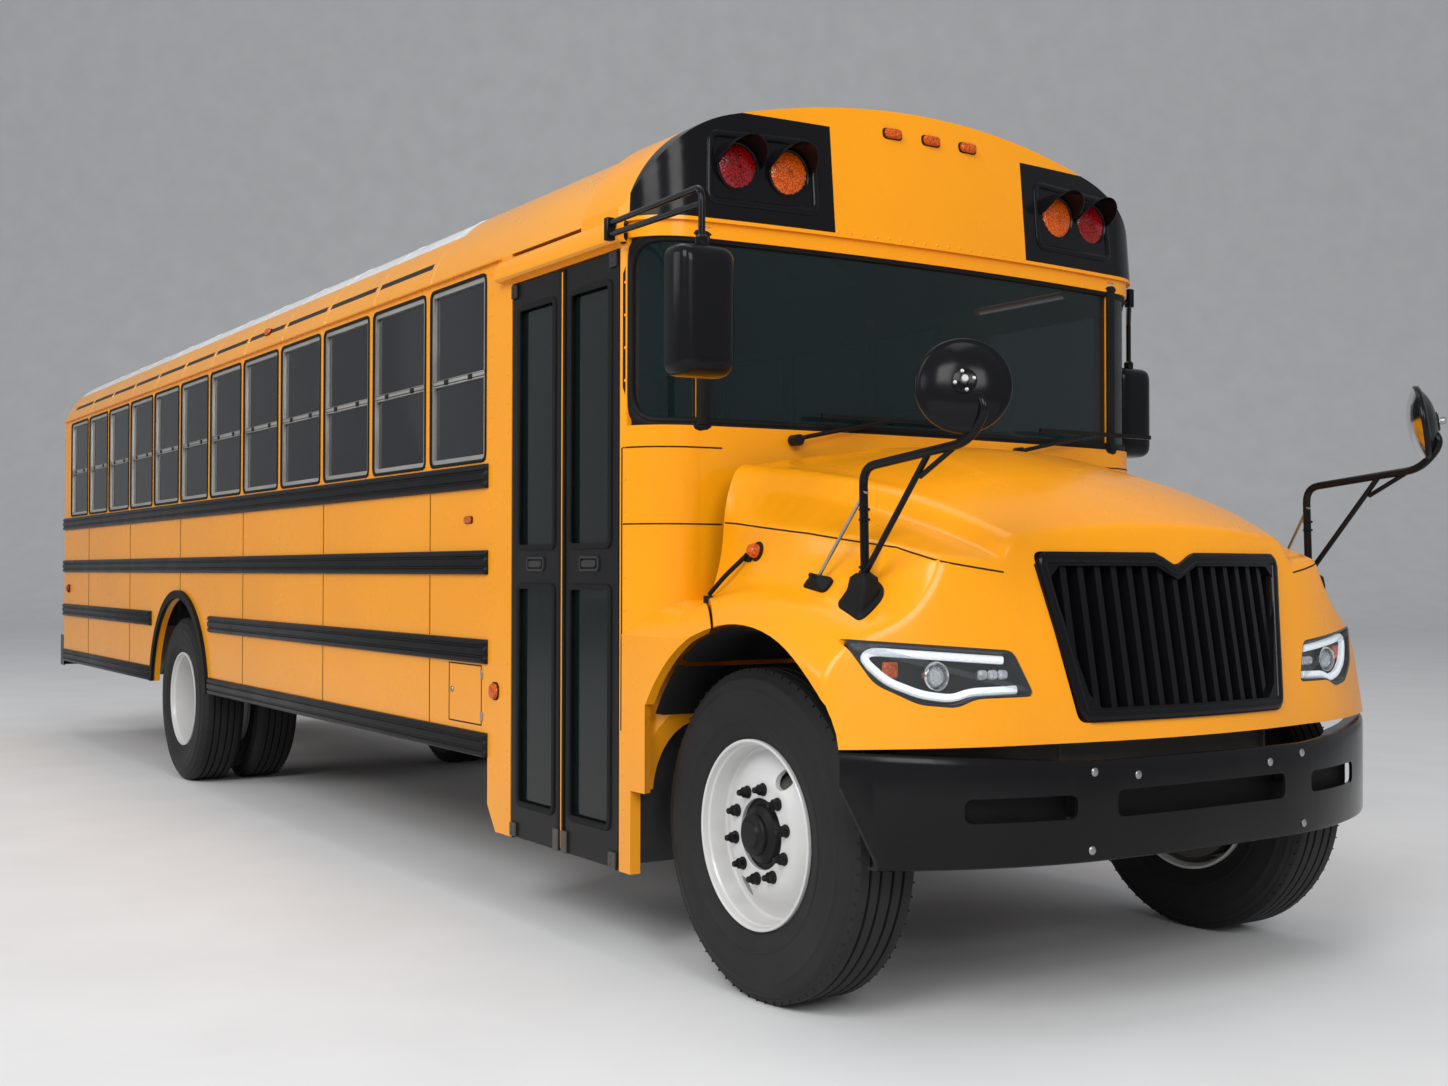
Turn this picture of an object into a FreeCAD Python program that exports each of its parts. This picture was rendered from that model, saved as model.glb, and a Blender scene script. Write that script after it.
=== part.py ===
"""School bus: conventional cab, one folding entrance door, dual rear wheels.

Millimetres. +X points forward, +Y to the driver's side, +Z up. The origin is on the ground,
midway between the crossview mirrors' front edge and the rear bumper's face.
"""
import FreeCAD, Part
import math
import os
import Sketcher
from types import SimpleNamespace

from FreeCAD import Matrix, Placement, Rotation, Vector

os.makedirs("parts", exist_ok=True)
doc = FreeCAD.newDocument("SchoolBus")
sheet = doc.addObject("Spreadsheet::Sheet", "Sizes")

# Driving sizes: name, value in mm (or degrees, or a count), what it is
SIZES = (
    ("wheelbase", 6452, "front axle to rear axle"),
    ("rear_overhang", 3658, "rear axle to the rear wall's outer face"),
    ("rear_bumper_depth", 130, "rear wall to the rear bumper's face"),
    ("bumper_ahead", 850, "front axle to the front bumper's face"),
    ("mirror_ahead", 190, "front bumper's face to the crossview mirrors' front"),
    ("body_width", 2438, "outside width of the body"),
    ("wall", 40, "side wall from outer skin to inner liner"),
    ("sheet_metal", 15, "steps, wheel boxes and brackets"),
    ("door_gap", 8, "gap round doors and lids"),
    ("seat_gap", 0.3, "gap between pieces that seat on each other"),
    ("skirt_height", 600, "ground to the side skirt's lower edge"),
    ("floor_height", 1040, "ground to the cabin floor"),
    ("floor_thickness", 40, "floor board with its sheet"),
    ("sill_height", 50, "cross sills under the floor"),
    ("eave_height", 2590, "ground to the drip rail"),
    ("roof_rise", 460, "drip rail up to the roof's crown"),
    ("eave_radius", 491, "radius of the roof's edge"),
    ("eave_centre_in", 474, "side wall to the centre of the roof's edge radius"),
    ("eave_centre_drop", 130, "drip rail down to the centre of the roof's edge radius"),
    ("cap_length", 500, "front cap, front face to its joint with the roof"),
    ("cap_raise", 14, "front cap above the roof sheet"),
    ("cap_lean", 50, "how far the cap's face leans back at its top"),
    ("cap_drop", 35, "drip rail down to the cap's lower edge"),
    ("panel_in", 466, "centre line to the lamp panels"),
    ("panel_drop", 22, "drip rail down to the lamp panels' lower edge"),
    ("panel_tall", 392, "lamp panels, lower to upper edge"),
    ("face_back", 430, "front axle back to the windshield's centre"),
    ("face_corner_back", 488, "front axle back to the windshield's lower corners"),
    ("face_corner_y", 1003, "centre line to the windshield's lower corners"),
    ("side_start_back", 660, "front axle back to where the side turns straight"),
    ("glass_low", 1850, "windshield's lower edge"),
    ("glass_head", 90, "drip rail down to the windshield's upper edge"),
    ("glass_thickness", 8, "window glass"),
    ("door_front_back", 668, "front axle back to the door opening's front edge"),
    ("door_rear_back", 1530, "front axle back to the door opening's rear edge"),
    ("door_low", 309, "ground to the door opening's lower edge"),
    ("door_head", 120, "drip rail down to the door opening's upper edge"),
    ("door_stile", 58, "door leaf's frame round its glass"),
    ("door_rail_low", 1294, "door's lower glass, upper edge"),
    ("door_rail_high", 1436, "door's upper glass, lower edge"),
    ("step_rise", 227, "one entrance step up to the next"),
    ("step_run", 210, "depth of one entrance step"),
    ("pivot_in", 12, "door leaf's edge to its pivot"),
    ("pivot_deep", 5, "door leaf's outer face to its pivot"),
    ("pivot_radius", 7, "door leaf's pivot pins"),
    ("window_low", 1795, "side windows' lower edge"),
    ("window_head", 41, "drip rail down to the side windows' upper edge"),
    ("window_bar_up", 353, "side windows' lower edge up to their middle bar"),
    ("window_pitch", 683, "one side window to the next"),
    ("window_first", 625, "pitch of the window behind the door"),
    ("window_post", 208, "door opening's rear edge to the first window's bay"),
    ("pillar", 60, "body pillar between two side windows"),
    ("frame_bar", 26, "aluminium window frame, seen width"),
    ("rail_depth", 22, "rub rails proud of the side"),
    ("rail_height_band", 98, "height of a rub rail"),
    ("arch_radius_rear", 655, "rear wheel arch"),
    ("flare", 45, "rubber flare round the rear wheel arch"),
    ("arch_radius_front", 625, "front wheel arch"),
    ("arch_centre_ahead", 35, "front axle to the front arch's centre"),
    ("arch_centre_height", 560, "ground to the front arch's centre"),
    ("cowl_edge_back", 590, "front axle back to the cowl's lower front edge"),
    ("steer_room", 585, "kingpin to the cowl's lower edge behind the steered wheel"),
    ("flare_foot", 900, "ground to where the front arch turns into its upright edge"),
    ("hood_rear_back", 360, "front axle back to the hood's rear edge"),
    ("hood_shell", 34, "hood and fender moulding with its ribs"),
    ("hood_low", 875, "hood's lower edge"),
    ("hood_pivot_ahead", 700, "front axle to the hood's front pivot"),
    ("hood_pivot_height", 862, "ground to the hood's pivot"),
    ("hood_pivot_y", 520, "centre line to the hood's pivot ears"),
    ("hinge_pin", 10, "radius of the hood's pivot pins"),
    ("nose_lean", 87, "how far the grille leans back over its height"),
    ("grille_low", 900, "grille's lower edge"),
    ("grille_high", 1409, "grille's upper edge"),
    ("grille_half_low", 463, "half the grille's width at its lower edge"),
    ("grille_half_high", 554, "half the grille's width at its upper edge"),
    ("grille_border", 42, "grille's outer frame"),
    ("grille_depth", 55, "grille, front to back"),
    ("grille_bars", 15, "count of upright grille bars"),
    ("bumper_low", 499, "ground to the front bumper's lower edge"),
    ("bumper_high", 795, "ground to the front bumper's upper edge"),
    ("bumper_skin", 40, "front bumper, front to back"),
    ("tyre_radius", 522, "tyre, ground to its centre"),
    ("tyre_width", 279, "tyre's section width"),
    ("rim_radius", 286, "rim's bead seat"),
    ("rim_flange", 299, "rim's flange"),
    ("front_wheel_y", 992, "centre line to the front tyre's middle"),
    ("kingpin_y", 905, "centre line to the kingpin"),
    ("kingpin_radius", 24, "kingpin"),
    ("running_gap", 0.05, "radial clearance of a running fit"),
    ("spindle_radius", 38, "front wheel spindle"),
    ("steer_arm", 170, "kingpin back to the tie rod's pin"),
    ("steer_angle", 35, "steering, degrees each way"),
    ("wheel_box_half", 600, "rear axle to the wheel boxes' ends"),
    ("rear_wheel_y", 1070, "centre line to the outer rear tyre's middle"),
    ("dual_spacing", 343, "outer rear tyre's middle to the inner one's"),
    ("axle_end_radius", 60, "rear axle's end that carries the hub"),
    ("rail_y", 430, "centre line to a frame rail's middle"),
    ("rail_width", 80, "frame rail's flange"),
    ("rail_height", 250, "frame rail's web"),
    ("rail_plate", 9, "frame rail's plate"),
    ("frame_front_ahead", 690, "front axle to the frame rails' front"),
    ("seat_pitch", 718, "one bench row to the next"),
    ("seat_width", 990, "bench width"),
    ("seat_back_height", 610, "seat back above its cushion"),
    ("seat_cushion_height", 430, "floor to the cushion's top"),
    ("stop_size", 457, "stop sign across its flats"),
    ("hatch_size", 600, "roof hatch lid, each way"),
    ("hatch_back", 2650, "front axle back to the hatch's middle"),
    ("tow_hole", 22, "radius of a tow eye"),
    ("tow_plate", 25, "thickness of a tow eye"),
    ("plate_holes_x", 178, "number plate holes, across"),
    ("plate_holes_z", 121, "number plate holes, up"),
    ("plate_hole", 3.5, "radius of a number plate hole"),
)
for row, (alias, value, note) in enumerate(SIZES, start=1):
    sheet.set(f"A{row}", note)
    sheet.set(f"B{row}", str(value))
    sheet.setAlias(f"B{row}", alias)
doc.recompute()


class Size:
    """A length that keeps both its value and the sheet expression it comes from."""

    def __init__(self, value, text):
        self.value = float(value)
        self.text = text

    def __float__(self):
        return self.value

    def __add__(self, other):
        return Size(self.value + float(other), f"({self.text} + {text_of(other)})")

    def __radd__(self, other):
        return Size(float(other) + self.value, f"({text_of(other)} + {self.text})")

    def __sub__(self, other):
        return Size(self.value - float(other), f"({self.text} - {text_of(other)})")

    def __rsub__(self, other):
        return Size(float(other) - self.value, f"({text_of(other)} - {self.text})")

    def __mul__(self, other):
        return Size(self.value * float(other), f"({self.text} * {text_of(other)})")

    def __rmul__(self, other):
        return Size(float(other) * self.value, f"({text_of(other)} * {self.text})")

    def __truediv__(self, other):
        return Size(self.value / float(other), f"({self.text} / {text_of(other)})")

    def __neg__(self):
        return Size(-self.value, f"(0 - {self.text})")


def text_of(number):
    """The expression text of a Size or a plain number."""
    return number.text if isinstance(number, Size) else f"{float(number):.6g}"


s = SimpleNamespace(**{a: Size(sheet.get(a), f"Sizes.{a}") for a, _, _ in SIZES})

# Places worked out from the sizes
front_x = (s.wheelbase + s.rear_overhang + s.rear_bumper_depth - s.bumper_ahead - s.mirror_ahead) / 2
rear_x = front_x - s.wheelbase
rear_wall_x = rear_x - s.rear_overhang
half = s.body_width / 2
inside = half - s.wall
floor_under = s.floor_height - s.floor_thickness
rail_top = floor_under - s.sill_height
door_front = front_x - s.door_front_back
door_rear = front_x - s.door_rear_back
cap_joint_x = front_x - s.face_back - s.cap_length
cap_low = s.eave_height - s.cap_drop
roof_top = s.eave_height + s.roof_rise
glass_high = s.eave_height - s.glass_head
door_high = s.eave_height - s.door_head
window_high = s.eave_height - s.window_head
window_mid = s.window_low + s.window_bar_up
web_y = s.rail_y + s.rail_width / 2 - s.rail_plate
SIDES = (("left", 1), ("right", -1))


def bind(obj, prop, size):
    """Give a property its value, tied to the sheet where the value is a Size."""
    if isinstance(size, Size):
        obj.setExpression(prop, size.text)
    elif "." in prop:
        obj.setExpression(prop, f"{float(size):.6g}")
    else:
        setattr(obj, prop, float(size))


def place(obj, x, y, z):
    for axis, size in (("x", x), ("y", y), ("z", z)):
        bind(obj, f"Placement.Base.{axis}", size)
    return obj


def box(x, y, z):
    """A box between the (low, high) pairs x, y and z."""
    obj = doc.addObject("Part::Box", "Box")
    for prop, (low, high) in (("Length", x), ("Width", y), ("Height", z)):
        if float(high) <= float(low):
            raise ValueError(f"{prop} of a box runs from {float(low)} to {float(high)}")
        bind(obj, prop, high - low)
    return place(obj, x[0], y[0], z[0])


def mid_box(x, y, z, length, width, height):
    """A box by its middle and its size."""
    return box(
        (x - length / 2, x + length / 2), (y - width / 2, y + width / 2), (z - height / 2, z + height / 2)
    )


AXES = {"x": Rotation(Vector(0, 1, 0), 90), "y": Rotation(Vector(1, 0, 0), -90), "z": Rotation()}


def cylinder(axis, start, radius, length):
    """A cylinder from the point start along +axis."""
    obj = doc.addObject("Part::Cylinder", "Cylinder")
    bind(obj, "Radius", radius)
    bind(obj, "Height", length)
    obj.Placement = Placement(Vector(), AXES[axis])
    return place(obj, *start)


def across(x, z, radius, y_low, y_high):
    """A cylinder along Y between y_low and y_high."""
    return cylinder("y", (x, y_low, z), radius, y_high - y_low)


def fuse(objects):
    objects = list(objects)
    if len(objects) == 1:
        return objects[0]
    obj = doc.addObject("Part::MultiFuse", "Fuse")
    obj.Shapes = objects
    return obj


def cut(base, *tools):
    obj = doc.addObject("Part::Cut", "Cut")
    obj.Base = base
    obj.Tool = fuse(tools)
    return obj


def common(one, other):
    obj = doc.addObject("Part::MultiCommon", "Common")
    obj.Shapes = [one, other]
    return obj


def feature(shape):
    """An object whose shape is worked out here from the sheet's sizes."""
    obj = doc.addObject("Part::Feature", "Form")
    obj.Shape = shape
    return obj


NODES = []


def node(label, obj):
    obj.Label = label
    NODES.append(obj)
    return obj


def group(label, objects):
    """One node of several solids that don't touch."""
    obj = doc.addObject("Part::Compound", "Group")
    obj.Links = list(objects)
    return node(label, obj)


def point(*xyz):
    return Vector(*(float(v) for v in xyz))


def polygon(points):
    """A face inside the points, in order."""
    points = [point(*p) for p in points]
    return Part.Face(Part.makePolygon(points + points[:1]))


def arc(a, via, b):
    return Part.Arc(point(*a), point(*via), point(*b)).toShape()


def line(a, b):
    return Part.makeLine(point(*a), point(*b))


def extrude(shape, x=0, y=0, z=0):
    return shape.extrude(point(x, y, z))


def prism_y(points, y_low, y_high):
    """The outline (x, z) pulled along Y."""
    return extrude(polygon([(x, y_low, z) for x, z in points]), y=float(y_high) - float(y_low))


def prism_x(points, x_low, x_high):
    """The outline (y, z) pulled along X."""
    return extrude(polygon([(x_low, y, z) for y, z in points]), x=float(x_high) - float(x_low))


def mirror_y(shape):
    return shape.mirror(Vector(), Vector(0, 1, 0))


def tube(points, radius, bend):
    """A round bar along straight runs joined by tangent arcs of radius bend."""
    points = [point(*p) for p in points]
    edges = []
    here = points[0]
    for before, corner, after in zip(points, points[1:], points[2:]):
        into = (corner - before).normalize()
        out = (after - corner).normalize()
        turn = into.getAngle(out)
        reach = float(bend) * math.tan(turn / 2)
        start = corner - into * reach
        end = corner + out * reach
        inward = (out - into).normalize()
        middle = corner + inward * (float(bend) / math.cos(turn / 2) - float(bend))
        edges.append(Part.makeLine(here, start))
        edges.append(Part.Arc(start, middle, end).toShape())
        here = end
    edges.append(Part.makeLine(here, points[-1]))
    path = Part.Wire(edges)
    ring = Part.Wire(Part.makeCircle(float(radius), points[0], points[1] - points[0]))
    return path.makePipeShell([ring], True, False, 2)


def sketch_on(body, role):
    plane = [f for f in body.Origin.OriginFeatures if f.Role == role][0]
    sketch = body.newObject("Sketcher::SketchObject", "Sketch")
    sketch.AttachmentSupport = [(plane, "")]
    sketch.MapMode = "FlatFace"
    return sketch


def sketch_outline(body, role, points):
    """A closed outline on an origin plane, each corner tied to the sheet."""
    sketch = sketch_on(body, role)
    count = len(points)
    for i, here in enumerate(points):
        there = points[(i + 1) % count]
        ends = [Vector(float(p[0]), float(p[1]), 0) for p in (here, there)]
        sketch.addGeometry(Part.LineSegment(*ends), False)
    for i, (u, v) in enumerate(points):
        sketch.addConstraint(Sketcher.Constraint("Coincident", i, 2, (i + 1) % count, 1))
        for kind, size in (("DistanceX", u), ("DistanceY", v)):
            index = sketch.addConstraint(Sketcher.Constraint(kind, -1, 1, i, 1, float(size)))
            if isinstance(size, Size):
                sketch.setExpression(f"Constraints[{index}]", size.text)
    return sketch


def pad(role, points, length, fillet=None):
    """A PartDesign body: the outline on an origin plane, padded evenly to both sides."""
    body = doc.addObject("PartDesign::Body", "Body")
    sketch = sketch_outline(body, role, points)
    block = body.newObject("PartDesign::Pad", "Pad")
    block.Profile = sketch
    block.Midplane = True
    bind(block, "Length", length)
    if fillet:
        doc.recompute()
        edges, radius = fillet
        rounding = body.newObject("PartDesign::Fillet", "Fillet")
        rounding.Base = (block, edges(block.Shape))
        bind(rounding, "Radius", radius)
    return body


def revolve(points):
    """A PartDesign body: the outline (radius, y) turned about the Y axis."""
    body = doc.addObject("PartDesign::Body", "Body")
    sketch = sketch_outline(body, "XY_Plane", points)
    turned = body.newObject("PartDesign::Revolution", "Revolution")
    turned.Profile = sketch
    turned.ReferenceAxis = (sketch, ["V_Axis"])
    turned.Angle = 360
    return body


def turned(points, sides):
    """The outline (radius, y) turned about the Y axis in flats, with a flat at the bottom."""
    turn = 2 * math.pi / sides
    corners = [(float(r) / math.cos(turn / 2), float(y)) for r, y in points]

    def ring(index):
        angle = (index + 0.5) * turn
        return [point(r * math.cos(angle), y, r * math.sin(angle)) for r, y in corners]

    rings = [ring(index) for index in range(sides)]
    faces = []
    for index, near in enumerate(rings):
        far = rings[(index + 1) % sides]
        for i in range(len(points)):
            k = (i + 1) % len(points)
            faces.append(Part.Face(Part.makePolygon([near[i], near[k], far[k], far[i], near[i]])))
    solid = Part.Solid(Part.Shell(faces))
    if solid.Volume < 0:
        solid.reverse()
    return feature(solid)


# ---------------------------------------------------------------- body section and outline


def roof_section(inset, raised=0):
    """The roof's outline across the bus from eave to eave, as a face on x = 0."""
    radius = float(s.eave_radius) - inset + raised
    centre_y = float(half - s.eave_centre_in)
    centre_z = float(s.eave_height - s.eave_centre_drop)
    crown = float(roof_top) - inset + raised
    rise = crown - centre_z
    crown_radius = (centre_y**2 + rise**2 - radius**2) / (2 * (rise - radius))
    crown_z = crown - crown_radius
    lean = math.atan2(centre_y, centre_z - crown_z)
    join = (0, crown_radius * math.sin(lean), crown_z + crown_radius * math.cos(lean))
    low = float(s.eave_height) - centre_z
    start_angle = math.asin(low / radius)
    half_angle = (start_angle + math.pi / 2 - lean) / 2

    def on_edge(angle):
        return (0, centre_y + radius * math.cos(angle), centre_z + radius * math.sin(angle))

    start = on_edge(start_angle)
    middle = on_edge(half_angle)

    def other(p):
        return (p[0], -p[1], p[2])

    edges = [
        arc(start, middle, join),
        arc(join, (0, 0, crown), other(join)),
        arc(other(join), other(middle), other(start)),
        line(other(start), start),
    ]
    return Part.Face(Part.Wire(edges))


def body_section(low):
    """The whole body's outline across the bus, from the height low to the crown."""
    face = roof_section(0)
    walls = polygon([(0, y, z) for y, z in (
        (half, low), (half, s.eave_height), (-half, s.eave_height), (-half, low))])
    return face.fuse(walls).removeSplitter().Faces[0]


def face_outline(inset, back, height, lean=0):
    """The front body in plan: curved face, round corners, straight sides back to x = back."""
    corner_x = float(front_x - s.face_corner_back) - inset
    face_x = float(front_x - s.face_back) - inset
    side_x = float(front_x - s.side_start_back) - inset * 0.4
    side_y = float(half) - inset
    corner_y = float(s.face_corner_y) - inset * 0.3
    across_x = (corner_x + side_x) / 2
    across_y = (corner_y + side_y) / 2
    bulge = 0.17 * math.hypot(side_x - corner_x, side_y - corner_y)
    nx, ny = side_y - corner_y, corner_x - side_x
    size = math.hypot(nx, ny)
    via = (across_x + bulge * nx / size, across_y + bulge * ny / size)
    back = float(back)
    edges = [
        arc((corner_x, -corner_y, 0), (face_x, 0, 0), (corner_x, corner_y, 0)),
        arc((corner_x, corner_y, 0), (via[0], via[1], 0), (side_x, side_y, 0)),
        line((side_x, side_y, 0), (back, side_y, 0)),
        line((back, side_y, 0), (back, -side_y, 0)),
        line((back, -side_y, 0), (side_x, -side_y, 0)),
        arc((side_x, -side_y, 0), (via[0], -via[1], 0), (corner_x, -corner_y, 0)),
    ]
    shape = Part.Face(Part.Wire(edges))
    low, high = height
    shape.translate(point(0, 0, low))
    return extrude(shape, x=-float(lean), z=float(high) - float(low))


# ---------------------------------------------------------------- chassis


def chassis_frame():
    """Two channel rails, open to the inside, with the tow eyes and the hood's pivots."""
    x = (rear_wall_x + 60, front_x + s.frame_front_ahead)
    z = (rail_top - s.rail_height, rail_top)
    near = s.rail_y - s.rail_width / 2
    rails = []
    for _, side in SIDES:
        rail = box(x, span(side, near, s.rail_y + s.rail_width / 2), z)
        hollow = box(
            (x[0] - 1, x[1] + 1), span(side, near - 1, web_y), (z[0] + s.rail_plate, z[1] - s.rail_plate)
        )
        rails.append(fuse([cut(rail, hollow), tow_eye(side * s.rail_y)] + hood_pivot(side)))
    group("chassis_frame", rails)


def tow_eye(y):
    """Plate under a rail's end, running back to a tow eye."""
    eye_x, eye_z = rear_wall_x - 100, s.skirt_height - 97
    wall_x, low_z = float(rear_wall_x), float(s.skirt_height)
    rail_low = float(rail_top - s.rail_height)
    y_range = (y - s.tow_plate / 2, y + s.tow_plate / 2)
    plate = feature(prism_y(
        [(wall_x + 320, rail_low), (wall_x + 62, rail_low), (wall_x + 50, low_z - 52),
         (wall_x - 100, low_z - 52), (wall_x - 100, low_z - 142), (wall_x + 60, low_z - 142),
         (wall_x + 320, rail_low - 60)], *y_range))
    hook = fuse([plate, across(eye_x, eye_z, 45, *y_range)])
    return cut(hook, across(eye_x, eye_z, s.tow_hole, y - 50, y + 50))


def cross_members():
    """Channels across the frame, open below, their ends at the rails' webs."""
    reach = web_y - s.seat_gap
    mid = rail_top - s.rail_height / 2
    # Places along X, and height
    members = (
        (front_x + s.frame_front_ahead - 60, 150),
        (front_x - 1150, 150),
        (front_x - 2750, 150),
        (rear_x + 900, 150),
        (rear_x - 900, 150),
        (rear_wall_x + 1500, 150),
        (rear_wall_x + 120, 200),
    )
    channels = []
    for at, tall in members:
        low, high = mid - tall / 2, mid + tall / 2
        block = box((at - 40, at + 40), (-reach, reach), (low, high))
        hollow = box((at - 40 + s.rail_plate, at + 40 - s.rail_plate), (-reach - 1, reach + 1),
                     (low - 1, high - s.rail_plate))
        channels.append(cut(block, hollow))
    group("cross_members", channels)


def hood_pivot(side):
    """Two cheeks beside the rail's front with the pin that carries the hood's ear."""
    x = front_x + s.hood_pivot_ahead
    z = s.hood_pivot_height
    near, far = s.hood_pivot_y - 20, s.hood_pivot_y + 20
    root = box((x - 110, x - 35), span(side, s.rail_y + s.rail_width / 2, far), (z - 20, z + 20))
    cheeks = []
    for inner, outer in ((near, s.hood_pivot_y - 8 - s.seat_gap), (s.hood_pivot_y + 8 + s.seat_gap, far)):
        cheeks.append(box((x - 40, x + 18), span(side, inner, outer), (z - 18, z + 18)))
    return [root] + cheeks + [across(x, z, s.hinge_pin, *span(side, near, far))]


def engine():
    """The engine as one block, with the radiator ahead of it."""
    low, high = rail_top - 330, rail_top + 380
    block = box((front_x - 300, front_x + 540), (-300, 300), (low, high))
    feet = []
    side_y = s.rail_y - s.rail_width / 2 - s.seat_gap
    for at in (front_x - 220, front_x + 420):
        feet.append(box((at - 40, at + 40), (-side_y, side_y), (rail_top - 180, rail_top - 110)))
    radiator = box((front_x + 570, front_x + 625), (-side_y, side_y), (rail_top - 50 + s.seat_gap, rail_top + 370))
    group("engine", [fuse([block] + feet), radiator])


def driveline():
    """Gearbox behind the engine and the two shafts to the rear axle."""
    z = rail_top - 290
    gearbox = cylinder("x", (front_x - 1100, 0, z), 150, 800 - s.seat_gap)
    hanger_x = front_x - 3600
    first = cylinder("x", (hanger_x, 0, z), 45, 2500)
    drop = float(z - s.tyre_radius)
    end_x = rear_x + 344
    run = float(hanger_x - end_x)
    shaft = feature(Part.makeCylinder(45, math.hypot(run, drop), point(0, 0, 0), point(-run, 0, -drop)))
    shaft.Placement = Placement(point(hanger_x, 0, z), Rotation())
    bearing = box((hanger_x - 30, hanger_x + 30), (-90, 90), (z - 80, z + 80))
    yoke = across(hanger_x, z, 60, -60, 60)
    web = web_y - s.seat_gap
    hang = box((hanger_x - 30, hanger_x + 30), (-web, web), (z + 60, z + 110))
    node("driveline", fuse([gearbox, first, shaft, bearing, yoke, hang]))


def leaf_springs(at_x, top_of_axle):
    """A pair of arched leaf packs with hangers up to the rails."""
    rail_low = rail_top - s.rail_height
    pieces = []
    for _, side in SIDES:
        y = side * s.rail_y
        reach = 640
        base = float(top_of_axle)
        tip = float(rail_low) - 62
        arch = [
            arc((-reach, 0, tip), (0, 0, base + 42), (reach, 0, tip)),
            line((reach, 0, tip), (reach, 0, tip + 20)),
            arc((reach, 0, tip + 20), (0, 0, base + 62), (-reach, 0, tip + 20)),
            line((-reach, 0, tip + 20), (-reach, 0, tip)),
        ]
        pack = extrude(Part.Face(Part.Wire(arch)), y=76)
        clamp = prism_y([(-150, base), (150, base), (190, base + 44), (-190, base + 44)], 0, 76)
        main = pack.fuse(clamp)
        for end in (-1, 1):
            hanger = prism_y(
                [
                    (end * (reach - 45), tip + 5),
                    (end * (reach + 35), tip + 5),
                    (end * (reach + 20), float(rail_low)),
                    (end * (reach - 60), float(rail_low)),
                ],
                0,
                76,
            )
            main = main.fuse(hanger)
        leaf = feature(main.removeSplitter())
        place(leaf, at_x, y - 38, 0)
        pieces.append(leaf)
    return pieces


def front_axle():
    """Forged I beam with an eye for each kingpin."""
    z = s.tyre_radius
    beam = mid_box(front_x, 0, z - 60, 90, 2 * s.kingpin_y - 90, 90)
    waist = []
    for end in (-1, 1):
        middle = end * 45
        waist.append(mid_box(front_x + middle, 0, z - 60, 50, 2 * s.kingpin_y - 260, 44))
    pieces = [cut(beam, *waist)]
    for _, side in SIDES:
        y = side * s.kingpin_y
        eye = cylinder("z", (front_x, y, z - 105), 50, 170)
        link = mid_box(front_x, side * (s.kingpin_y - 70), z - 60, 80, 80, 88)
        pieces += [eye, link]
        pad_y = side * s.rail_y
        pieces.append(mid_box(front_x, pad_y, z - 22, 150, 90, 44))
    bore_cut = [
        cylinder("z", (front_x, side * s.kingpin_y, z - 200), s.kingpin_radius + s.running_gap, 400)
        for _, side in SIDES
    ]
    node("front_axle", cut(fuse(pieces), *bore_cut))


def rear_axle():
    """Banjo housing with its ends through the hubs."""
    z = s.tyre_radius
    hub_end = s.rear_wheel_y - 40
    tube_part = across(rear_x, z, 70, -(s.rear_wheel_y - s.dual_spacing - 130), s.rear_wheel_y - s.dual_spacing - 130)
    ends = across(rear_x, z, s.axle_end_radius, -hub_end, hub_end)
    banjo = across(rear_x, z, 210, -70, 70)
    nose = cylinder("x", (rear_x + 100, 0, z), 90, 240)
    pads = [mid_box(rear_x, side * s.rail_y, z + 70, 160, 100, 40) for _, side in SIDES]
    node("rear_axle", fuse([tube_part, ends, banjo, nose] + pads))


def knuckle(label, side):
    """Steering knuckle: fork round the axle eye, kingpin, spindle and steering arm."""
    z = s.tyre_radius
    y = side * s.kingpin_y
    low, high = z - 105, z + 65
    gap = s.seat_gap
    pieces = [
        cylinder("z", (front_x, y, low - 36), 48, 36 - gap),
        cylinder("z", (front_x, y, high + gap), 48, 36 - gap),
        cylinder("z", (front_x, y, low - 36), s.kingpin_radius, high - low + 72),
    ]
    near, far = s.kingpin_y + 10, s.kingpin_y + 82
    for z_low, z_high in ((low - 36, low - gap), (high + gap, high + 36)):
        pieces.append(box((front_x - 40, front_x + 40), span(side, near, far), (z_low, z_high)))
    web = box(
        (front_x - 40, front_x + 40), span(side, s.kingpin_y + 56, far), (low - 36, high + 36)
    )
    pieces.append(web)
    spindle = span(side, far - 10, s.front_wheel_y + 110)
    pieces.append(across(front_x, z, s.spindle_radius, *spindle))
    arm_low, arm_high = low - 36, low - gap
    arm_x = front_x - s.steer_arm
    arm = box((arm_x, front_x), (y - 20, y + 20), (arm_low, arm_high))
    pieces.append(arm)
    pieces.append(cylinder("z", (arm_x, y, arm_low), 28, arm_high - arm_low))
    pieces.append(cylinder("z", (arm_x, y, arm_high - 1), 12, 45))
    node(label, fuse(pieces))


def span(side, near, far):
    """The (low, high) pair for a piece from near to far on the given side."""
    return (near, far) if side > 0 else (-far, -near)


def tie_rod():
    """Rod between the two steering arms, with an eye over each."""
    z = s.tyre_radius - 105 + 2
    x = front_x - s.steer_arm
    rod = across(x, z + 17, 15, -(s.kingpin_y - 20), s.kingpin_y - 20)
    pieces = [rod]
    holes = []
    for _, side in SIDES:
        pieces.append(cylinder("z", (x, side * s.kingpin_y, z), 27, 34))
        play = s.running_gap if side > 0 else 1
        holes.append(cylinder("z", (x, side * s.kingpin_y, z - 60), 12 + play, 200))
    node("tie_rod", cut(fuse(pieces), *holes))


# ---------------------------------------------------------------- wheels


# Flats round each tyre, a multiple of four so that its box is that of the round tyre
TYRE_FLATS = 40


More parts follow.
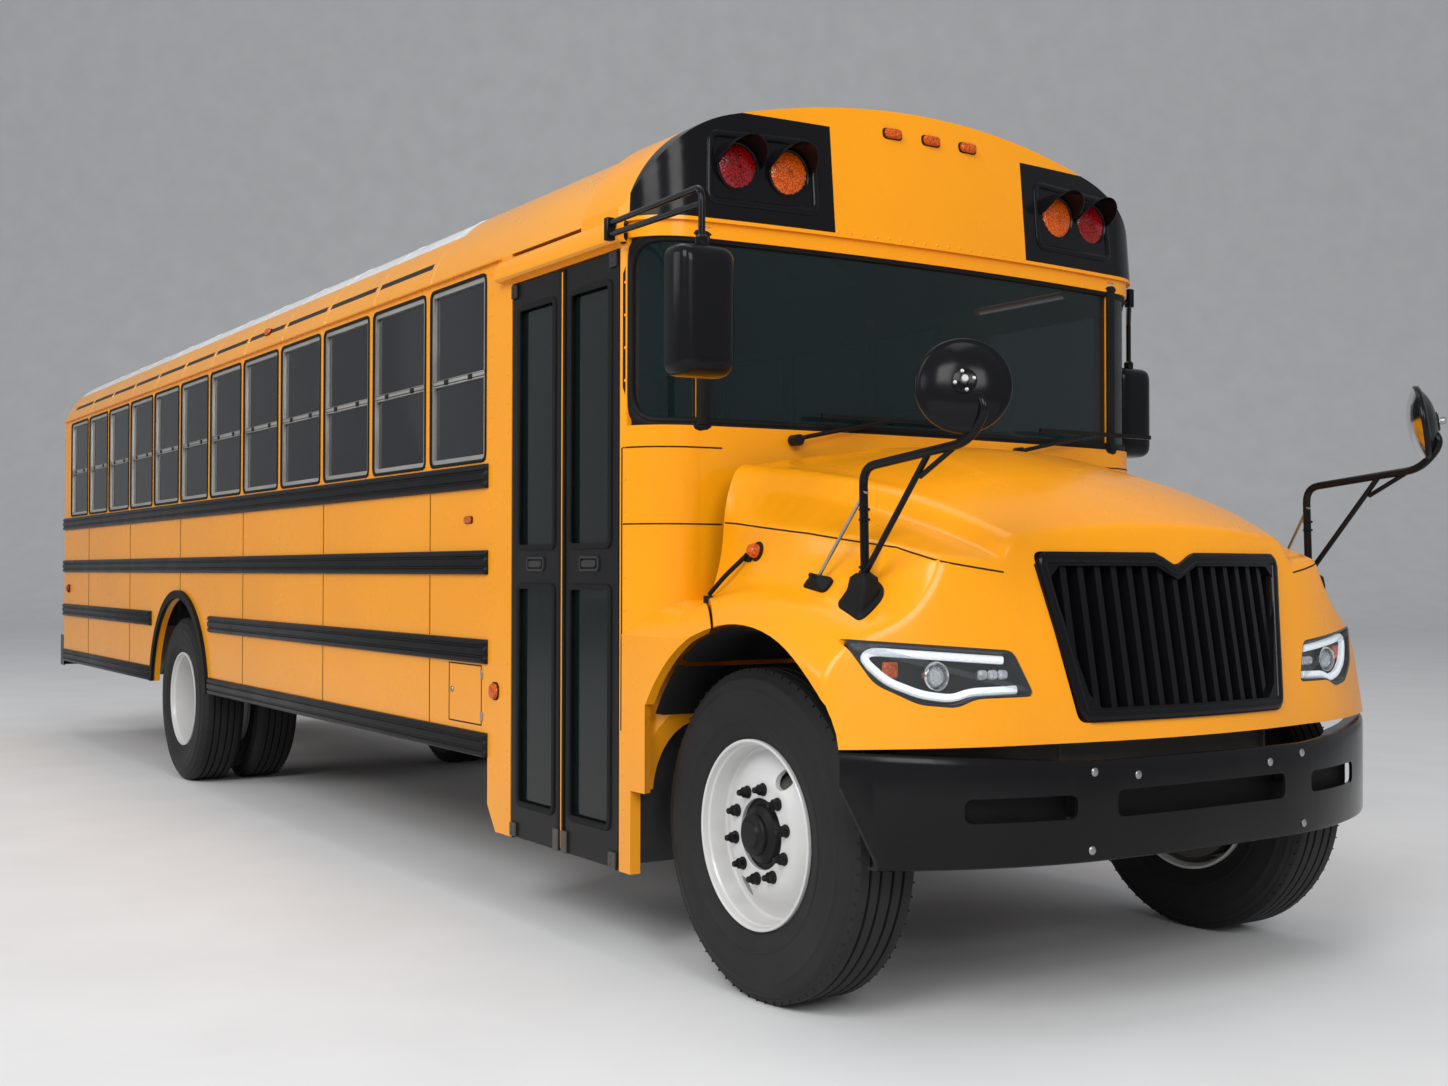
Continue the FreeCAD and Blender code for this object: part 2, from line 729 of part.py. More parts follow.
def tyre_outline(middle):
    """Tyre section: (radius, y) round from one bead to the other."""
    w = s.tyre_width / 2
    return (
        (s.rim_radius, middle - w * 0.80),
        (s.rim_flange + 2, middle - w * 0.80),
        (s.rim_radius + 95, middle - w),
        (s.tyre_radius - 70, middle - w),
        (s.tyre_radius - 12, middle - w * 0.86),
        (s.tyre_radius, middle - w * 0.72),
        (s.tyre_radius, middle + w * 0.72),
        (s.tyre_radius - 12, middle + w * 0.86),
        (s.tyre_radius - 70, middle + w),
        (s.rim_radius + 95, middle + w),
        (s.rim_flange + 2, middle + w * 0.80),
        (s.rim_radius, middle + w * 0.80),
    )


def wheel_place(body, x, y):
    return place(body, x, y, s.tyre_radius)


def front_wheel(name, side):
    """Front tyre, and the rim with its disc bulging outward round the hub."""
    tyre = turned(tyre_outline(0), TYRE_FLATS)
    node(f"tyre_front_{name}", wheel_place(tyre, front_x, side * s.front_wheel_y))
    w = s.tyre_width / 2 * 0.80
    bore = s.spindle_radius + s.running_gap
    seat = s.rim_radius - s.seat_gap / 2
    # Rim section from the inner flange out, then the disc in to the hub: (radius, y outward)
    section = (
        (s.rim_flange, -w - 14),
        (s.rim_flange, -w - s.seat_gap),
        (seat, -w - s.seat_gap),
        (seat, w + s.seat_gap),
        (s.rim_flange, w + s.seat_gap),
        (s.rim_flange, w + 14),
        (seat - 16, w + 14),
        (seat - 22, 40),
        (235, 52),
        (175, 88),
        (100, 92),
        (100, 128),
        (62, 140),
        (bore, 140),
        (bore, 0),
        (90, 0),
        (90, 74),
        (170, 74),
        (225, 40),
        (seat - 22, 22),
        (seat - 14, -w - 14),
    )
    outline = tuple((r, side * y) for r, y in section)
    body = wheel_place(revolve(outline), front_x, side * s.front_wheel_y)
    node(f"rim_front_{name}", body)


def rear_wheel(name, side):
    """Twin tyres, and one piece of both rims on their hub with the outer disc dished in."""
    outer, inner = s.rear_wheel_y, s.rear_wheel_y - s.dual_spacing
    tyres = [wheel_place(turned(tyre_outline(0), TYRE_FLATS), rear_x, side * y) for y in (outer, inner)]
    group(f"tyres_rear_{name}", tyres)
    w = s.tyre_width / 2 * 0.80
    seat = s.rim_radius - s.seat_gap / 2
    mid = s.dual_spacing / 2
    bore = s.axle_end_radius + s.running_gap
    # Both rims from the outer flange in, joined at the discs: (radius, y from between the tyres)
    section = (
        (s.rim_flange, mid + w + 14),
        (s.rim_flange, mid + w + s.seat_gap),
        (seat, mid + w + s.seat_gap),
        (seat, mid - w - s.seat_gap),
        (s.rim_flange, mid - w - s.seat_gap),
        (s.rim_flange, mid - w - 14),
        (seat - 16, mid - w - 14),
        (seat - 22, 18),
        (seat - 22, -18),
        (seat - 16, -(mid - w - 14)),
        (s.rim_flange, -(mid - w - 14)),
        (s.rim_flange, -(mid - w - s.seat_gap)),
        (seat, -(mid - w - s.seat_gap)),
        (seat, -(mid + w + s.seat_gap)),
        (s.rim_flange, -(mid + w + s.seat_gap)),
        (s.rim_flange, -(mid + w + 14)),
        (seat - 16, -(mid + w + 14)),
        (seat - 34, -40),
        (215, -18),
        (bore, -18),
        (bore, 170),
        (100, 170),
        (118, 18),
        (215, 18),
        (seat - 34, 40),
        (seat - 16, mid + w + 14),
    )
    outline = tuple((r, side * y) for r, y in section)
    between = side * (s.rear_wheel_y - s.dual_spacing / 2)
    node(f"rims_rear_{name}", wheel_place(revolve(outline), rear_x, between))


# ---------------------------------------------------------------- floor and steps


def floor():
    """Floor with its cross sills, wheel boxes over the duals, open over the step well."""
    x = (rear_wall_x + s.wall + s.seat_gap, front_x - s.side_start_back - 20)
    y = inside - s.seat_gap
    box_x = (rear_x - s.wheel_box_half, rear_x + s.wheel_box_half)
    box_y = s.rear_wheel_y - s.dual_spacing - s.tyre_width / 2 - 45
    box_z = s.floor_height + 150
    deck = fuse([
        box(x, (-y, y), (floor_under, s.floor_height)),
        box((x[1] - 1, front_x - s.face_corner_back - s.wall - 20), (-900, 900), (floor_under, s.floor_height)),
    ])
    well = box(
        (door_rear - s.seat_gap, door_front + s.seat_gap), (-y - 1, -(half - 3 * s.step_run - 30)), (0, 2000)
    )
    openings = [well]
    boxes = []
    for _, side in SIDES:
        openings.append(box(box_x, span(side, box_y, y + 1), (0, 2000)))
        shell = box(box_x, span(side, box_y, y), (floor_under, box_z))
        hollow = box(
            (box_x[0] + s.sheet_metal, box_x[1] - s.sheet_metal),
            span(side, box_y + s.sheet_metal, y + 1),
            (0, box_z - s.sheet_metal),
        )
        boxes.append(cut(shell, hollow))
    sills = []
    count = int(float(x[1] - x[0]) // 900)
    for i in range(count):
        at = x[0] + 450 + i * 900
        near_wheel = abs(float(at - rear_x)) < 700
        near_steps = float(door_rear) - 80 < float(at) < float(door_front) + 80
        reach = s.rail_y + 60 if near_wheel or near_steps else y - 20
        sills.append(box((at - 30, at + 30), (-reach, reach), (rail_top, floor_under)))
    node("floor", fuse([cut(deck, *openings)] + boxes + sills))


def step_well():
    """Three entrance steps between two side plates."""
    tread = 20
    low_y = -(inside - s.door_gap)
    corners = [(low_y, s.door_low + 45)]
    for i in range(3):
        z = s.door_low + 45 + i * s.step_rise
        y = low_y + (i + 1) * s.step_run
        corners.append((y, z))
        corners.append((y, z + s.step_rise))
    top_y = corners[-1][0]
    top_z = floor_under - s.seat_gap
    corners[-1] = (top_y, top_z)
    lower = [(y + tread, z - tread) for y, z in corners]
    lower[0] = (low_y, corners[0][1] - tread)
    lower[-1] = (top_y + tread, top_z)
    outline = corners + lower[::-1]
    x = (door_rear + s.seat_gap, door_front - s.seat_gap)
    stairs = feature(prism_x(outline, *x))
    sides = []
    bottom = [(low_y, corners[0][1] - tread), (low_y + s.step_run + tread, corners[0][1] - tread),
              (top_y + tread, top_z - s.step_rise), (top_y + tread, top_z), (low_y, top_z)]
    for at in (x[0], x[1] - s.sheet_metal):
        sides.append(feature(prism_x(bottom, at, at + s.sheet_metal)))
    node("step_well", fuse([stairs] + sides))


# ---------------------------------------------------------------- body


def window_bays():
    """Each side window's bay as (rear edge, front edge) along X, from the front back."""
    edge = door_rear - s.window_post
    after = edge - s.window_first
    bays = [(after, edge)]
    last = rear_wall_x + s.wall + 120
    while float(after - s.window_pitch) > float(last):
        bays.append((after - s.window_pitch, after))
        after = after - s.window_pitch
    return bays


def side_wall(name, side):
    """One side from the entrance back, its windows and rear arch cut."""
    y = span(side, inside, half)
    panel = box((rear_wall_x + s.wall, door_rear), y, (s.skirt_height, s.eave_height))
    beyond = span(side, inside - 10, half + 10)
    openings = [across(rear_x, s.tyre_radius, s.arch_radius_rear, *beyond)]
    for low, high in window_bays():
        gap = s.pillar / 2
        openings.append(box((low + gap, high - gap), beyond, (s.window_low, window_high)))
    wall = cut(panel, *openings)
    if side > 0:
        return node(f"side_wall_{name}", wall)
    foot = prism_y(
        [
            (door_rear, s.skirt_height),
            (door_rear, s.door_low + 6),
            (door_rear - 136, s.door_low + 6),
            (door_rear - 212, s.door_low + 106),
            (door_rear - 212, s.skirt_height),
        ],
        y[0],
        y[1],
    )
    node(f"side_wall_{name}", fuse([wall, feature(foot)]))


def window_frames():
    """Aluminium frames with their middle bars, both sides."""
    bar = s.frame_bar
    gap = s.pillar / 2 + s.seat_gap
    frames = []
    for _, side in SIDES:
        for low, high in window_bays():
            x = (low + gap, high - gap)
            z = (s.window_low + s.seat_gap, window_high - s.seat_gap)
            y = span(side, half - 32, half - 2)
            outer = box(x, y, z)
            beyond = span(side, half - 40, half + 10)
            panes = []
            for z_low, z_high in ((z[0] + bar, window_mid - bar / 2), (window_mid + bar / 2, z[1] - bar)):
                panes.append(box((x[0] + bar, x[1] - bar), beyond, (z_low, z_high)))
            frames.append(cut(outer, *panes))
    group("window_frames", frames)


def window_glass():
    """Two panes in each side window, and the two fixed panes of the rear wall."""
    bar = s.frame_bar + s.seat_gap
    gap = s.pillar / 2 + s.seat_gap
    panes = []
    for _, side in SIDES:
        y = span(side, half - 20 - s.glass_thickness / 2, half - 20 + s.glass_thickness / 2)
        for low, high in window_bays():
            x = (low + gap + bar, high - gap - bar)
            z = (s.window_low + s.seat_gap, window_high - s.seat_gap)
            mid = window_mid
            panes.append(box(x, y, (z[0] + bar, mid - s.frame_bar / 2 - s.seat_gap)))
            panes.append(box(x, y, (mid + s.frame_bar / 2 + s.seat_gap, z[1] - bar)))
        rear_y = span(side, 480 + s.seat_gap, 1080 - s.seat_gap)
        rear_z = (s.window_low + s.seat_gap, window_high - 60 - s.seat_gap)
        panes.append(box((rear_wall_x + 12, rear_wall_x + 20), rear_y, rear_z))
    group("window_glass", panes)


# Hatch: lid's underside above the crown, hinge pin ahead of the lid, radius of the hinge barrel
HATCH = SimpleNamespace(rise=25, pin_ahead=10, barrel=8)


def hatch_x():
    return front_x - s.hatch_back


def hatch_pin():
    """The hatch's hinge pin, as x and z."""
    return hatch_x() + s.hatch_size / 2 + HATCH.pin_ahead, roof_top + HATCH.rise + 14


def roof():
    """Roof sheet from the front cap back, with the coaming of the hatch."""
    x_low, x_high = rear_wall_x + s.wall, cap_joint_x
    outer = roof_section(0)
    inner = roof_section(float(s.wall))
    inner_low = roof_section(float(s.wall))
    inner_low.translate(Vector(0, 0, -60))
    length = float(x_high - x_low)
    shell = extrude(outer, x=length).cut(extrude(inner, x=length)).cut(extrude(inner_low, x=length))
    ring = feature(shell)
    place(ring, x_low, 0, 0)
    size = s.hatch_size
    top = roof_top + HATCH.rise
    coaming = mid_box(hatch_x(), 0, top - 40, size - 10, size - 10, 80)
    hole = mid_box(hatch_x(), 0, roof_top, size - 70, size - 70, 400)
    pin_x, pin_z = hatch_pin()
    lugs = []
    for low, high in ((-190, -150), (150, 190)):
        lugs.append(box((pin_x - 16, pin_x + HATCH.barrel), (low, high), (top - 25, top - 6)))
        lugs.append(box((pin_x - HATCH.barrel, pin_x + HATCH.barrel), (low, high), (top - 7, pin_z)))
        lugs.append(across(pin_x, pin_z, HATCH.barrel, low, high))
    node("roof", cut(fuse([ring, coaming] + lugs), hole))


def roof_hatch():
    """Escape hatch lid, hinged at its front edge."""
    z = roof_top + HATCH.rise
    lid = mid_box(hatch_x(), 0, z + 14, s.hatch_size, s.hatch_size, 28)
    vent = cylinder("z", (hatch_x(), 0, z + 20), 120, 38)
    pin_x, pin_z = hatch_pin()
    leaf = box((pin_x - 14, pin_x), (-149, 149), (pin_z - 5, pin_z + 5))
    barrel = across(pin_x, pin_z, HATCH.barrel, -150 + s.seat_gap, 150 - s.seat_gap)
    node("roof_hatch", fuse([lid, vent, leaf, barrel]))


REAR_DOOR = SimpleNamespace(half=380, low=floor_under, high=s.eave_height - 190)


def rear_wall():
    """Rear end panel with the emergency door's way and a window each side."""
    panel = extrude(body_section(s.skirt_height), x=s.wall - s.seat_gap)
    shape = feature(panel)
    place(shape, rear_wall_x, 0, 0)
    door, gap = REAR_DOOR, s.door_gap
    beyond = (rear_wall_x - 50, rear_wall_x + 100)
    tools = [box(beyond, (-door.half - gap, door.half + gap), (door.low - gap, door.high + gap))]
    for _, side in SIDES:
        y = span(side, 480, 1080)
        tools.append(box(beyond, y, (s.window_low, window_high - 60)))
    for i in (-1, 1):
        for k in (-1, 1):
            tools.append(
                cylinder("x", (rear_wall_x - 50, -760 + i * s.plate_holes_x / 2, 1150 + k * s.plate_holes_z / 2),
                         s.plate_hole, 200)
            )
    node("rear_wall", cut(shape, *tools))


def rear_door():
    """Emergency door in the rear wall, hinged on the curb side."""
    door = REAR_DOOR
    x = (rear_wall_x, rear_wall_x + s.wall - s.seat_gap)
    slab = box(x, (-door.half, door.half), (door.low, door.high))
    beyond = (rear_wall_x - 50, rear_wall_x + 100)
    y = (-door.half + 70, door.half - 70)
    panes = ((door.low + 160, door.low + 560), (s.window_low, door.high - 80))
    tools = [box(beyond, y, z) for z in panes]
    handle = box((rear_wall_x - 42, rear_wall_x), (door.half - 60, door.half - 30), (door.low + 580, door.low + 760))
    hinges = []
    for z in (door.low + 100, door.low + 650, door.high - 100):
        hinges.append(cylinder("z", (rear_wall_x - 12, -door.half - 4, z - 60), 12 - s.seat_gap, 120))
        hinges.append(box((rear_wall_x - 4, rear_wall_x), (-door.half - 2, -door.half + 60), (z - 60, z + 60)))
    node("rear_door", fuse([cut(slab, *tools), handle] + hinges))
    glass = [
        box((rear_wall_x + 14, rear_wall_x + 22), (y[0] + s.seat_gap, y[1] - s.seat_gap),
            (z[0] + s.seat_gap, z[1] - s.seat_gap)) for z in panes
    ]
    group("rear_door_glass", glass)


def front_cap():
    """Cap over the windshield, and the black lamp panels let into its front."""
    z = (cap_low, roof_top + 60)
    outer = face_outline(-float(s.cap_raise), cap_joint_x + s.seat_gap, z, s.cap_lean)
    inner = face_outline(30, cap_joint_x - 100, (z[0] - 10, z[1] + 10), s.cap_lean)
    length = float(front_x - s.face_back - cap_joint_x) + 200
    roof_outer = roof_section(0, float(s.cap_raise))
    below = polygon([(0, y, zz) for y, zz in (
        (half + s.cap_raise, z[0]), (half + s.cap_raise, s.eave_height + 20),
        (-half - s.cap_raise, s.eave_height + 20), (-half - s.cap_raise, z[0]))])
    tall = roof_outer.fuse(below).removeSplitter()
    section = extrude(tall, x=length)
    section.translate(point(cap_joint_x, 0, 0))
    hollow = extrude(roof_section(30), x=length)
    hollow.translate(point(cap_joint_x - 10, 0, 0))
    hollow_low = hollow.copy()
    hollow_low.translate(Vector(0, 0, -90))
    shell = outer.common(section).cut(inner.common(hollow.fuse(hollow_low)))
    cap_region = []
    for _, side in SIDES:
        y = span(side, s.panel_in, half + 80)
        region = Part.makeBox(600, float(y[1] - y[0]), float(s.panel_tall),
                              point(front_x - s.face_back - 180, y[0], s.eave_height - s.panel_drop))
        cap_region.append(region)
    panels = [shell.common(region) for region in cap_region]
    rest = shell
    for region in cap_region:
        rest = rest.cut(region)
    node("front_cap", feature(rest))
    group("lamp_panels", [feature(p) for p in panels])
    return outer.common(section)


def cowl():
    """Front body round the windshield and the entrance, down to the front arch."""
    top = cap_low - s.seat_gap
    back = door_rear + s.seat_gap
    outer = face_outline(0, back, (s.skirt_height, top))
    inner = face_outline(float(s.wall), back - 100, (0, 3000))
    shell = outer.cut(inner)
    shell = shell.fuse(prism_y(
        [(door_front, s.skirt_height), (door_front, s.door_low + 6),
         (front_x - s.cowl_edge_back, s.door_low + 6), (front_x - s.cowl_edge_back, s.skirt_height)],
        -half, -inside))
    tools = []
    # Room under the cab for the engine, and round each front wheel
    under = Part.makeBox(700, 2000, 1200, point(front_x - 700, -1000, 0))
    under.translate(Vector(0, 0, float(floor_under) - 1200))
    tools.append(under)
    for _, side in SIDES:
        y = span(side, 500, 1300)
        wheel = Part.makeCylinder(
            float(s.arch_radius_front), 800,
            point(front_x + s.arch_centre_ahead, y[0], s.arch_centre_height), Vector(0, 1, 0))
        tools.append(wheel)
        tools.append(Part.makeBox(
            900, 800, float(s.arch_centre_height), point(front_x - s.cowl_edge_back, y[0], 0)))
    tools.append(Part.makeBox(
        float(door_front - door_rear), 200, float(door_high - s.door_low) + 60,
        point(door_rear, -half - 60, s.door_low - 60)))
    # Windshield, corner panes and the driver's window
    tools.append(Part.makeBox(
        400, 2 * float(s.face_corner_y) - 60, float(glass_high - s.glass_low),
        point(front_x - 700, -s.face_corner_y + 30, s.glass_low)))
    for _, side in SIDES:
        y = span(side, s.face_corner_y + 10, 1300)
        tools.append(Part.makeBox(
            180, float(y[1] - y[0]), float(glass_high - s.glass_low),
            point(front_x - s.side_start_back + 25, y[0], s.glass_low)))
    tools.append(driver_window(0))
    for tool in tools:
        shell = shell.cut(tool)
    for _, side in SIDES:
        shell = shell.fuse(fender_tail(side, outer))
    node("cowl", feature(shell.removeSplitter()))


def joint_line(x, gap):
    """Distance from the centre line to the slanted joint of hood and cowl, x ahead of the axle."""
    return 1056 + 0.545 * (x + float(s.hood_rear_back)) + gap * 1.14


def arch_cutter():
    """The front wheel arch, right across the bus."""
    return Part.makeCylinder(
        float(s.arch_radius_front), 3000,
        point(front_x + s.arch_centre_ahead, -1500, s.arch_centre_height), Vector(0, 1, 0))


def tail_block(inset):
    """The fender's rear section pulled back to the door post, drawn in by inset, with the fender ahead."""
    x = float(front_x)
    back = x - float(s.side_start_back) + 5
    y, z = float(half) - inset, float(s.skirt_height) - inset
    fall = inset * 0.8
    top = [(y, 1130 - inset / 2), ((1055 + float(half)) / 2 + 14 - fall, 1204 - fall), (1055 - fall, 1250 - fall)]
    corners = [(back, yy, zz) for yy, zz in [(y, z)] + top + [(940, 1262 - fall), (940, z)]]
    edges = [
        line(corners[0], corners[1]), arc(*corners[1:4]), line(corners[3], corners[4]),
        line(corners[4], corners[5]), line(corners[5], corners[0]),
    ]
    block = extrude(Part.Face(Part.Wire(edges)), x=x - float(s.hood_rear_back) - back)
    return block.fuse(hood_solid(inset))


def fender_tail(side, body):
    """The rear end of a front fender, fixed to the cowl behind the hood's slanted joint."""
    x = float(front_x)
    back = x - float(s.side_start_back) + 5
    z = float(s.skirt_height)
    block = tail_block(0).cut(tail_block(float(s.hood_shell)))
    gap = float(s.door_gap)
    meet = -float(s.hood_rear_back) - gap
    plan = [(back - x, 960), (meet, 960), (meet, joint_line(meet, gap)), (50, joint_line(50, gap)),
            (50, 1320), (back - x, 1320)]
    zone = extrude(polygon([(x + px, py, z) for px, py in plan]), z=700)
    wheel = arch_cutter().common(
        Part.makeBox(2000, 3000, 1000, point(x - 1000, -1500, s.flare_foot)))
    steered = Part.makeCylinder(float(s.steer_room), float(s.flare_foot), point(x, s.kingpin_y, 0))
    below = Part.makeBox(2000, 3000, float(s.flare_foot), point(x - 200, -1500, 0))
    tail = block.common(zone).cut(wheel).cut(steered).cut(below)
    if side < 0:
        tail = mirror_y(tail)
    return tail.cut(body)


def driver_window(inset):
    low, high = front_x - 1450, front_x - 760
    return Part.makeBox(
        float(high - low) - 2 * inset, 200, float(window_high - s.window_low) - 100 - 2 * inset,
        point(low + inset, inside - 60, s.window_low + inset))


def face_at(y):
    """Where the front body's face lies at the distance y from the centre line."""
    sweep = float(s.face_corner_back - s.face_back)
    return float(front_x - s.face_back) - sweep * (y / float(s.face_corner_y)) ** 2


def windshield():
    """Windshield, its two corner panes and the driver's side window."""
    ring = face_outline(16, door_rear - 200, (s.glass_low, glass_high)).cut(
        face_outline(16 + float(s.glass_thickness), door_rear - 300, (0, 3000)))
    gap = float(s.seat_gap)
    z = float(s.glass_low) + gap
    tall = float(glass_high - s.glass_low) - 2 * gap
    width = 2 * float(s.face_corner_y) - 60 - 2 * gap
    panes = [ring.common(Part.makeBox(400, width, tall, point(front_x - 700, -width / 2, z)))]
    for _, side in SIDES:
        y = span(side, s.face_corner_y + 10 + gap, 1300)
        corner = Part.makeBox(
            180 - gap, float(y[1] - y[0]), tall, point(front_x - s.side_start_back + 25 + gap, y[0], z))
        panes.append(ring.common(corner))
    panes.append(ring.common(driver_window(gap)))
    group("windshield", [feature(p) for p in panes])


# ---------------------------------------------------------------- hood

# Hood sections, back to front. x: ahead of the front axle. Then (y, z) of one side: crown height,
# bonnet edge, seam, fender shoulder, fender side.
HOOD_SECTIONS = (
    (-360, 1804, (940, 1714), (990, 1512), (1055, 1250), (1219, 1130)),
    (100, 1746, (790, 1642), (1010, 1480), (1090, 1300), (1219, 1150)),
    (450, 1622, (690, 1538), (930, 1430), (1060, 1235), (1219, 1060)),
    (860, 1400, (570, 1335), (680, 1290), (860, 1120), (1150, 900)),
)


def hood_section(row, inset):
    """One section of the hood as a closed wire, all sizes drawn in by inset."""
    x, crown, edge, seam, shoulder, side = row
    x = float(front_x) + x
    drop = inset

    def at(p, dy=0.0, dz=0.0):
        return (x, p[0] + dy - inset * 0.8, p[1] + dz - drop * 0.8)

    edge_in = at(edge, -60, 8)
    edge_out = at(edge, 22, -70)
    edge_mid = at(edge, -6, -14)
    seam_at = at(seam)
    shoulder_at = at(shoulder)
    fold = ((seam_at[1] + shoulder_at[1]) / 2 - 14, (seam_at[2] + shoulder_at[2]) / 2 - 14)
    side_at = (x, side[0] - inset, side[1] - inset * 0.5)
    bulge = ((shoulder_at[1] + side_at[1]) / 2 + 14, (shoulder_at[2] + side_at[2]) / 2 + 14)
    low = float(s.hood_low) - (0 if inset == 0 else 60)
    crown_at = (x, 0, crown - drop)

    def other(p):
        return (p[0], -p[1], p[2])

    half_edges = [
        (line, ((x, side_at[1], low), side_at)),
        (arc, (side_at, (x, bulge[0], bulge[1]), shoulder_at)),
        (arc, (shoulder_at, (x, fold[0], fold[1]), seam_at)),
        (line, (seam_at, edge_out)),
        (arc, (edge_out, edge_mid, edge_in)),
    ]
    edges = [make(*points) for make, points in half_edges]
    edges.append(arc(edge_in, crown_at, other(edge_in)))
    edges += [make(*[other(p) for p in points[::-1]]) for make, points in half_edges[::-1]]
    edges.append(line((x, -side_at[1], low), (x, side_at[1], low)))
    return Part.Wire(edges)


def hood_solid(inset):
    rows = [list(r) for r in HOOD_SECTIONS]
    wires = [hood_section(r, inset) for r in rows]
    return Part.makeLoft(wires, True, True)


def nose_solid(inset):
    """The nose in plan, pulled up along the grille's lean."""
    half_span = 600
    front = 802 - inset

    def at(x, y):
        return (float(front_x) + x, y, 0)

    edges = [
        arc(at(front - 62, -half_span), at(front, 0), at(front - 62, half_span)),
        arc(at(front - 62, half_span), at(front - 142, 930), at(front - 300, 1240)),
        line(at(front - 300, 1240), at(-900, 1240)),
        line(at(-900, 1240), at(-900, -1240)),
        line(at(-900, -1240), at(front - 300, -1240)),
        arc(at(front - 300, -1240), at(front - 142, -930), at(front - 62, -half_span)),
    ]
    face = Part.Face(Part.Wire(edges))
    slope = float(s.nose_lean) / float(s.grille_high - s.grille_low)
    low = float(s.hood_low) - 100
    shift = (float(s.grille_low) - low) * slope
    face.translate(Vector(shift, 0, low))
    tall = 1200
    return extrude(face, x=-tall * slope, z=tall)


# Headlamp outline on the nose: (y, z) of one side
HEADLAMP = ((1150, 1150), (665, 1115), (612, 985), (800, 980), (860, 957), (970, 972), (1080, 1030))


def grow(points, by):
    """An outline moved outward by a small amount from its middle."""
    mid_y = sum(p[0] for p in points) / len(points)
    mid_z = sum(p[1] for p in points) / len(points)
    grown = []
    for y, z in points:
        reach = math.hypot(y - mid_y, z - mid_z)
        grown.append((y + (y - mid_y) / reach * by, z + (z - mid_z) / reach * by))
    return grown


def grille_outline(inset):
    low, high = float(s.grille_low) + inset, float(s.grille_high) - inset
    half_low, half_high = float(s.grille_half_low) - inset, float(s.grille_half_high) - inset
    cut_corner = 40
    return [
        (-half_low + cut_corner, low), (half_low - cut_corner, low), (half_low, low + cut_corner),
        (half_high, high - cut_corner), (half_high - cut_corner, high), (90, high), (0, high - 43),
        (-90, high), (-half_high + cut_corner, high), (-half_high, high - cut_corner),
        (-half_low, low + cut_corner),
    ]


def hood_forms():
    """Hood with fenders, and the headlamps and grille that sit in its nose."""
    outer = hood_solid(0).common(nose_solid(0))
    shell = float(s.hood_shell)
    hollow = hood_solid(shell).common(nose_solid(shell))
    body = outer.cut(hollow)
    body = body.cut(arch_cutter())
    plan = [(x, joint_line(x, 0)) for x in (-float(s.hood_rear_back) - 40, 50)]
    corner = extrude(polygon([(float(front_x) + x, y, s.hood_low - 50) for x, y in
                              plan + [(50, 1320), (plan[0][0], 1320)]]), z=600)
    body = body.cut(corner).cut(mirror_y(corner))
    ahead = (float(front_x) + 300, float(front_x) + 1100)
    opening = prism_x(grille_outline(-float(s.seat_gap)), *ahead)
    body = body.cut(opening)
    lamps = []
    lamp_skin = outer.cut(nose_solid(60))
    for _, side in SIDES:
        outline = [(side * y, z) for y, z in HEADLAMP]
        pocket = prism_x([(side * y, z) for y, z in grow(HEADLAMP, float(s.seat_gap))], *ahead)
        body = body.cut(pocket)
        lamps.append(feature(lamp_skin.common(prism_x(outline, *ahead))))
    pivot_x = float(front_x + s.hood_pivot_ahead)
    pivot_z = float(s.hood_pivot_height)
    for _, side in SIDES:
        y = span(side, s.hood_pivot_y - 8, s.hood_pivot_y + 8)
        axle = (point(pivot_x, y[0], pivot_z), Vector(0, 1, 0))
        ear = prism_y([(pivot_x - 19, pivot_z), (pivot_x + 19, pivot_z), (pivot_x + 38, pivot_z + 90),
                       (pivot_x - 10, pivot_z + 90)], *y)
        ear = ear.fuse(Part.makeCylinder(19, 16, *axle))
        ear = ear.cut(Part.makeCylinder(float(s.hinge_pin + s.running_gap), 16, *axle))
        body = body.fuse(ear)
    node("hood", feature(body.removeSplitter()))
    group("headlamps", lamps)
    return outer


def grille(outer):
    """Grille frame with upright bars, following the nose."""
    depth = float(s.grille_depth)
    ahead = (float(front_x) + 300, float(front_x) + 1100)
    block = nose_solid(-8).cut(nose_solid(depth))
    ring = prism_x(grille_outline(0), *ahead).cut(prism_x(grille_outline(float(s.grille_border)), *ahead))
    frame = block.common(ring)
    count = int(float(s.grille_bars))
    inner = float(s.grille_half_high) - float(s.grille_border)
    bars = []
    for i in range(count):
        y = -inner + (i + 1) * 2 * inner / (count + 1)
        bars.append(Part.makeBox(800, 22, 700, point(float(front_x) + 300, y - 11, s.grille_low)))
    bar_zone = prism_x(grille_outline(float(s.grille_border) - 4), *ahead)
    bar_skin = nose_solid(8).cut(nose_solid(depth - 10)).common(bar_zone)
    body = frame
    for bar in bars:
        body = body.fuse(bar_skin.common(bar))
    node("grille", feature(body.removeSplitter()))


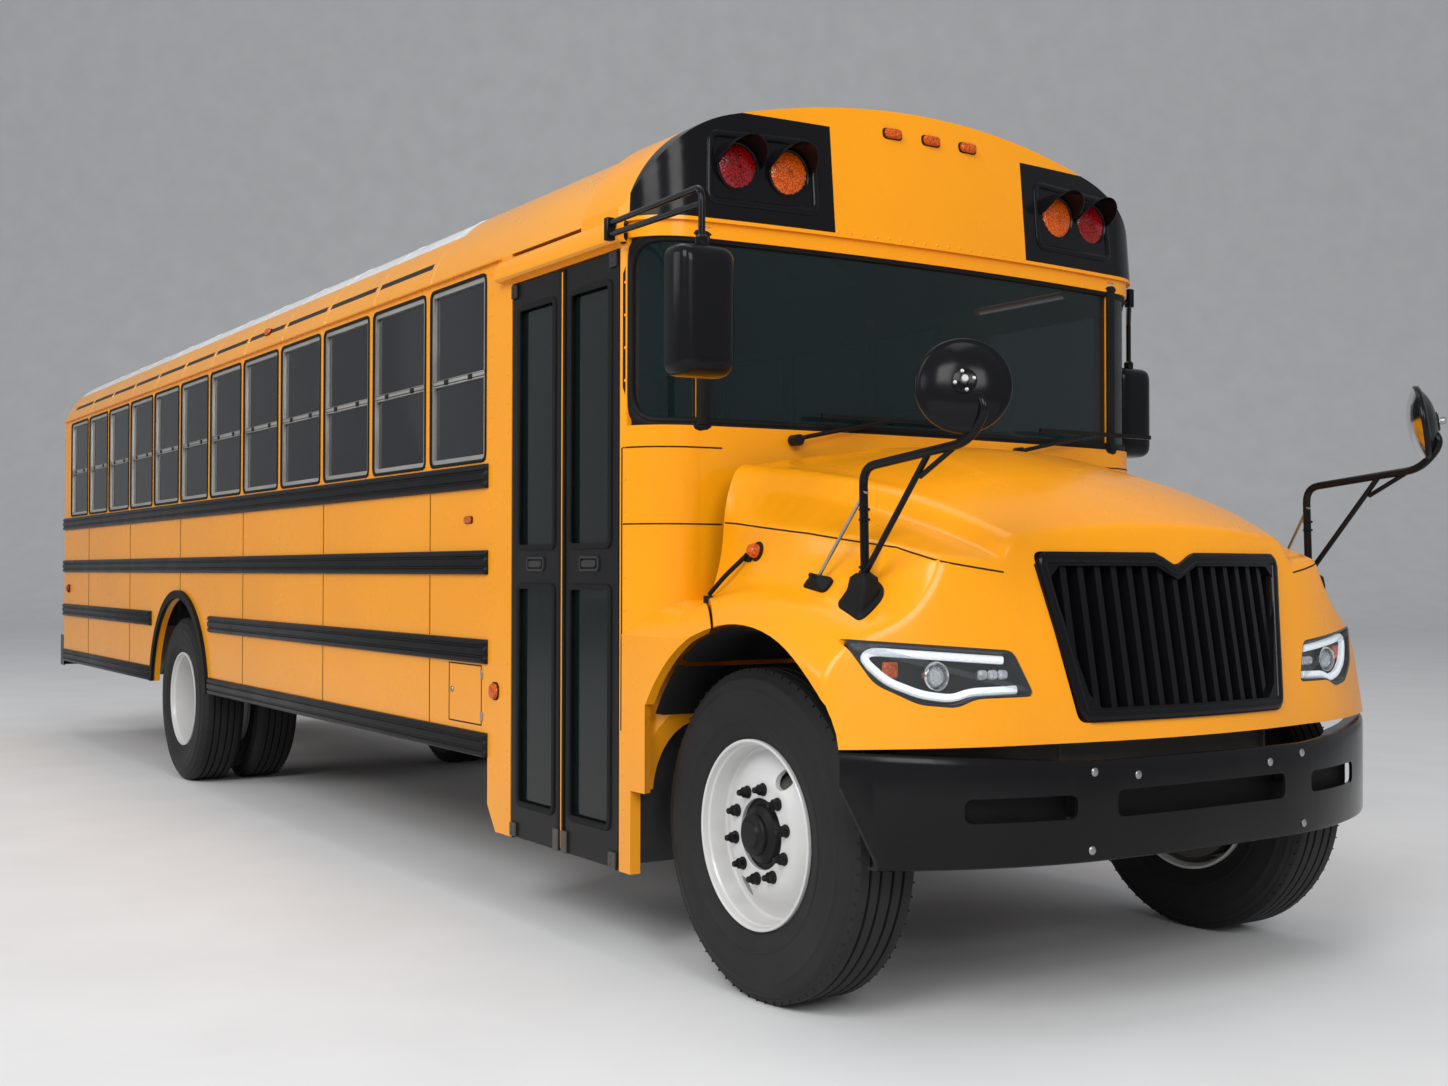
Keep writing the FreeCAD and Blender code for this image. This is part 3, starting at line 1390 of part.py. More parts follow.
def crossview_mirrors(hood_outer):
    """Fender mirrors: cast foot, bent arm with braces, and a round dish."""
    pieces = []
    for _, side in SIDES:
        x = float(front_x)
        y = side * 1020
        foot = prism_y([(x + 405, 1150), (x + 500, 1150), (x + 485, 1330), (x + 420, 1330)], y - 38, y + 38)
        foot = foot.cut(hood_outer)
        arm = tube([(x + 450, y, 1310), (x + 440, y, 1655), (x + 900, y, 1700), (x + 985, y, 1790),
                    (x + 925, y, 1850)], 14, 40)
        brace = tube([(x + 452, y, 1345), (x + 740, y, 1682)], 11, 10)
        normal = Vector(-0.78, -side * 0.60, -0.15).normalize()
        centre = Vector(x + 888, side * 1027, 1852)
        dish = Part.makeCylinder(133, 24, centre - normal * 24, normal)
        back = Part.makeCone(55, 131, 36, centre - normal * 58, normal)
        glass = Part.makeSphere(200, centre - normal * 162)
        cap = glass.common(Part.makeCylinder(131, 80, centre - normal * 2, normal))
        head = dish.fuse(back).fuse(cap)
        pieces.append(feature(foot.fuse(arm).fuse(brace).fuse(head)))
    group("crossview_mirrors", pieces)


# ---------------------------------------------------------------- bumpers


def front_bumper():
    """Bumper bent back at its ends, with three slots."""
    x = float(front_x + s.bumper_ahead)
    low, high = float(s.bumper_low), float(s.bumper_high)

    def band(inset):
        bend, end = (x - 120 - inset * 0.92, 880 - inset * 0.4), (x - 300 - inset * 0.8, 1190 - inset * 0.6)
        start = (x - 15 - inset, 480)
        return [
            arc((*start, 0), (x - inset, 0, 0), (start[0], -start[1], 0)),
            arc((*start, 0), (*bend, 0), (*end, 0)),
            arc((start[0], -start[1], 0), (bend[0], -bend[1], 0), (end[0], -end[1], 0)),
        ], end

    (outer, tip), (inner, root) = band(0), band(float(s.bumper_skin))
    ends = [line((tip[0], side * tip[1], 0), (root[0], side * root[1], 0)) for _, side in SIDES]
    face = Part.Face(Part.Wire(Part.__sortEdges__(outer + inner + ends)))
    face.translate(Vector(0, 0, low))
    rise = 40
    body = extrude(face, z=high + rise - low)
    # The upper edge rises towards both ends
    above = [(-1300, high + 46), (-480, high), (480, high), (1300, high + 46), (1300, high + 200), (-1300, high + 200)]
    body = body.cut(prism_x(above, x - 500, x + 100))
    # Slots: y middle, width, z low, z high
    for y, width, z_low, z_high in ((0, 760, 625, 705), (-705, 350, 630, 700), (705, 350, 630, 700)):
        body = body.cut(Part.makeBox(500, width, z_high - z_low, Vector(x - 400, y - width / 2, z_low)))
    brackets = []
    for _, side in SIDES:
        y = side * float(s.rail_y)
        start = float(front_x + s.frame_front_ahead) + float(s.seat_gap)
        brackets.append(Part.makeBox(
            x - 30 - start, 70, 55, Vector(start, y - 35, float(rail_top - s.rail_height) + 2)))
    for bracket in brackets:
        body = body.fuse(bracket)
    node("front_bumper", feature(body.removeSplitter()))


def rear_bumper():
    """Straight rear bumper wrapped round the corners."""
    x = rear_wall_x - s.rear_bumper_depth
    face = box((x, x + 12), (-half, half), (s.skirt_height - 40, s.skirt_height + 210))
    lips = []
    for _, side in SIDES:
        y = span(side, half - 12, half)
        lips.append(box((x, rear_wall_x - s.seat_gap), y, (s.skirt_height - 40, s.skirt_height + 210)))
    stays = []
    for _, side in SIDES:
        y = side * s.rail_y
        stays.append(box((x, rear_wall_x - s.seat_gap), (y + 20, y + 60),
                         (s.skirt_height + 60, s.skirt_height + 160)))
    node("rear_bumper", fuse([face] + lips + stays))


# ---------------------------------------------------------------- doors and arms


def door_leaves():
    """The two leaves of the entrance door with their glass."""
    middle = (door_front + door_rear) / 2
    gap = s.door_gap
    leaves = (
        ("front", middle + gap / 2, door_front - gap),
        ("rear", door_rear + gap, middle - gap / 2),
    )
    z = (s.door_low + 12, door_high - gap)
    panes_z = ((z[0] + 130, s.door_rail_low), (s.door_rail_high, z[1] - 96))
    for name, low, high in leaves:
        slab = box((low, high), (-half, -inside), z)
        beyond = (-half - 10, -inside + 10)
        x = (low + s.door_stile, high - s.door_stile)
        pivot_x = high - s.pivot_in if name == "front" else low + s.pivot_in
        pivot_y = -half + s.pivot_deep
        pins = [
            cylinder("z", (pivot_x, pivot_y, z[1] - 60), s.pivot_radius, 60 + gap - s.seat_gap),
            cylinder("z", (pivot_x, pivot_y, z[0] - 6), s.pivot_radius, 66),
        ]
        node(f"door_leaf_{name}", fuse([cut(slab, *[box(x, beyond, pz) for pz in panes_z])] + pins))
        glass = [
            box((x[0] + s.seat_gap, x[1] - s.seat_gap), (-half + 14, -half + 14 + s.glass_thickness),
                (pz[0] + s.seat_gap, pz[1] - s.seat_gap))
            for pz in panes_z
        ]
        group(f"door_glass_{name}", glass)


STOP_ARM = SimpleNamespace(hinge_back=790, height=1500)


def stop_arm():
    """Folding stop sign on the driver's side, with its fixed bracket."""
    hinge_x = front_x - STOP_ARM.hinge_back
    z = STOP_ARM.height
    bracket = box((hinge_x + 14, hinge_x + 100), (half + s.seat_gap, half + 50), (z - 160, z + 160))
    ears = [
        box((hinge_x - 12, hinge_x + 15), (half + s.seat_gap, half + 34), (z + dz, z + dz + 10))
        for dz in (-150, 140)
    ]
    node("stop_arm_bracket", fuse([bracket] + ears))
    size = float(s.stop_size)
    radius = size / 2 / math.cos(math.pi / 8)
    centre_x = float(hinge_x) - 90 - size / 2
    corners = [
        (centre_x + radius * math.cos(math.radians(22.5 + 45 * i)),
         z + radius * math.sin(math.radians(22.5 + 45 * i)))
        for i in range(8)
    ]
    sign = prism_y(corners, half + 28, half + 40)
    bars = [
        Part.makeBox(size * 0.6 + 90, 16, 30, point(float(hinge_x) - 90 - size * 0.6, half + 14, z + dz - 15))
        for dz in (-110, 110)
    ]
    post = Part.makeCylinder(9, 280 - 2 * float(s.seat_gap), point(hinge_x, half + 22, z - 140 + s.seat_gap))
    body = sign.fuse(post)
    for bar in bars:
        body = body.fuse(bar)
    node("stop_arm", feature(body.removeSplitter()))


# ---------------------------------------------------------------- inside


def seats():
    """Bench cushions with their backs, and their legs."""
    benches = []
    legs = []
    first = door_rear - 420
    z = s.floor_height + s.seat_cushion_height
    last = rear_wall_x + s.wall + 560
    for i in range(int(float(first - last) // float(s.seat_pitch)) + 1):
        x = first - i * s.seat_pitch
        for _, side in SIDES:
            y = span(side, inside - s.seat_width - 8, inside - 8)
            benches.append(box((x - 395, x), y, (z - 120, z)))
            benches.append(pad_bench(x, side))
            rail = box((x - 390, x - 20), span(side, inside - s.seat_width + 20, inside - s.seat_width + 50),
                       (s.floor_height, z - 120 - s.seat_gap))
            legs.append(cut(rail, box((x - 350, x - 60), (-2000, 2000), (s.floor_height + 25, z - 150))))
    group("bench_seats", benches)
    group("seat_frames", legs)


def pad_bench(x, side):
    """One seat back, leaning a little and rounded at its top."""
    z = s.floor_height + s.seat_cushion_height
    low, high = z - 118, z + s.seat_back_height - 60
    outline = (
        (0, low), (-70, low), (-150, high - 40), (-130, high), (-85, high), (-60, high - 40),
    )
    body = pad("XZ_Plane", [(u, v) for u, v in outline], s.seat_width)
    return place(body, x - 395 - s.seat_gap, side * (inside - 8 - s.seat_width / 2), 0)


def driver_place():
    """Driver's seat, dashboard and steering wheel."""
    x = front_x - 1330
    y = 620
    base = s.floor_height
    group("driver_seat", [fuse([
        mid_box(x, y, base + 130, 300, 300, 260),
        mid_box(x, y, base + 320, 480, 480, 130),
        mid_box(x - 260, y, base + 720, 110, 470, 740),
    ])])
    dash_x = front_x - s.face_corner_back - s.wall
    fit = face_outline(float(s.wall + s.seat_gap), door_rear - 100, (1500, s.glass_low - 60))
    dash = fit.common(Part.makeBox(900, 1700, 600, point(dash_x - 300, -450, 1400)))
    axis = Vector(-0.5, 0, 0.87)
    hub = point(dash_x - 420, y, 1800)
    turn = Rotation(Vector(0, 0, 1), axis)
    wheel = Part.makeTorus(225, 16, hub, axis)
    wheel = wheel.fuse(Part.makeCylinder(28, 300, hub - axis * 300, axis).cut(dash))
    for long, wide in ((430, 30), (30, 430)):
        spoke = Part.makeBox(long, wide, 14, Vector(-long / 2, -wide / 2, -7))
        spoke.Placement = Placement(hub, turn).multiply(spoke.Placement)
        wheel = wheel.fuse(spoke)
    group("dashboard", [feature(dash), feature(wheel)])


# ---------------------------------------------------------------- trim and lamps

# Rub rails: height of the band's middle, breaks behind the front axle round the rear arch
RAILS = ((1731, False), (1383, False), (1024, True), (649, True))


def side_trim():
    """Rub rails along both sides."""
    pieces = []
    for name, side in SIDES:
        for middle, broken in RAILS:
            y = span(side, half + s.seat_gap, half + s.rail_depth)
            z = (middle - s.rail_height_band / 2, middle + s.rail_height_band / 2)
            front = door_rear - 210 if side < 0 else door_rear - 30
            ends = [(rear_wall_x + 20, front)]
            if broken:
                reach = s.arch_radius_rear + s.flare + 12
                ends = [(rear_wall_x + 20, rear_x - reach), (rear_x + reach, front)]
            for low, high in ends:
                pieces.append(box((low, high), y, z))
    group("side_trim", pieces)


def arch_flares():
    """Rubber flares round the rear wheel arches."""
    flares = []
    for _, side in SIDES:
        ring_y = span(side, half + s.seat_gap, half + s.rail_depth)
        flare = across(rear_x, s.tyre_radius, s.arch_radius_rear + s.flare, *ring_y)
        wide = span(side, half - 20, half + 60)
        inner = across(rear_x, s.tyre_radius, s.arch_radius_rear - 6, *wide)
        below = box((rear_x - 900, rear_x + 900), wide, (-300, s.skirt_height))
        flares.append(cut(flare, inner, below))
    group("arch_flares", flares)


def lamp(x, y, z, radius, depth, facing):
    """A short round lamp pointing forward (1) or back (-1)."""
    start = x if facing > 0 else x - depth
    return cylinder("x", (start, y, z), radius, depth)


def warning_lamps(cap):
    """Eight round warning lamps, four at each end; cap is what the front ones seat on."""
    pieces = []
    for _, side in SIDES:
        for y in (655, 860):
            start = point(face_at(y) - 70, side * y, 2760)
            pieces.append(feature(Part.makeCylinder(88, 90, start, Vector(1, 0, 0)).cut(cap)))
            pieces.append(lamp(rear_wall_x - s.seat_gap, side * y, 2740, 88, 40, -1))
    group("warning_lamps", pieces)


def tail_lamps():
    """Stop, turn and reverse lamps on the rear wall."""
    pieces = []
    for _, side in SIDES:
        for y, z, radius in ((980, 1560, 90), (760, 1560, 90), (980, 1330, 60), (800, 1330, 50)):
            pieces.append(lamp(rear_wall_x - s.seat_gap, side * y, z, radius, 25, -1))
    group("tail_lamps", pieces)


# Driving mirror heads: side, then x ahead of the axle, y and z of the head's middle
MIRROR_HEADS = ((1, -740, 1372, 2045), (-1, 195, 1430, 2115))


def side_mirrors():
    """Driving mirrors, each on two tubes from the door post."""
    pieces = []
    gap = float(s.seat_gap)
    cab = face_outline(-gap, door_rear, (s.skirt_height, roof_top))
    for side, ahead, out, middle in MIRROR_HEADS:
        x, y = float(front_x) + ahead, side * out
        root_x = float(front_x - s.side_start_back) + 15
        root_y, elbow_y = side * (float(half) - 20), side * (float(half) + 55)
        heights = [float(door_high) + up for up in (66, 27)]
        upper = tube([(root_x, root_y, heights[0]), (root_x, elbow_y, heights[0]),
                      (x, y, heights[0] - 60), (x, y, middle + 185)], 11, 22)
        lower = tube([(root_x, root_y, heights[1]), (root_x, elbow_y, heights[1]),
                      (x, y, heights[0] - 110)], 11, 22)
        head = mirror_head(x, y, middle)
        pieces.append(feature(upper.fuse(lower).cut(cab).fuse(head)))
    group("side_mirrors", pieces)


def mirror_head(x, y, z):
    """A driving mirror's housing: its corners cut off, its back drawn in."""
    def outline(at, width, tall, corner):
        quarter = [(width / 2, tall / 2 - corner), (width / 2 - corner, tall / 2)]
        half_ring = quarter + [(-u, v) for u, v in quarter[::-1]]
        ring = half_ring + [(-u, -v) for u, v in half_ring]
        points = [point(at, y + u, z + v) for u, v in ring]
        return Part.makePolygon(points + points[:1])

    glass_rim, back_rim, back = outline(x - 55, 200, 390, 45), outline(x, 200, 390, 45), outline(x + 55, 130, 320, 30)
    return Part.makeLoft([glass_rim, back_rim, back], True, True)


def wipers():
    """Two wiper arms parked along the windshield's lower edge."""
    pieces = []
    for y in (-640, 420):
        face = face_at(abs(y) - 20) + float(s.seat_gap)
        x = float(front_x - s.face_back) + 4
        arm = tube([(x, y, 1812), (x + 22, y + 20, 1822), (x + 26, y + 400, 1900)], 8, 8)
        pivot = Part.makeCylinder(20, x + 20 - face, point(face, y, 1812), Vector(1, 0, 0))
        blade = Part.makeBox(12, 620, 16, point(x + 20, y + 90, 1893))
        pieces.append(feature(arm.fuse(pivot).fuse(blade)))
    group("wipers", pieces)


def tank_and_exhaust():
    """Fuel tank between the rails and the exhaust line outside them."""
    low = rail_top - s.rail_height
    tank_y = s.rail_y - s.rail_width / 2 - s.seat_gap
    tank = box((rear_wall_x + 1580, rear_x - 960), (-tank_y, tank_y), (low - 60, rail_top - 20))
    node("fuel_tank", tank)
    x = float(front_x)
    z = float(low) - 90
    pipe = tube([(x - 900, 300, z), (x - 1500, 620, z), (x - 5300, 620, z), (x - 5500, 560, z)], 55, 140)
    muffler = Part.makeCylinder(130, 1100, Vector(x - 3600, 620, z), Vector(1, 0, 0))
    line_shape = pipe.fuse(muffler)
    rail_out = float(s.rail_y + s.rail_width / 2 + s.seat_gap)
    for at in (3450, 2650):
        hanger = Part.makeBox(40, 620 - rail_out, 60, Vector(x - at, rail_out, z + 90))
        line_shape = line_shape.fuse(hanger)
    node("exhaust", feature(line_shape))


chassis_frame()
cross_members()
engine()
driveline()
front_axle()
rear_axle()
group("leaf_springs", leaf_springs(front_x, s.tyre_radius) + leaf_springs(rear_x, s.tyre_radius + 90))
for side_name, side_sign in SIDES:
    knuckle(f"knuckle_{side_name}", side_sign)
    front_wheel(side_name, side_sign)
    rear_wheel(side_name, side_sign)
    side_wall(side_name, side_sign)
tie_rod()
floor()
step_well()
window_frames()
window_glass()
roof()
roof_hatch()
rear_wall()
rear_door()
cap_form = front_cap()
cowl()
windshield()
hood_form = hood_forms()
grille(hood_form)
crossview_mirrors(hood_form)
front_bumper()
rear_bumper()
door_leaves()
stop_arm()
seats()
driver_place()
side_trim()
arch_flares()
warning_lamps(cap_form)
tail_lamps()
side_mirrors()
wipers()
tank_and_exhaust()

doc.recompute()
for obj in doc.Objects:
    if "Invalid" in obj.State or "Error" in obj.State:
        raise RuntimeError(f"{obj.Name} ({obj.Label}) failed: {obj.State}")
for obj in NODES:
    if obj.Shape.isNull() or not obj.Shape.isValid():
        raise RuntimeError(f"{obj.Label} has no valid shape")
    obj.Shape.exportStep(f"parts/{obj.Label}.step")
    print(f"{obj.Label}: {len(obj.Shape.Solids)} solids, {obj.Shape.Volume / 1e9:.4f} m3")
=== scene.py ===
import math

import bmesh
import bpy
from mathutils import Matrix, Vector


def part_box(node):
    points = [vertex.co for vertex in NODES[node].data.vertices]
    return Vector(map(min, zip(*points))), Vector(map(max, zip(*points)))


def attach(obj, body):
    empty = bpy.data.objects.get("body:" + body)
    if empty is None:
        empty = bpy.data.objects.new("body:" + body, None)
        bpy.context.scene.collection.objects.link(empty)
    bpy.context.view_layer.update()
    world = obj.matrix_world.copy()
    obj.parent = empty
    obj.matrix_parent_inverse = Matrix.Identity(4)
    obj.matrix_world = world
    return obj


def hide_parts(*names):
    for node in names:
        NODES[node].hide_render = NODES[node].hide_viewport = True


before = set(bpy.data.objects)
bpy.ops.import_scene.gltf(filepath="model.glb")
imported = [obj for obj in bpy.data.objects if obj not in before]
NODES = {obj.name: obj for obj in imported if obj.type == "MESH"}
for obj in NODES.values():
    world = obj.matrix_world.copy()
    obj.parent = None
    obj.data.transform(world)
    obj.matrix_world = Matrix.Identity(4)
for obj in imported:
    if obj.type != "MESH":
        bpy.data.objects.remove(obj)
# What rays are cast on: the CAD nodes, and pieces of this file that stand in for some of them
SURFACES = dict(NODES)
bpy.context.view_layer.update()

# Places shared by many pieces, in metres. +X forward, +Y left, +Z up.
RIM_LOW, RIM_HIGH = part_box("rim_front_left")
FRONT_X = (RIM_LOW.x + RIM_HIGH.x) / 2
REAR_X = sum(p.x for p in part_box("rims_rear_left")) / 2
AXLE_Z = (RIM_LOW.z + RIM_HIGH.z) / 2
WALL_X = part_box("rear_wall")[0].x
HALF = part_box("side_wall_left")[1].y
DOOR_LOW, DOOR_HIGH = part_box("door_leaf_rear")[0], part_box("door_leaf_front")[1]
SIDES = (("left", 1), ("right", -1))


# ---------------------------------------------------------------- stage, light and camera

def linked(name, data):
    """A new object in the scene with the data given."""
    made = bpy.data.objects.new(name, data)
    bpy.context.scene.collection.objects.link(made)
    return made


def stage_floor():
    """One pale sheet that curves up into a backdrop far behind the bus."""
    half_width, near, far, rise, radius = 60.0, -60.0, 40.0, 30.0, 12.0
    profile = [(near, 0.0), (far - radius, 0.0)]
    for step in range(1, 13):
        turn = math.pi / 2 * step / 12
        profile.append((far - radius + radius * math.sin(turn), radius - radius * math.cos(turn)))
    profile.append((far, rise))
    sight = Vector((-0.838, 0.5455, 0))
    across = Vector((sight.y, -sight.x, 0))
    bm = bmesh.new()
    skin(bm, [[bm.verts.new(sight * out + across * side + Vector((0, 0, height)))
               for side in (-half_width, half_width)] for out, height in profile], across=False)
    made = new_object("studio_floor", bm)
    for face in made.data.polygons:
        face.use_smooth = True
    material, tree, shader = new_material("studio_floor")
    put(shader, Base_Color=ramp(tree, noise(tree, 1.5, 3.0), 0.3, 0.7, (0.70,) * 3, (0.74,) * 3),
        Roughness=0.85)
    made.data.materials.append(material)


# Name, place, target, size and power of each area light
LIGHTS = (("key", (12, -14, 12), (2, 0, 1.2), (8, 8), 1950),
          ("fill", (-4, -18, 9), (-1, 0, 1.2), (12, 6), 640),
          ("front", (17, -4, 8), (4, 0, 1.4), (5, 5), 640),
          ("top", (0, 0, 14), (0, 0, 0), (14, 6), 430))


def light_and_camera():
    scene = bpy.context.scene
    scene.view_settings.view_transform = "Standard"
    scene.world = bpy.data.worlds.new("studio")
    scene.world.use_nodes = True
    put(scene.world.node_tree.nodes["Background"], Color=(0.93, 0.96, 1.0, 1), Strength=0.44)
    for name, place, target, size, power in LIGHTS:
        data = bpy.data.lights.new(name, "AREA")
        data.shape = "RECTANGLE"
        data.size, data.size_y = size
        data.energy = power
        made = linked(name, data)
        made.location = place
        made.rotation_euler = (Vector(target) - Vector(place)).to_track_quat("-Z", "Y").to_euler()
    data = bpy.data.cameras.new("camera")
    data.sensor_width, data.lens, data.clip_end = 36.0, 40.11, 300.0
    yaw, pitch, roll = math.radians(56.93), math.radians(1.01), math.radians(0.08)
    level = math.cos(pitch)
    view = Vector((-math.sin(yaw) * level, math.cos(yaw) * level, math.sin(pitch)))
    turn = view.to_track_quat("-Z", "Y").to_matrix() @ Matrix.Rotation(roll, 3, "Z")
    scene.camera = linked("camera", data)
    scene.camera.location = (FRONT_X + 4.203, -3.960, 1.348)
    scene.camera.rotation_euler = turn.to_euler()


# ---------------------------------------------------------------- materials

def feed(socket, value):
    """Links another node's output to an input, or sets the input to a plain value."""
    if isinstance(value, bpy.types.NodeSocket):
        socket.id_data.links.new(value, socket)
    else:
        socket.default_value = value


def put(node, **values):
    """Sets a node's properties, and feeds its inputs where it has no such property."""
    for key, value in values.items():
        if hasattr(node, key):
            setattr(node, key, value)
        else:
            feed(node.inputs[key.replace("_", " ")], value)
    return node


def add(tree, kind, **values):
    """A new shader node with properties and inputs set."""
    return put(tree.nodes.new("ShaderNode" + kind), **values)


def new_material(name, **values):
    """A node material, its tree and its Principled shader with some inputs set."""
    made = bpy.data.materials.new(name)
    made.use_nodes = True
    return made, made.node_tree, put(made.node_tree.nodes["Principled BSDF"], **values)


def own_place(tree):
    """The object's own coordinates."""
    return add(tree, "TexCoord").outputs["Object"]


def noise(tree, scale, detail=4.0, rough=0.55, stretch=(1, 1, 1)):
    """Noise over the object's own coordinates; stretch squeezes it along an axis."""
    mapping = add(tree, "Mapping", Scale=stretch, Vector=own_place(tree))
    return add(tree, "TexNoise", Scale=scale, Detail=detail, Roughness=rough,
               Vector=mapping.outputs["Vector"]).outputs["Fac"]


def ramp(tree, source, low, high, colour_low, colour_high):
    """Blends two colours between two levels of a value."""
    made = add(tree, "ValToRGB", Fac=source)
    stops = made.color_ramp.elements
    stops[0].position, stops[0].color = low, (*colour_low, 1)
    stops[1].position, stops[1].color = high, (*colour_high, 1)
    return made.outputs["Color"]


def spread(tree, source, from_low, from_high, to_low, to_high):
    """Carries a value from one range to another."""
    return add(tree, "MapRange", clamp=True, Value=source, From_Min=from_low, From_Max=from_high,
               To_Min=to_low, To_Max=to_high).outputs["Result"]


def calculate(tree, operation, first, second):
    made = add(tree, "Math", operation=operation)
    feed(made.inputs[0], first)
    feed(made.inputs[1], second)
    return made.outputs[0]


def mixed(tree, share, first, second):
    """The first colour, with a share of the second."""
    return add(tree, "Mix", data_type="RGBA", Factor=share, A=first, B=second).outputs["Result"]


def ground_dust(tree, colour, dust, top, strength):
    """Mixes dust into a colour near the ground, broken up by noise."""
    height = add(tree, "SeparateXYZ", Vector=own_place(tree)).outputs["Z"]
    share = calculate(tree, "MULTIPLY", spread(tree, height, 0.25, top, strength, 0.0),
                      noise(tree, 3.5, 6.0, 0.65))
    return mixed(tree, share, colour, (*dust, 1))


def bump(tree, source, strength, distance):
    return add(tree, "Bump", Strength=strength, Distance=distance, Height=source).outputs["Normal"]


def rough_from(tree, source, low, high):
    """Roughness that varies between low and high with a noise."""
    return spread(tree, source, 0.3, 0.7, low, high)


def worn_paint(tree, shader, colour, rough, coat):
    """What every paint has: a colour, uneven roughness, orange peel and a clear coat."""
    put(shader, Base_Color=colour, Roughness=rough_from(tree, noise(tree, 6.0, 8.0, 0.6), *rough),
        Normal=bump(tree, noise(tree, 420.0, 2.0, 0.4), 0.06, 0.0006), Coat_Weight=coat)


def paint(name, colour, deep, rough=(0.2, 0.3), coat=0.6, dust=None, dust_top=1.3, dust_amount=0.5,
          gloss=0.5):
    """Gloss paint: soft shade changes over the panels, orange peel and dust low down."""
    made, tree, shader = new_material(name, Coat_Roughness=0.06, Specular_IOR_Level=gloss)
    colours = ramp(tree, noise(tree, 0.9, 3.0, 0.5), 0.35, 0.65, deep, colour)
    if dust:
        colours = ground_dust(tree, colours, dust, dust_top, dust_amount)
    worn_paint(tree, shader, colours, rough, coat)
    return made


def two_tone(name, low_colour, high_colour, height, front):
    """Roof paint: the light colour above a height and behind a place, the body's colour elsewhere."""
    made, tree, shader = new_material(name)
    split = add(tree, "SeparateXYZ", Vector=own_place(tree)).outputs
    white = calculate(tree, "MULTIPLY", calculate(tree, "GREATER_THAN", split["Z"], height),
                      calculate(tree, "LESS_THAN", split["X"], front))
    shade = noise(tree, 0.9, 3.0, 0.5)
    low = ramp(tree, shade, 0.35, 0.65, [c * 0.93 for c in low_colour], low_colour)
    high = ramp(tree, shade, 0.35, 0.65, [c * 0.90 for c in high_colour], high_colour)
    worn_paint(tree, shader, mixed(tree, white, low, high), (0.26, 0.40), 0.3)
    return made


def moulded(name, colour, deep, rough=(0.45, 0.6), grain=900.0, depth=0.0004, dust=None, metallic=0.0,
            dust_top=1.2, dust_amount=0.6, gloss=0.35):
    """Moulded plastic, rubber or bare metal with a fine grain."""
    made, tree, shader = new_material(name, Metallic=metallic,
                                      Specular_IOR_Level=0.5 if metallic else gloss)
    shade = noise(tree, 4.0, 6.0, 0.6)
    colours = ramp(tree, shade, 0.3, 0.7, deep, colour)
    if dust:
        colours = ground_dust(tree, colours, dust, dust_top, dust_amount)
    put(shader, Base_Color=colours, Roughness=rough_from(tree, shade, *rough),
        Normal=bump(tree, noise(tree, grain, 3.0, 0.6), 0.25, depth))
    return made


def glass(name, colour, alpha, rough=0.03):
    """Tinted pane: faint streaks in its roughness, see-through by alpha."""
    made, tree, shader = new_material(name, Alpha=alpha, Specular_IOR_Level=0.3, Coat_Weight=0.05,
                                      Coat_Roughness=0.02)
    smear = noise(tree, 2.5, 6.0, 0.65, (1, 1, 0.3))
    put(shader, Base_Color=ramp(tree, smear, 0.3, 0.7, [c * 0.8 for c in colour], colour),
        Roughness=rough_from(tree, smear, rough, rough + 0.04))
    return made


def lens(name, colour, deep, glow):
    """Ribbed coloured lamp lens over a brighter reflector."""
    made, tree, shader = new_material(name, Roughness=0.12, Specular_IOR_Level=0.4,
                                      Emission_Strength=glow)
    cell = add(tree, "TexVoronoi", Scale=150.0, Vector=own_place(tree)).outputs["Distance"]
    colours = ramp(tree, cell, 0.1, 0.7, colour, deep)
    put(shader, Base_Color=colours, Emission_Color=colours, Normal=bump(tree, cell, 0.5, 0.002))
    return made


def glowing(name, colour, deep, power, cells=90.0):
    """Lit or pale translucent plastic over fine cells."""
    made, tree, shader = new_material(name, Emission_Strength=power, Roughness=0.18)
    fine = noise(tree, cells, 3.0, 0.5)
    colours = ramp(tree, fine, 0.35, 0.65, deep, colour)
    put(shader, Base_Color=colours, Emission_Color=colours, Normal=bump(tree, fine, 0.15, 0.0006))
    return made


def grey(level):
    return (level,) * 3


DUST = (0.32, 0.27, 0.20)
YELLOW = paint("bus_yellow", (0.90, 0.335, 0.0035), (0.85, 0.31, 0.003), coat=0.12, dust=DUST,
               dust_amount=0.20, gloss=0.25)
ROOF = two_tone("roof_yellow_white", (0.88, 0.345, 0.006), (0.78, 0.79, 0.80), 2.80, FRONT_X - 2.25)
GUIDE = glowing("light_guide", (0.86, 0.90, 0.95), (0.74, 0.80, 0.88), 0.35)
CELL = glowing("lamp_cells", (0.55, 0.58, 0.62), (0.25, 0.27, 0.30), 0.05, 220.0)
BLACK = paint("black_gloss", (0.007, 0.007, 0.008), (0.004, 0.004, 0.005), rough=(0.14, 0.22),
              coat=0.0, dust=DUST, dust_top=0.9, dust_amount=0.03, gloss=0.14)
SATIN = moulded("black_satin", (0.010, 0.010, 0.011), (0.006, 0.006, 0.007), rough=(0.3, 0.42),
                dust=DUST, dust_top=1.0, dust_amount=0.03, gloss=0.13)
RUBBER = moulded("black_rubber", grey(0.010), grey(0.006), rough=(0.5, 0.65), grain=500.0, gloss=0.12)
TYRE = moulded("tyre_rubber", (0.017, 0.017, 0.018), (0.010, 0.010, 0.011), rough=(0.5, 0.68),
               grain=260.0, depth=0.0008, dust=(0.20, 0.18, 0.15), dust_top=1.1, dust_amount=0.08,
               gloss=0.16)
WHEEL = paint("wheel_white", (0.64, 0.64, 0.635), (0.56, 0.56, 0.555), rough=(0.3, 0.42), coat=0.3,
              dust=DUST, dust_top=0.9, dust_amount=0.25)
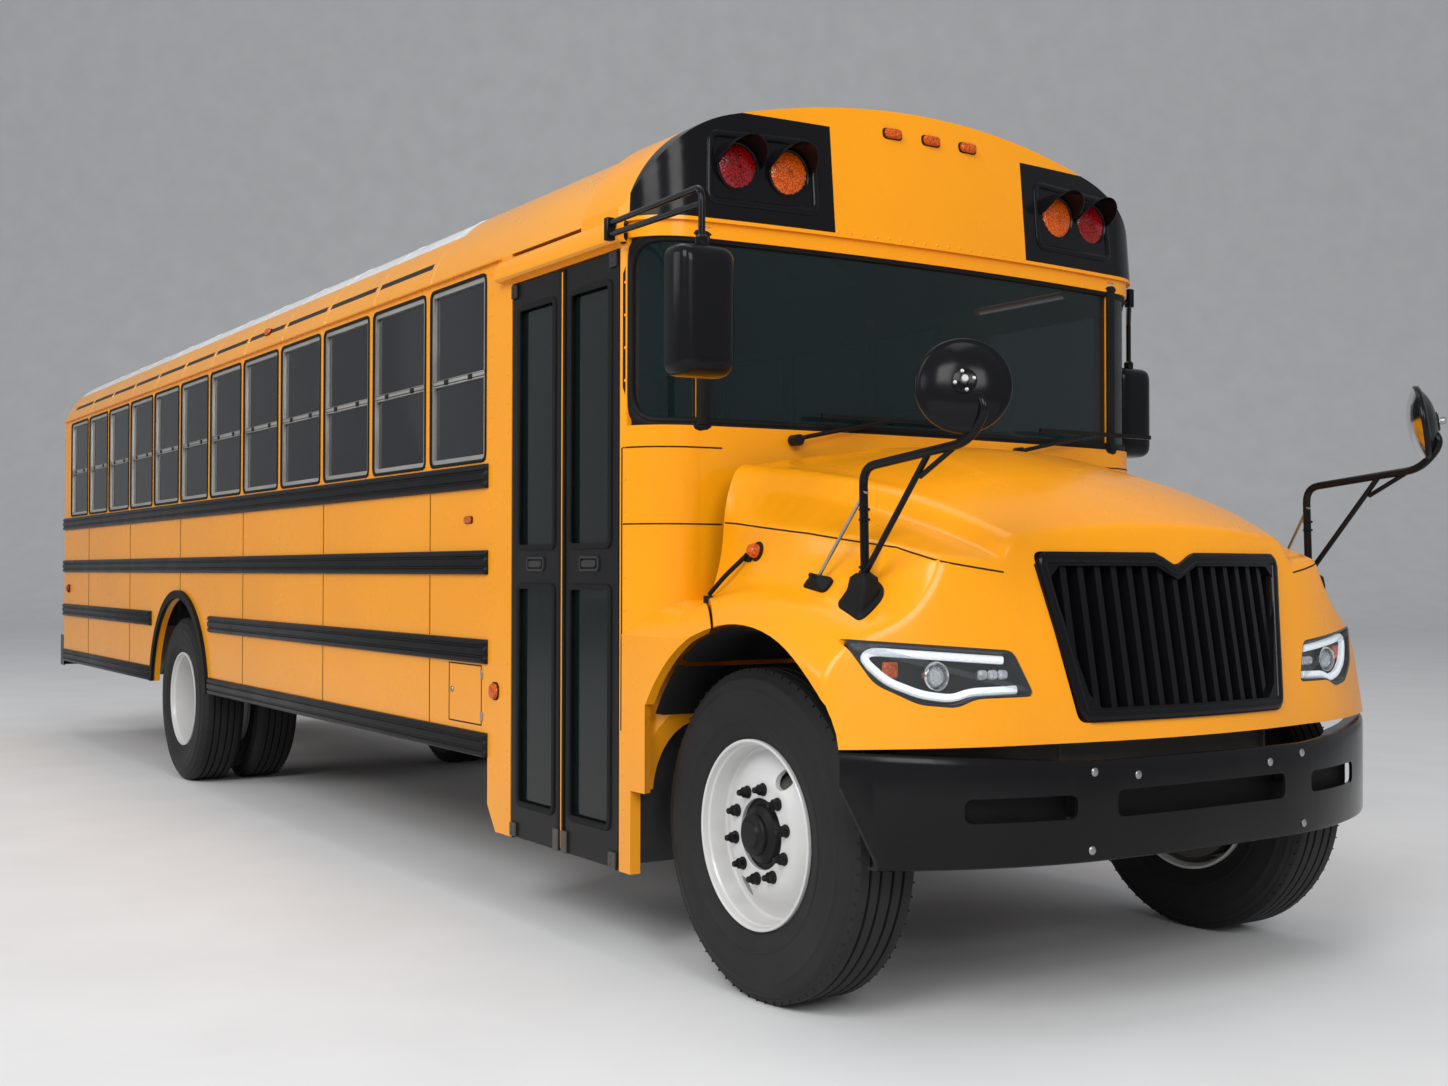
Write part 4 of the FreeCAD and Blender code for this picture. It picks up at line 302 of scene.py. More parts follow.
CHASSIS = moulded("chassis_black", grey(0.03), grey(0.016), rough=(0.5, 0.7), grain=160.0,
                  depth=0.001, dust=DUST, dust_top=1.4, dust_amount=0.35)
CAST = moulded("cast_metal", (0.10, 0.095, 0.09), (0.05, 0.048, 0.045), rough=(0.5, 0.7),
               grain=200.0, depth=0.001, metallic=0.6, dust=DUST, dust_amount=0.35)
STEEL = moulded("bare_steel", grey(0.42), grey(0.30), rough=(0.3, 0.45), metallic=1.0)
ALUMINIUM = moulded("window_aluminium", (0.62, 0.60, 0.56), (0.52, 0.50, 0.46), rough=(0.32, 0.45),
                    grain=300.0, metallic=0.9)
CHROME = moulded("bright_chrome", grey(0.78), grey(0.68), rough=(0.05, 0.12), metallic=1.0)
SIDE_GLASS = glass("dark_glass", (0.006, 0.008, 0.011), 0.88)
FRONT_GLASS = glass("clear_glass", (0.008, 0.018, 0.020), 0.62)
DOOR_GLASS = glass("door_glass", (0.007, 0.012, 0.012), 0.78)
VINYL = moulded("seat_vinyl", (0.035, 0.045, 0.075), (0.022, 0.030, 0.055), rough=(0.4, 0.55),
                grain=380.0, depth=0.001)
CLOTH = moulded("seat_cloth", (0.045, 0.047, 0.052), (0.022, 0.023, 0.026), rough=(0.75, 0.9),
                grain=700.0, depth=0.0012)
DASH = moulded("dash_plastic", (0.045, 0.045, 0.048), (0.03, 0.03, 0.032), rough=(0.5, 0.65))
FLOORING = moulded("floor_cover", grey(0.05), grey(0.03), rough=(0.55, 0.75), grain=120.0)
RED_LENS = lens("red_lens", (0.42, 0.004, 0.007), (0.09, 0.001, 0.001), 0.04)
AMBER_LENS = lens("amber_lens", (0.80, 0.145, 0.003), (0.34, 0.042, 0.001), 0.06)
CLEAR_LENS = glass("clear_lens", (0.25, 0.27, 0.28), 0.14)
SIGN_RED = paint("sign_red", (0.60, 0.012, 0.012), (0.52, 0.009, 0.009))
SIGN_WHITE = paint("sign_white", grey(0.82), grey(0.74))

MATERIALS = (
    (YELLOW, "side_wall_left side_wall_right rear_wall front_cap cowl hood rear_door"),
    (ROOF, "roof roof_hatch"),
    (BLACK, "front_bumper rear_bumper lamp_panels grille side_mirrors crossview_mirrors"),
    (SATIN, "door_leaf_front door_leaf_rear side_trim stop_arm_bracket wipers seat_frames"),
    (RUBBER, "arch_flares"),
    (CHASSIS, "chassis_frame cross_members leaf_springs front_axle rear_axle"),
    (CAST, "engine driveline knuckle_left knuckle_right tie_rod"),
    (STEEL, "fuel_tank exhaust"),
    (TYRE, "tyre_front_left tyre_front_right tyres_rear_left tyres_rear_right"),
    (WHEEL, "rim_front_left rim_front_right rims_rear_left rims_rear_right"),
    (FLOORING, "floor step_well"),
    (ALUMINIUM, "window_frames"),
    (SIDE_GLASS, "window_glass rear_door_glass"),
    (FRONT_GLASS, "windshield"),
    (DOOR_GLASS, "door_glass_front door_glass_rear"),
    (VINYL, "bench_seats driver_seat"),
    (DASH, "dashboard"),
    (CLEAR_LENS, "headlamps"),
    (RED_LENS, "tail_lamps warning_lamps"),
    (SIGN_RED, "stop_arm"),
)
for finish, names in MATERIALS:
    for node_name in names.split():
        mesh = NODES[node_name].data
        mesh.materials.clear()
        mesh.materials.append(finish)


# ---------------------------------------------------------------- shape helpers

def turns(steps, first=0.0, last=math.tau):
    """Angles evenly spaced from first, without last."""
    return [first + (last - first) * i / steps for i in range(steps)]


def skin(bm, rows, across=True, along=False, ends=False):
    """Faces between rows of vertices; across closes each row, along joins the last row to the first."""
    pairs = list(zip(rows, rows[1:])) + ([(rows[-1], rows[0])] if along else [])
    for low, high in pairs:
        count = max(len(low), len(high))
        for i in range(count if across else count - 1):
            j = (i + 1) % count
            ring = (low[i % len(low)], low[j % len(low)], high[j % len(high)], high[i % len(high)])
            corners = list(dict.fromkeys(ring))
            if len(corners) > 2:
                bm.faces.new(corners)
    if ends:
        bm.faces.new(rows[0][::-1])
        bm.faces.new(rows[-1])


def merge(bm, part, matrix=None):
    """Adds one bmesh to another and frees it."""
    mesh = bpy.data.meshes.new("part")
    part.to_mesh(mesh)
    part.free()
    if matrix is not None:
        mesh.transform(matrix)
    bm.from_mesh(mesh)
    bpy.data.meshes.remove(mesh)


def soften(part, edges, offset, segments):
    bmesh.ops.bevel(part, geom=edges, offset=offset, segments=segments, profile=0.5, affect="EDGES")


def lathe(bm, profile, centre, axis, steps=48, ring=False, wave=0.0):
    """Turns (radius, height) points round an axis; radius 0 closes an end; wave ripples the heights."""
    centre, axis = Vector(centre), Vector(axis).normalized()
    u = axis.orthogonal().normalized()
    v = axis.cross(u)
    ways = [u * math.cos(turn) + v * math.sin(turn) for turn in turns(steps)]
    rows = []
    for k, (radius, height) in enumerate(profile):
        if radius < 1e-6:
            rows.append([bm.verts.new(centre + axis * height)])
            continue
        rows.append([bm.verts.new(centre + axis * (height + wave * (1 if (i + k) % 2 else -1)) + way * radius)
                     for i, way in enumerate(ways)])
    skin(bm, rows, along=ring)


def block(bm, low, high, bevel=0.004, matrix=None, segments=2):
    """A box between two corners with rounded edges."""
    low, high = Vector(low), Vector(high)
    part = bmesh.new()
    bmesh.ops.create_cube(part, size=1.0)
    middle, size = (low + high) / 2, high - low
    for vert in part.verts:
        vert.co = Vector([m + c * s for m, c, s in zip(middle, vert.co, size)])
    if bevel:
        soften(part, part.edges[:], bevel, segments)
    merge(bm, part, matrix)


def loft(bm, rings):
    """Closed rings of equal length joined in a row, with both ends closed."""
    skin(bm, [[bm.verts.new(p) for p in ring] for ring in rings], ends=True)


def rounded(points, radius, steps=5, closed=True):
    """The path with each corner replaced by a small curve; points may be flat pairs."""
    points = [Vector((*p, 0) if len(p) == 2 else p) for p in points]
    path = []
    for i, p in enumerate(points):
        if not closed and i in (0, len(points) - 1):
            path.append(p)
            continue
        a, b = points[i - 1] - p, points[(i + 1) % len(points)] - p
        start = p + a.normalized() * min(radius, a.length / 2.01)
        end = p + b.normalized() * min(radius, b.length / 2.01)
        for k in range(steps + 1):
            t = k / steps
            path.append(start * (1 - t) ** 2 + p * 2 * t * (1 - t) + end * t * t)
    return path


def divided(path, run, closed=True):
    """The path with points added so that few are further apart than run."""
    fine = []
    for p, q in zip(path, path[1:] + path[:1] if closed else path[1:]):
        parts = max(1, int((q - p).length / run))
        fine += [p.lerp(q, k / parts) for k in range(parts)]
    return fine if closed else fine + path[-1:]


def mirrored(half):
    """A section of (across, out) points with its other half added; a point at 0 isn't doubled."""
    return list(half) + [(-a, b) for a, b in half[::-1] if a]


def sweep(bm, path, section, normals, closed=False):
    """Carries a section of (across, out) points along a path; normals point out of the surface."""
    count = len(path)
    rows = []
    for i, p in enumerate(path):
        into = (p - path[i - 1]).normalized() if closed or i else None
        out = (path[(i + 1) % count] - p).normalized() if closed or i < count - 1 else None
        tangent = ((into or out) + (out or into)).normalized()
        normal = normals[i] if isinstance(normals, list) else Vector(normals)
        side = tangent.cross(normal).normalized()
        lift = side.cross(tangent).normalized()
        wide = 1 / max(0.6, tangent.dot(into)) if into else 1
        rows.append([bm.verts.new(p + side * a * wide + lift * b) for a, b in section])
    skin(bm, rows, along=closed, ends=not closed)


def lay(bm, spots, section, closed=False, out=0.0):
    """Sweeps a section along (point, normal) pairs, lifted off the surface by out."""
    sweep(bm, [p + n * out for p, n in spots], section, [n for _, n in spots], closed)


def tube(bm, points, radius, bend=0.03, steps=12):
    """A round bar along an open path with rounded bends."""
    path = rounded(points, bend, 6, closed=False)
    path = [p for i, p in enumerate(path) if i == 0 or (p - path[i - 1]).length > 1e-5]
    up = None
    rows = []
    for before, p, after in zip(path[:1] + path, path, path[1:] + path[-1:]):
        tangent = (after - before).normalized()
        up = tangent.orthogonal().normalized() if up is None else (up - tangent * up.dot(tangent)).normalized()
        side = tangent.cross(up)
        rows.append([bm.verts.new(p + (up * math.cos(t) + side * math.sin(t)) * radius) for t in turns(steps)])
    skin(bm, rows, ends=True)


def prism(bm, outline, push, bevel=0.0, segments=2):
    """An outline of points pulled along a vector, its edges rounded."""
    part = bmesh.new()
    loft(part, [outline, [Vector(p) + Vector(push) for p in outline]])
    bmesh.ops.recalc_face_normals(part, faces=part.faces)
    if bevel:
        sharp = [e for e in part.edges if len(e.link_faces) == 2 and e.calc_face_angle() > math.radians(25)]
        soften(part, sharp, bevel, segments)
    merge(bm, part)


def rectangle(width, height, corner, steps=5):
    """(u, v) points round a rectangle with rounded corners, from its middle."""
    u, v = width / 2, height / 2
    return [(p.x, p.y) for p in rounded([(-u, -v), (u, -v), (u, v), (-u, v)], corner, steps)]


def dome(bm, place, normal, radius, height, steps=8):
    """A small round head, such as a rivet's or a bolt's."""
    profile = [(radius, -0.001), (radius, height * 0.35), (radius * 0.75, height * 0.8), (0, height)]
    lathe(bm, profile, place, normal, steps)


def hex_bolt(bm, place, normal, radius, height):
    """A hexagon head on its washer."""
    washer = radius * 1.35
    lathe(bm, [(washer, -0.001), (washer, height * 0.18), (radius * 1.2, height * 0.25), (0, height * 0.25)],
          place, normal, 16)
    lathe(bm, [(radius, height * 0.2), (radius, height * 0.85), (radius * 0.82, height), (0, height)],
          place, normal, 6)


def new_object(name, bm):
    """A bmesh made into an object of the scene."""
    mesh = bpy.data.meshes.new(name)
    bm.to_mesh(mesh)
    bm.free()
    return linked(name, mesh)


def shade(mesh, angle):
    for face in mesh.polygons:
        face.use_smooth = True
    mesh.set_sharp_from_angle(angle=math.radians(angle))


def dress(made, material, body, replaces=(), angle=35):
    """Shading, material and body of a piece; hides the CAD parts it replaces."""
    shade(made.data, angle)
    made.data.materials.clear()
    made.data.materials.append(material)
    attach(made, body)
    if replaces:
        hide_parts(*replaces)
    return made


def piece(name, bm, material, body, replaces=(), angle=35):
    """Collected geometry made into one smooth-shaded piece that rides on a body."""
    bmesh.ops.recalc_face_normals(bm, faces=bm.faces)
    return dress(new_object(name, bm), material, body, replaces, angle)


def modify(made, kind, **values):
    step = made.modifiers.new(kind, kind)
    for key, value in values.items():
        setattr(step, key, value)
    return step


def apply(made):
    """Applies an object's modifiers to its mesh."""
    graph = bpy.context.evaluated_depsgraph_get()
    graph.update()
    mesh = bpy.data.meshes.new_from_object(made.evaluated_get(graph))
    made.modifiers.clear()
    made.data = mesh


def carve(made, cutter, keep="DIFFERENCE"):
    """Cuts a bmesh of closed shapes out of an object, or keeps what they share."""
    bmesh.ops.recalc_face_normals(cutter, faces=cutter.faces)
    tool = new_object("cutter", cutter)
    modify(made, "BOOLEAN", operation=keep, solver="EXACT", object=tool)
    apply(made)
    mesh = tool.data
    bpy.data.objects.remove(tool)
    bpy.data.meshes.remove(mesh)


def solids(name):
    """Lowest and highest corners of each separate solid in a CAD node."""
    bm = bmesh.new()
    bm.from_mesh(NODES[name].data)
    bmesh.ops.remove_doubles(bm, verts=bm.verts, dist=1e-5)
    left = set(bm.verts)
    found = []
    while left:
        batch, reach = [left.pop()], []
        while batch:
            vert = batch.pop()
            reach.append(vert.co.copy())
            for edge in vert.link_edges:
                other = edge.other_vert(vert)
                if other in left:
                    left.discard(other)
                    batch.append(other)
        found.append(tuple(Vector([pick(p[i] for p in reach) for i in range(3)]) for pick in (min, max)))
    bm.free()
    return sorted(found, key=lambda pair: [round(pair[0][i], 3) for i in (1, 0, 2)])


def side_of(corner):
    return 1 if corner.y > 0 else -1


def cast(names, start, direction, needed=True):
    """Where a ray first meets one of the surfaces named: the point and its outward normal."""
    start, direction = Vector(start), Vector(direction).normalized()
    best = None
    for name in names.split():
        hit, place, normal, _ = SURFACES[name].ray_cast(start, direction)
        if hit and (best is None or (place - start).length < (best[0] - start).length):
            best = (place, normal if normal.dot(direction) < 0 else -normal)
    if best is None and needed:
        raise ValueError(f"no {names} from {tuple(start)}")
    return best


def ahead(names, y, z, needed=True):
    """The point of a surface met from straight ahead."""
    return cast(names, (FRONT_X + 3, y, z), (-1, 0, 0), needed)


def aside(names, x, z, side, needed=True):
    """The point of a surface met from one side."""
    return cast(names, (x, side * 3, z), (0, -side, 0), needed)


# ---------------------------------------------------------------- hood

HOOD_REAR, HOOD_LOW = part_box("hood")[0].x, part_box("hood")[0].z
# Sections back to front. x ahead of the front axle, crown height, then (y, z) of bonnet edge, seam,
# fender shoulder and fender side
HOOD_ROWS = (
    (-0.360, 1.804, (0.940, 1.714), (0.990, 1.512), (1.055, 1.250), (1.219, 1.130)),
    (0.100, 1.746, (0.790, 1.642), (1.010, 1.480), (1.090, 1.300), (1.219, 1.150)),
    (0.450, 1.622, (0.690, 1.538), (0.930, 1.430), (1.060, 1.235), (1.219, 1.060)),
    (0.860, 1.400, (0.570, 1.335), (0.680, 1.290), (0.860, 1.120), (1.150, 0.900)),
)
# The nose in plan: up to each y, three (x, y) points of its curve
NOSE_ARCS = ((0.6, ((0.740, -0.6), (0.802, 0.0), (0.740, 0.6))),
             (1.3, ((0.740, 0.6), (0.662, 0.93), (0.510, 1.24))))
NOSE_SLOPE, NOSE_FOOT, NOSE_HALF = 0.171, 0.900, 1.24
HOOD_VOXEL, HOOD_THICK = 0.0128, 0.016
ARCH_X, ARCH_Z, ARCH_CUT = FRONT_X + 0.035, 0.560, 0.625
JOINT_Y, JOINT_SLANT = 1.056, 0.545
LAMP_CORNERS = ((1.158, 1.156), (0.662, 1.117), (0.604, 0.982), (0.800, 0.980), (0.860, 0.955),
                (0.970, 0.966), (1.085, 1.026))
LAMP = [(p.x, p.y) for p in rounded(LAMP_CORNERS, 0.026, 4)]
GRILLE_LOW, GRILLE_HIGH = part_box("grille")
GRILLE_HALF, GRILLE_DIP = (0.463, 0.554), 0.043


def through(stations, values, x):
    """The smooth curve through the values at the stations, read at x."""
    total = 0.0
    for i, (at, value) in enumerate(zip(stations, values)):
        share = 1.0
        for j, other in enumerate(stations):
            if i != j:
                share *= (x - other) / (at - other)
        total += value * share
    return total


def clamped(value):
    """The value, kept from 0 to 1."""
    return max(0.0, min(1.0, value))


def arc_points(a, via, b, steps):
    """Points on a soft curve from a through via to b, without b."""
    control = [(via[k] - 0.25 * a[k] - 0.25 * b[k]) * 2 for k in (0, 1)]
    return [tuple(a[k] * (1 - t) ** 2 + control[k] * 2 * t * (1 - t) + b[k] * t * t for k in (0, 1))
            for t in turns(steps, last=1.0)]


def hood_ring(x):
    """The hood's whole section at x: a closed ring of points."""
    stations, crowns, *lines = zip(*HOOD_ROWS)
    crown = through(stations, crowns, x)
    edge, seam, shoulder, side = [[through(stations, [p[axis] for p in line], x) for axis in (0, 1)]
                                  for line in lines]
    side = (min(side[0], HALF), side[1])
    edge_in, edge_mid, edge_out = ((edge[0] - 0.06, edge[1] + 0.008), (edge[0] - 0.006, edge[1] - 0.014),
                                   (edge[0] + 0.022, edge[1] - 0.07))
    fold = ((seam[0] + shoulder[0]) / 2 - 0.014, (seam[1] + shoulder[1]) / 2 - 0.014)
    bulge = ((shoulder[0] + side[0]) / 2 + 0.014, (shoulder[1] + side[1]) / 2 + 0.014)
    half = [(side[0], HOOD_LOW - 0.10)]
    half += arc_points(side, bulge, shoulder, 8) + arc_points(shoulder, fold, seam, 8)
    half += [seam] + arc_points(edge_out, edge_mid, edge_in, 5)
    raised = 0.013 * clamped((0.25 - x) / 0.4)
    for i in range(13):
        t = i / 12
        y = edge_in[0] * (1 - t)
        z = edge_in[1] + (crown - edge_in[1]) * (1 - (1 - t) ** 2)
        half.append((y, z - raised * clamped((y - 0.36) / 0.08)))
    ring = half + [(-y, z) for y, z in half[::-1][1:]]
    return [Vector((FRONT_X + x, y, z)) for y, z in ring]


def nose_x(y, z):
    """The nose's face in plan, leaning back with height."""
    y = abs(y)
    for limit, points in NOSE_ARCS:
        if y <= limit:
            break
    values, stations = zip(*points)
    return FRONT_X + through(stations, values, y) - (z - NOSE_FOOT) * NOSE_SLOPE


def nose_spot(y, z, out=0.0):
    """A point on the nose's face, lifted off it by out, and the outward normal."""
    step = 0.01
    along = Vector((nose_x(y + step, z) - nose_x(y - step, z), 2 * step, 0))
    up = Vector((nose_x(y, z + step) - nose_x(y, z - step), 0, 2 * step))
    normal = along.cross(up).normalized()
    if normal.x <= 0:
        normal = -normal
    return Vector((nose_x(y, z), y, z)) + normal * out, normal


def grille_outline(inset):
    """(y, z) round the grille, with its notch in the upper edge."""
    low, high = GRILLE_LOW.z + inset, GRILLE_HIGH.z - inset
    half_low, half_high = (half - inset for half in GRILLE_HALF)
    return [(-half_low, low), (half_low, low), (half_high, high), (0.082, high), (0, high - GRILLE_DIP),
            (-0.082, high), (-half_high, high)]


def joint_line(x):
    """Where the hood's rear lower corner ends against the cowl's flare, in plan."""
    return JOINT_Y + JOINT_SLANT * (x + 0.360)


def build_hood():
    """One smooth moulding, rounded by a fine remesh, then cut for arches, lamps and grille."""
    bm = bmesh.new()
    loft(bm, [hood_ring(-0.46 + 1.40 * i / 20) for i in range(21)])
    bmesh.ops.recalc_face_normals(bm, faces=bm.faces)
    made = new_object("hood_skin", bm)
    nose = bmesh.new()
    rows = []
    for z in (HOOD_LOW - 0.12, 2.0):
        row = [Vector((nose_x(y, z), y, z)) for y in [-NOSE_HALF + 2.48 * k / 60 for k in range(61)]]
        rows.append(row + [Vector((FRONT_X - 0.9, y, z)) for y in (NOSE_HALF, -NOSE_HALF)])
    loft(nose, rows)
    carve(made, nose, "INTERSECT")
    modify(made, "REMESH", mode="VOXEL", voxel_size=HOOD_VOXEL)
    modify(made, "SMOOTH", factor=0.5, iterations=12)
    apply(made)
    bm = bmesh.new()
    bm.from_mesh(made.data)
    for place, way in (((HOOD_REAR + 0.0005, 0, 0), (-1, 0, 0)), ((0, 0, HOOD_LOW + 0.0005), (0, 0, -1))):
        bmesh.ops.bisect_plane(bm, geom=bm.verts[:] + bm.edges[:] + bm.faces[:], plane_co=place,
                               plane_no=way, clear_outer=True)
    bm.to_mesh(made.data)
    bm.free()
    modify(made, "SOLIDIFY", thickness=HOOD_THICK, offset=-1)
    apply(made)
    # Wheel arches, tucked in behind the bumper's ends
    cutter = bmesh.new()
    arch = [(ARCH_X - ARCH_CUT, HOOD_LOW - 0.3)]
    for k in range(37):
        t = math.pi * (1 - k / 40)
        tuck = 0.053 * max(0.0, (0.65 - math.sin(t)) / 0.234) if k > 20 else 0.0
        arch.append((ARCH_X + ARCH_CUT * math.cos(t) - tuck, ARCH_Z + ARCH_CUT * math.sin(t)))
    arch.append((arch[-1][0], HOOD_LOW - 0.3))
    for y in (-1.40, 0.55):
        prism(cutter, [(x, y, z) for x, z in arch], (0, 0.85, 0))
    carve(made, cutter)
    # Grille and lamp pockets
    cutter = bmesh.new()
    grille = rounded(grille_outline(-0.0005), 0.028, 5)
    prism(cutter, [(FRONT_X + 0.30, p.x, p.y) for p in grille], (0.80, 0, 0))
    for side in (-1, 1):
        prism(cutter, [(nose_x(y, z) - 0.035, side * y, z) for y, z in LAMP], (0.30, 0, 0))
    carve(made, cutter)
    # Rear lower corners
    cutter = bmesh.new()
    for side in (-1, 1):
        plan = [(x, joint_line(x)) for x in (-0.42, 0.05)] + [(0.05, 1.32), (-0.42, 1.32)]
        prism(cutter, [(FRONT_X + x, side * y, HOOD_LOW - 0.05) for x, y in plan], (0, 0, 0.60))
    carve(made, cutter)
    return dress(made, YELLOW, "hood", ["hood"])


SURFACES["hood"] = build_hood()

# ---------------------------------------------------------------- wheels

TYRE_R = AXLE_Z
TYRE_LOW, TYRE_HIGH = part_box("tyre_front_left")
TYRE_HALF = (TYRE_HIGH.y - TYRE_LOW.y) / 2
FRONT_Y = (TYRE_HIGH.y + TYRE_LOW.y) / 2
DUAL_Y = sorted((low.y + high.y) / 2 for low, high in solids("tyres_rear_left"))
STUDS, STUD_CIRCLE = 10, 0.1425
HOLE_R, HOLE_CIRCLE, HOLE_TURNS = 0.033, 0.208, (math.radians(60), math.radians(240))
ROUND = 96
# Cuts at the tread's edges: place across the tyre, half their length, half their width, lowest and
# highest radius
CUT_Y, CUT_HALF, CUT_WIDE, CUT_LOW, CUT_HIGH = 0.1045, 0.004, 0.0016, 0.505, 0.5205

# Tyre section from bead to shoulder: radius, half-width share
SIDEWALL = ((0.288, 0.80), (0.299, 0.806), (0.304, 0.838), (0.3075, 0.850), (0.311, 0.842), (0.330, 0.905),
            (0.356, 0.955), (0.3585, 0.970), (0.364, 0.972), (0.3665, 0.962), (0.385, 0.988), (0.402, 1.0),
            (0.430, 1.0), (0.446, 0.988), (0.4485, 0.994), (0.455, 0.988), (0.458, 0.968), (0.474, 0.935),
            (0.486, 0.905), (0.488, 0.912), (0.493, 0.892), (0.495, 0.868), (0.503, 0.815), (0.505, 0.822),
            (0.510, 0.790), (0.512, 0.768), (0.5185, 0.735), (0.5213, 0.713))
# Outer and inner edge of each groove in half the tread, from the middle of the tyre, and its depth
GROOVES = ((0.067, 0.056), (0.028, 0.017))
GROOVE_DEEP = 0.0135


def tyre_profile():
    half_tread = [(TYRE_R, 0.0975)]
    for outer, inner in GROOVES:
        half_tread += [(TYRE_R, outer), (TYRE_R - GROOVE_DEEP, outer - 0.002),
                       (TYRE_R - GROOVE_DEEP, inner + 0.002), (TYRE_R, inner)]
    side = [(r, share * TYRE_HALF) for r, share in SIDEWALL] + half_tread
    return side + [(r, -y) for r, y in side[::-1]]


def tyre(bm, x, y):
    """One ribbed tyre with short cuts at the tread's edges."""
    lathe(bm, tyre_profile(), (x, y, AXLE_Z), (0, 1, 0), ROUND, ring=True)
    for turn in turns(72):
        at = Matrix.Translation((x, y, AXLE_Z)) @ Matrix.Rotation(turn, 4, "Y")
        for middle in (-CUT_Y, CUT_Y):
            block(bm, (-CUT_WIDE, middle - CUT_HALF, CUT_LOW), (CUT_WIDE, middle + CUT_HALF, CUT_HIGH), 0, at)


for side_name, side in SIDES:
    for end, node, x, middles in (("front", "tyre", FRONT_X, [FRONT_Y]), ("rear", "tyres", REAR_X, DUAL_Y)):
        bm = bmesh.new()
        for y in middles:
            tyre(bm, x, side * y)
        piece(f"tyre_tread_{end}_{side_name}", bm, TYRE, f"wheel_{end}_{side_name}",
              [f"{node}_{end}_{side_name}"], 30)

# Front wheel section, outward from the tyre's middle: radius, y
FRONT_DISC = ((0.2990, 0.1120), (0.2992, 0.1235), (0.2968, 0.1258), (0.2925, 0.1258), (0.2888, 0.1235),
              (0.2868, 0.1170), (0.2845, 0.1080), (0.2790, 0.1020), (0.2762, 0.0900), (0.2745, 0.0620),
              (0.2715, 0.0480), (0.2640, 0.0415), (0.2520, 0.0440), (0.2360, 0.0535), (0.2160, 0.0680),
              (0.1960, 0.0810), (0.1800, 0.0890), (0.1680, 0.0925), (0.1600, 0.0932), (0.1160, 0.0932),
              (0.1125, 0.0912), (0.1125, 0.0790), (0.1600, 0.0780), (0.1760, 0.0735), (0.2000, 0.0600),
              (0.2300, 0.0370), (0.2480, 0.0260), (0.2660, 0.0220), (0.2770, -0.0500), (0.2790, -0.1080),
              (0.2850, -0.1180), (0.2900, -0.1250), (0.2990, -0.1256), (0.2990, -0.1120), (0.2868, -0.1120),
              (0.2868, 0.1120))
# Rear outer wheel, outward from between the twin tyres
REAR_DISC = ((0.2990, 0.2830), (0.2992, 0.2945), (0.2968, 0.2968), (0.2925, 0.2968), (0.2888, 0.2945),
             (0.2868, 0.2880), (0.2840, 0.2790), (0.2770, 0.2700), (0.2720, 0.2400), (0.2690, 0.1200),
             (0.2660, 0.0560), (0.2560, 0.0440), (0.2380, 0.0360), (0.2180, 0.0250), (0.1900, 0.0185),
             (0.1160, 0.0185), (0.1130, 0.0170), (0.1130, -0.0100), (0.2150, -0.0180), (0.2560, -0.0400),
             (0.2690, -0.1200), (0.2770, -0.2700), (0.2860, -0.2860), (0.2990, -0.2968), (0.2990, -0.2830),
             (0.2868, -0.2830), (0.2868, -0.0600), (0.2990, -0.0590), (0.2990, -0.0460), (0.2790, -0.0440),
             (0.2760, 0.0440), (0.2990, 0.0460), (0.2990, 0.0590), (0.2868, 0.0600), (0.2868, 0.2830))


# Hub and brake drum sections: radius, y outward
FRONT_HUB = ((0.112, 0.060), (0.112, 0.078), (0.094, 0.082), (0.088, 0.096), (0.074, 0.104), (0.066, 0.110),
             (0.066, 0.122), (0.062, 0.126), (0.052, 0.127), (0.046, 0.132), (0.040, 0.1385), (0, 0.1395))
FRONT_DRUM = ((0.10, 0.0732), (0.170, 0.0712), (0.225, -0.004), (0.256, -0.020), (0.256, -0.115),
              (0.10, -0.118))
REAR_HUB = ((0.113, 0.010), (0.113, 0.020), (0.102, 0.030), (0.100, 0.100), (0.094, 0.120), (0.092, 0.148),
            (0.086, 0.152), (0.070, 0.154), (0.064, 0.160), (0.060, 0.168), (0, 0.169))
REAR_DRUM = ((0.10, -0.022), (0.200, -0.030), (0.242, -0.055), (0.246, -0.240), (0.10, -0.245))
# End, CAD node, place of the axle's end, disc, its hand holes' y, hub, the nuts' seat and the drum
WHEELS = (("front", "rim", FRONT_X, FRONT_Y, FRONT_DISC, 0.06, FRONT_HUB, 0.0932, FRONT_DRUM),
          ("rear", "rims", REAR_X, sum(DUAL_Y) / 2, REAR_DISC, 0.03, REAR_HUB, 0.0185, REAR_DRUM))


def spoke(x, y, turn, radius):
    """A point round an axle, in the wheel's plane."""
    return Vector((x + math.cos(turn) * radius, y, AXLE_Z + math.sin(turn) * radius))


def wheel_disc(name, disc, x, y, side, hole_y, body, replaced):
    """White steel wheel with two hand holes cut through its disc."""
    bm = bmesh.new()
    lathe(bm, disc, (x, y, AXLE_Z), (0, side, 0), ROUND, ring=True)
    made = piece(name, bm, WHEEL, body, [replaced], 28)
    cutter = bmesh.new()
    for turn in HOLE_TURNS:
        lathe(cutter, [(0, -0.07), (HOLE_R, -0.07), (HOLE_R, 0.07), (0, 0.07)],
              spoke(x, y + side * hole_y, turn, HOLE_CIRCLE), (0, 1, 0), 24)
    carve(made, cutter)
    shade(made.data, 28)


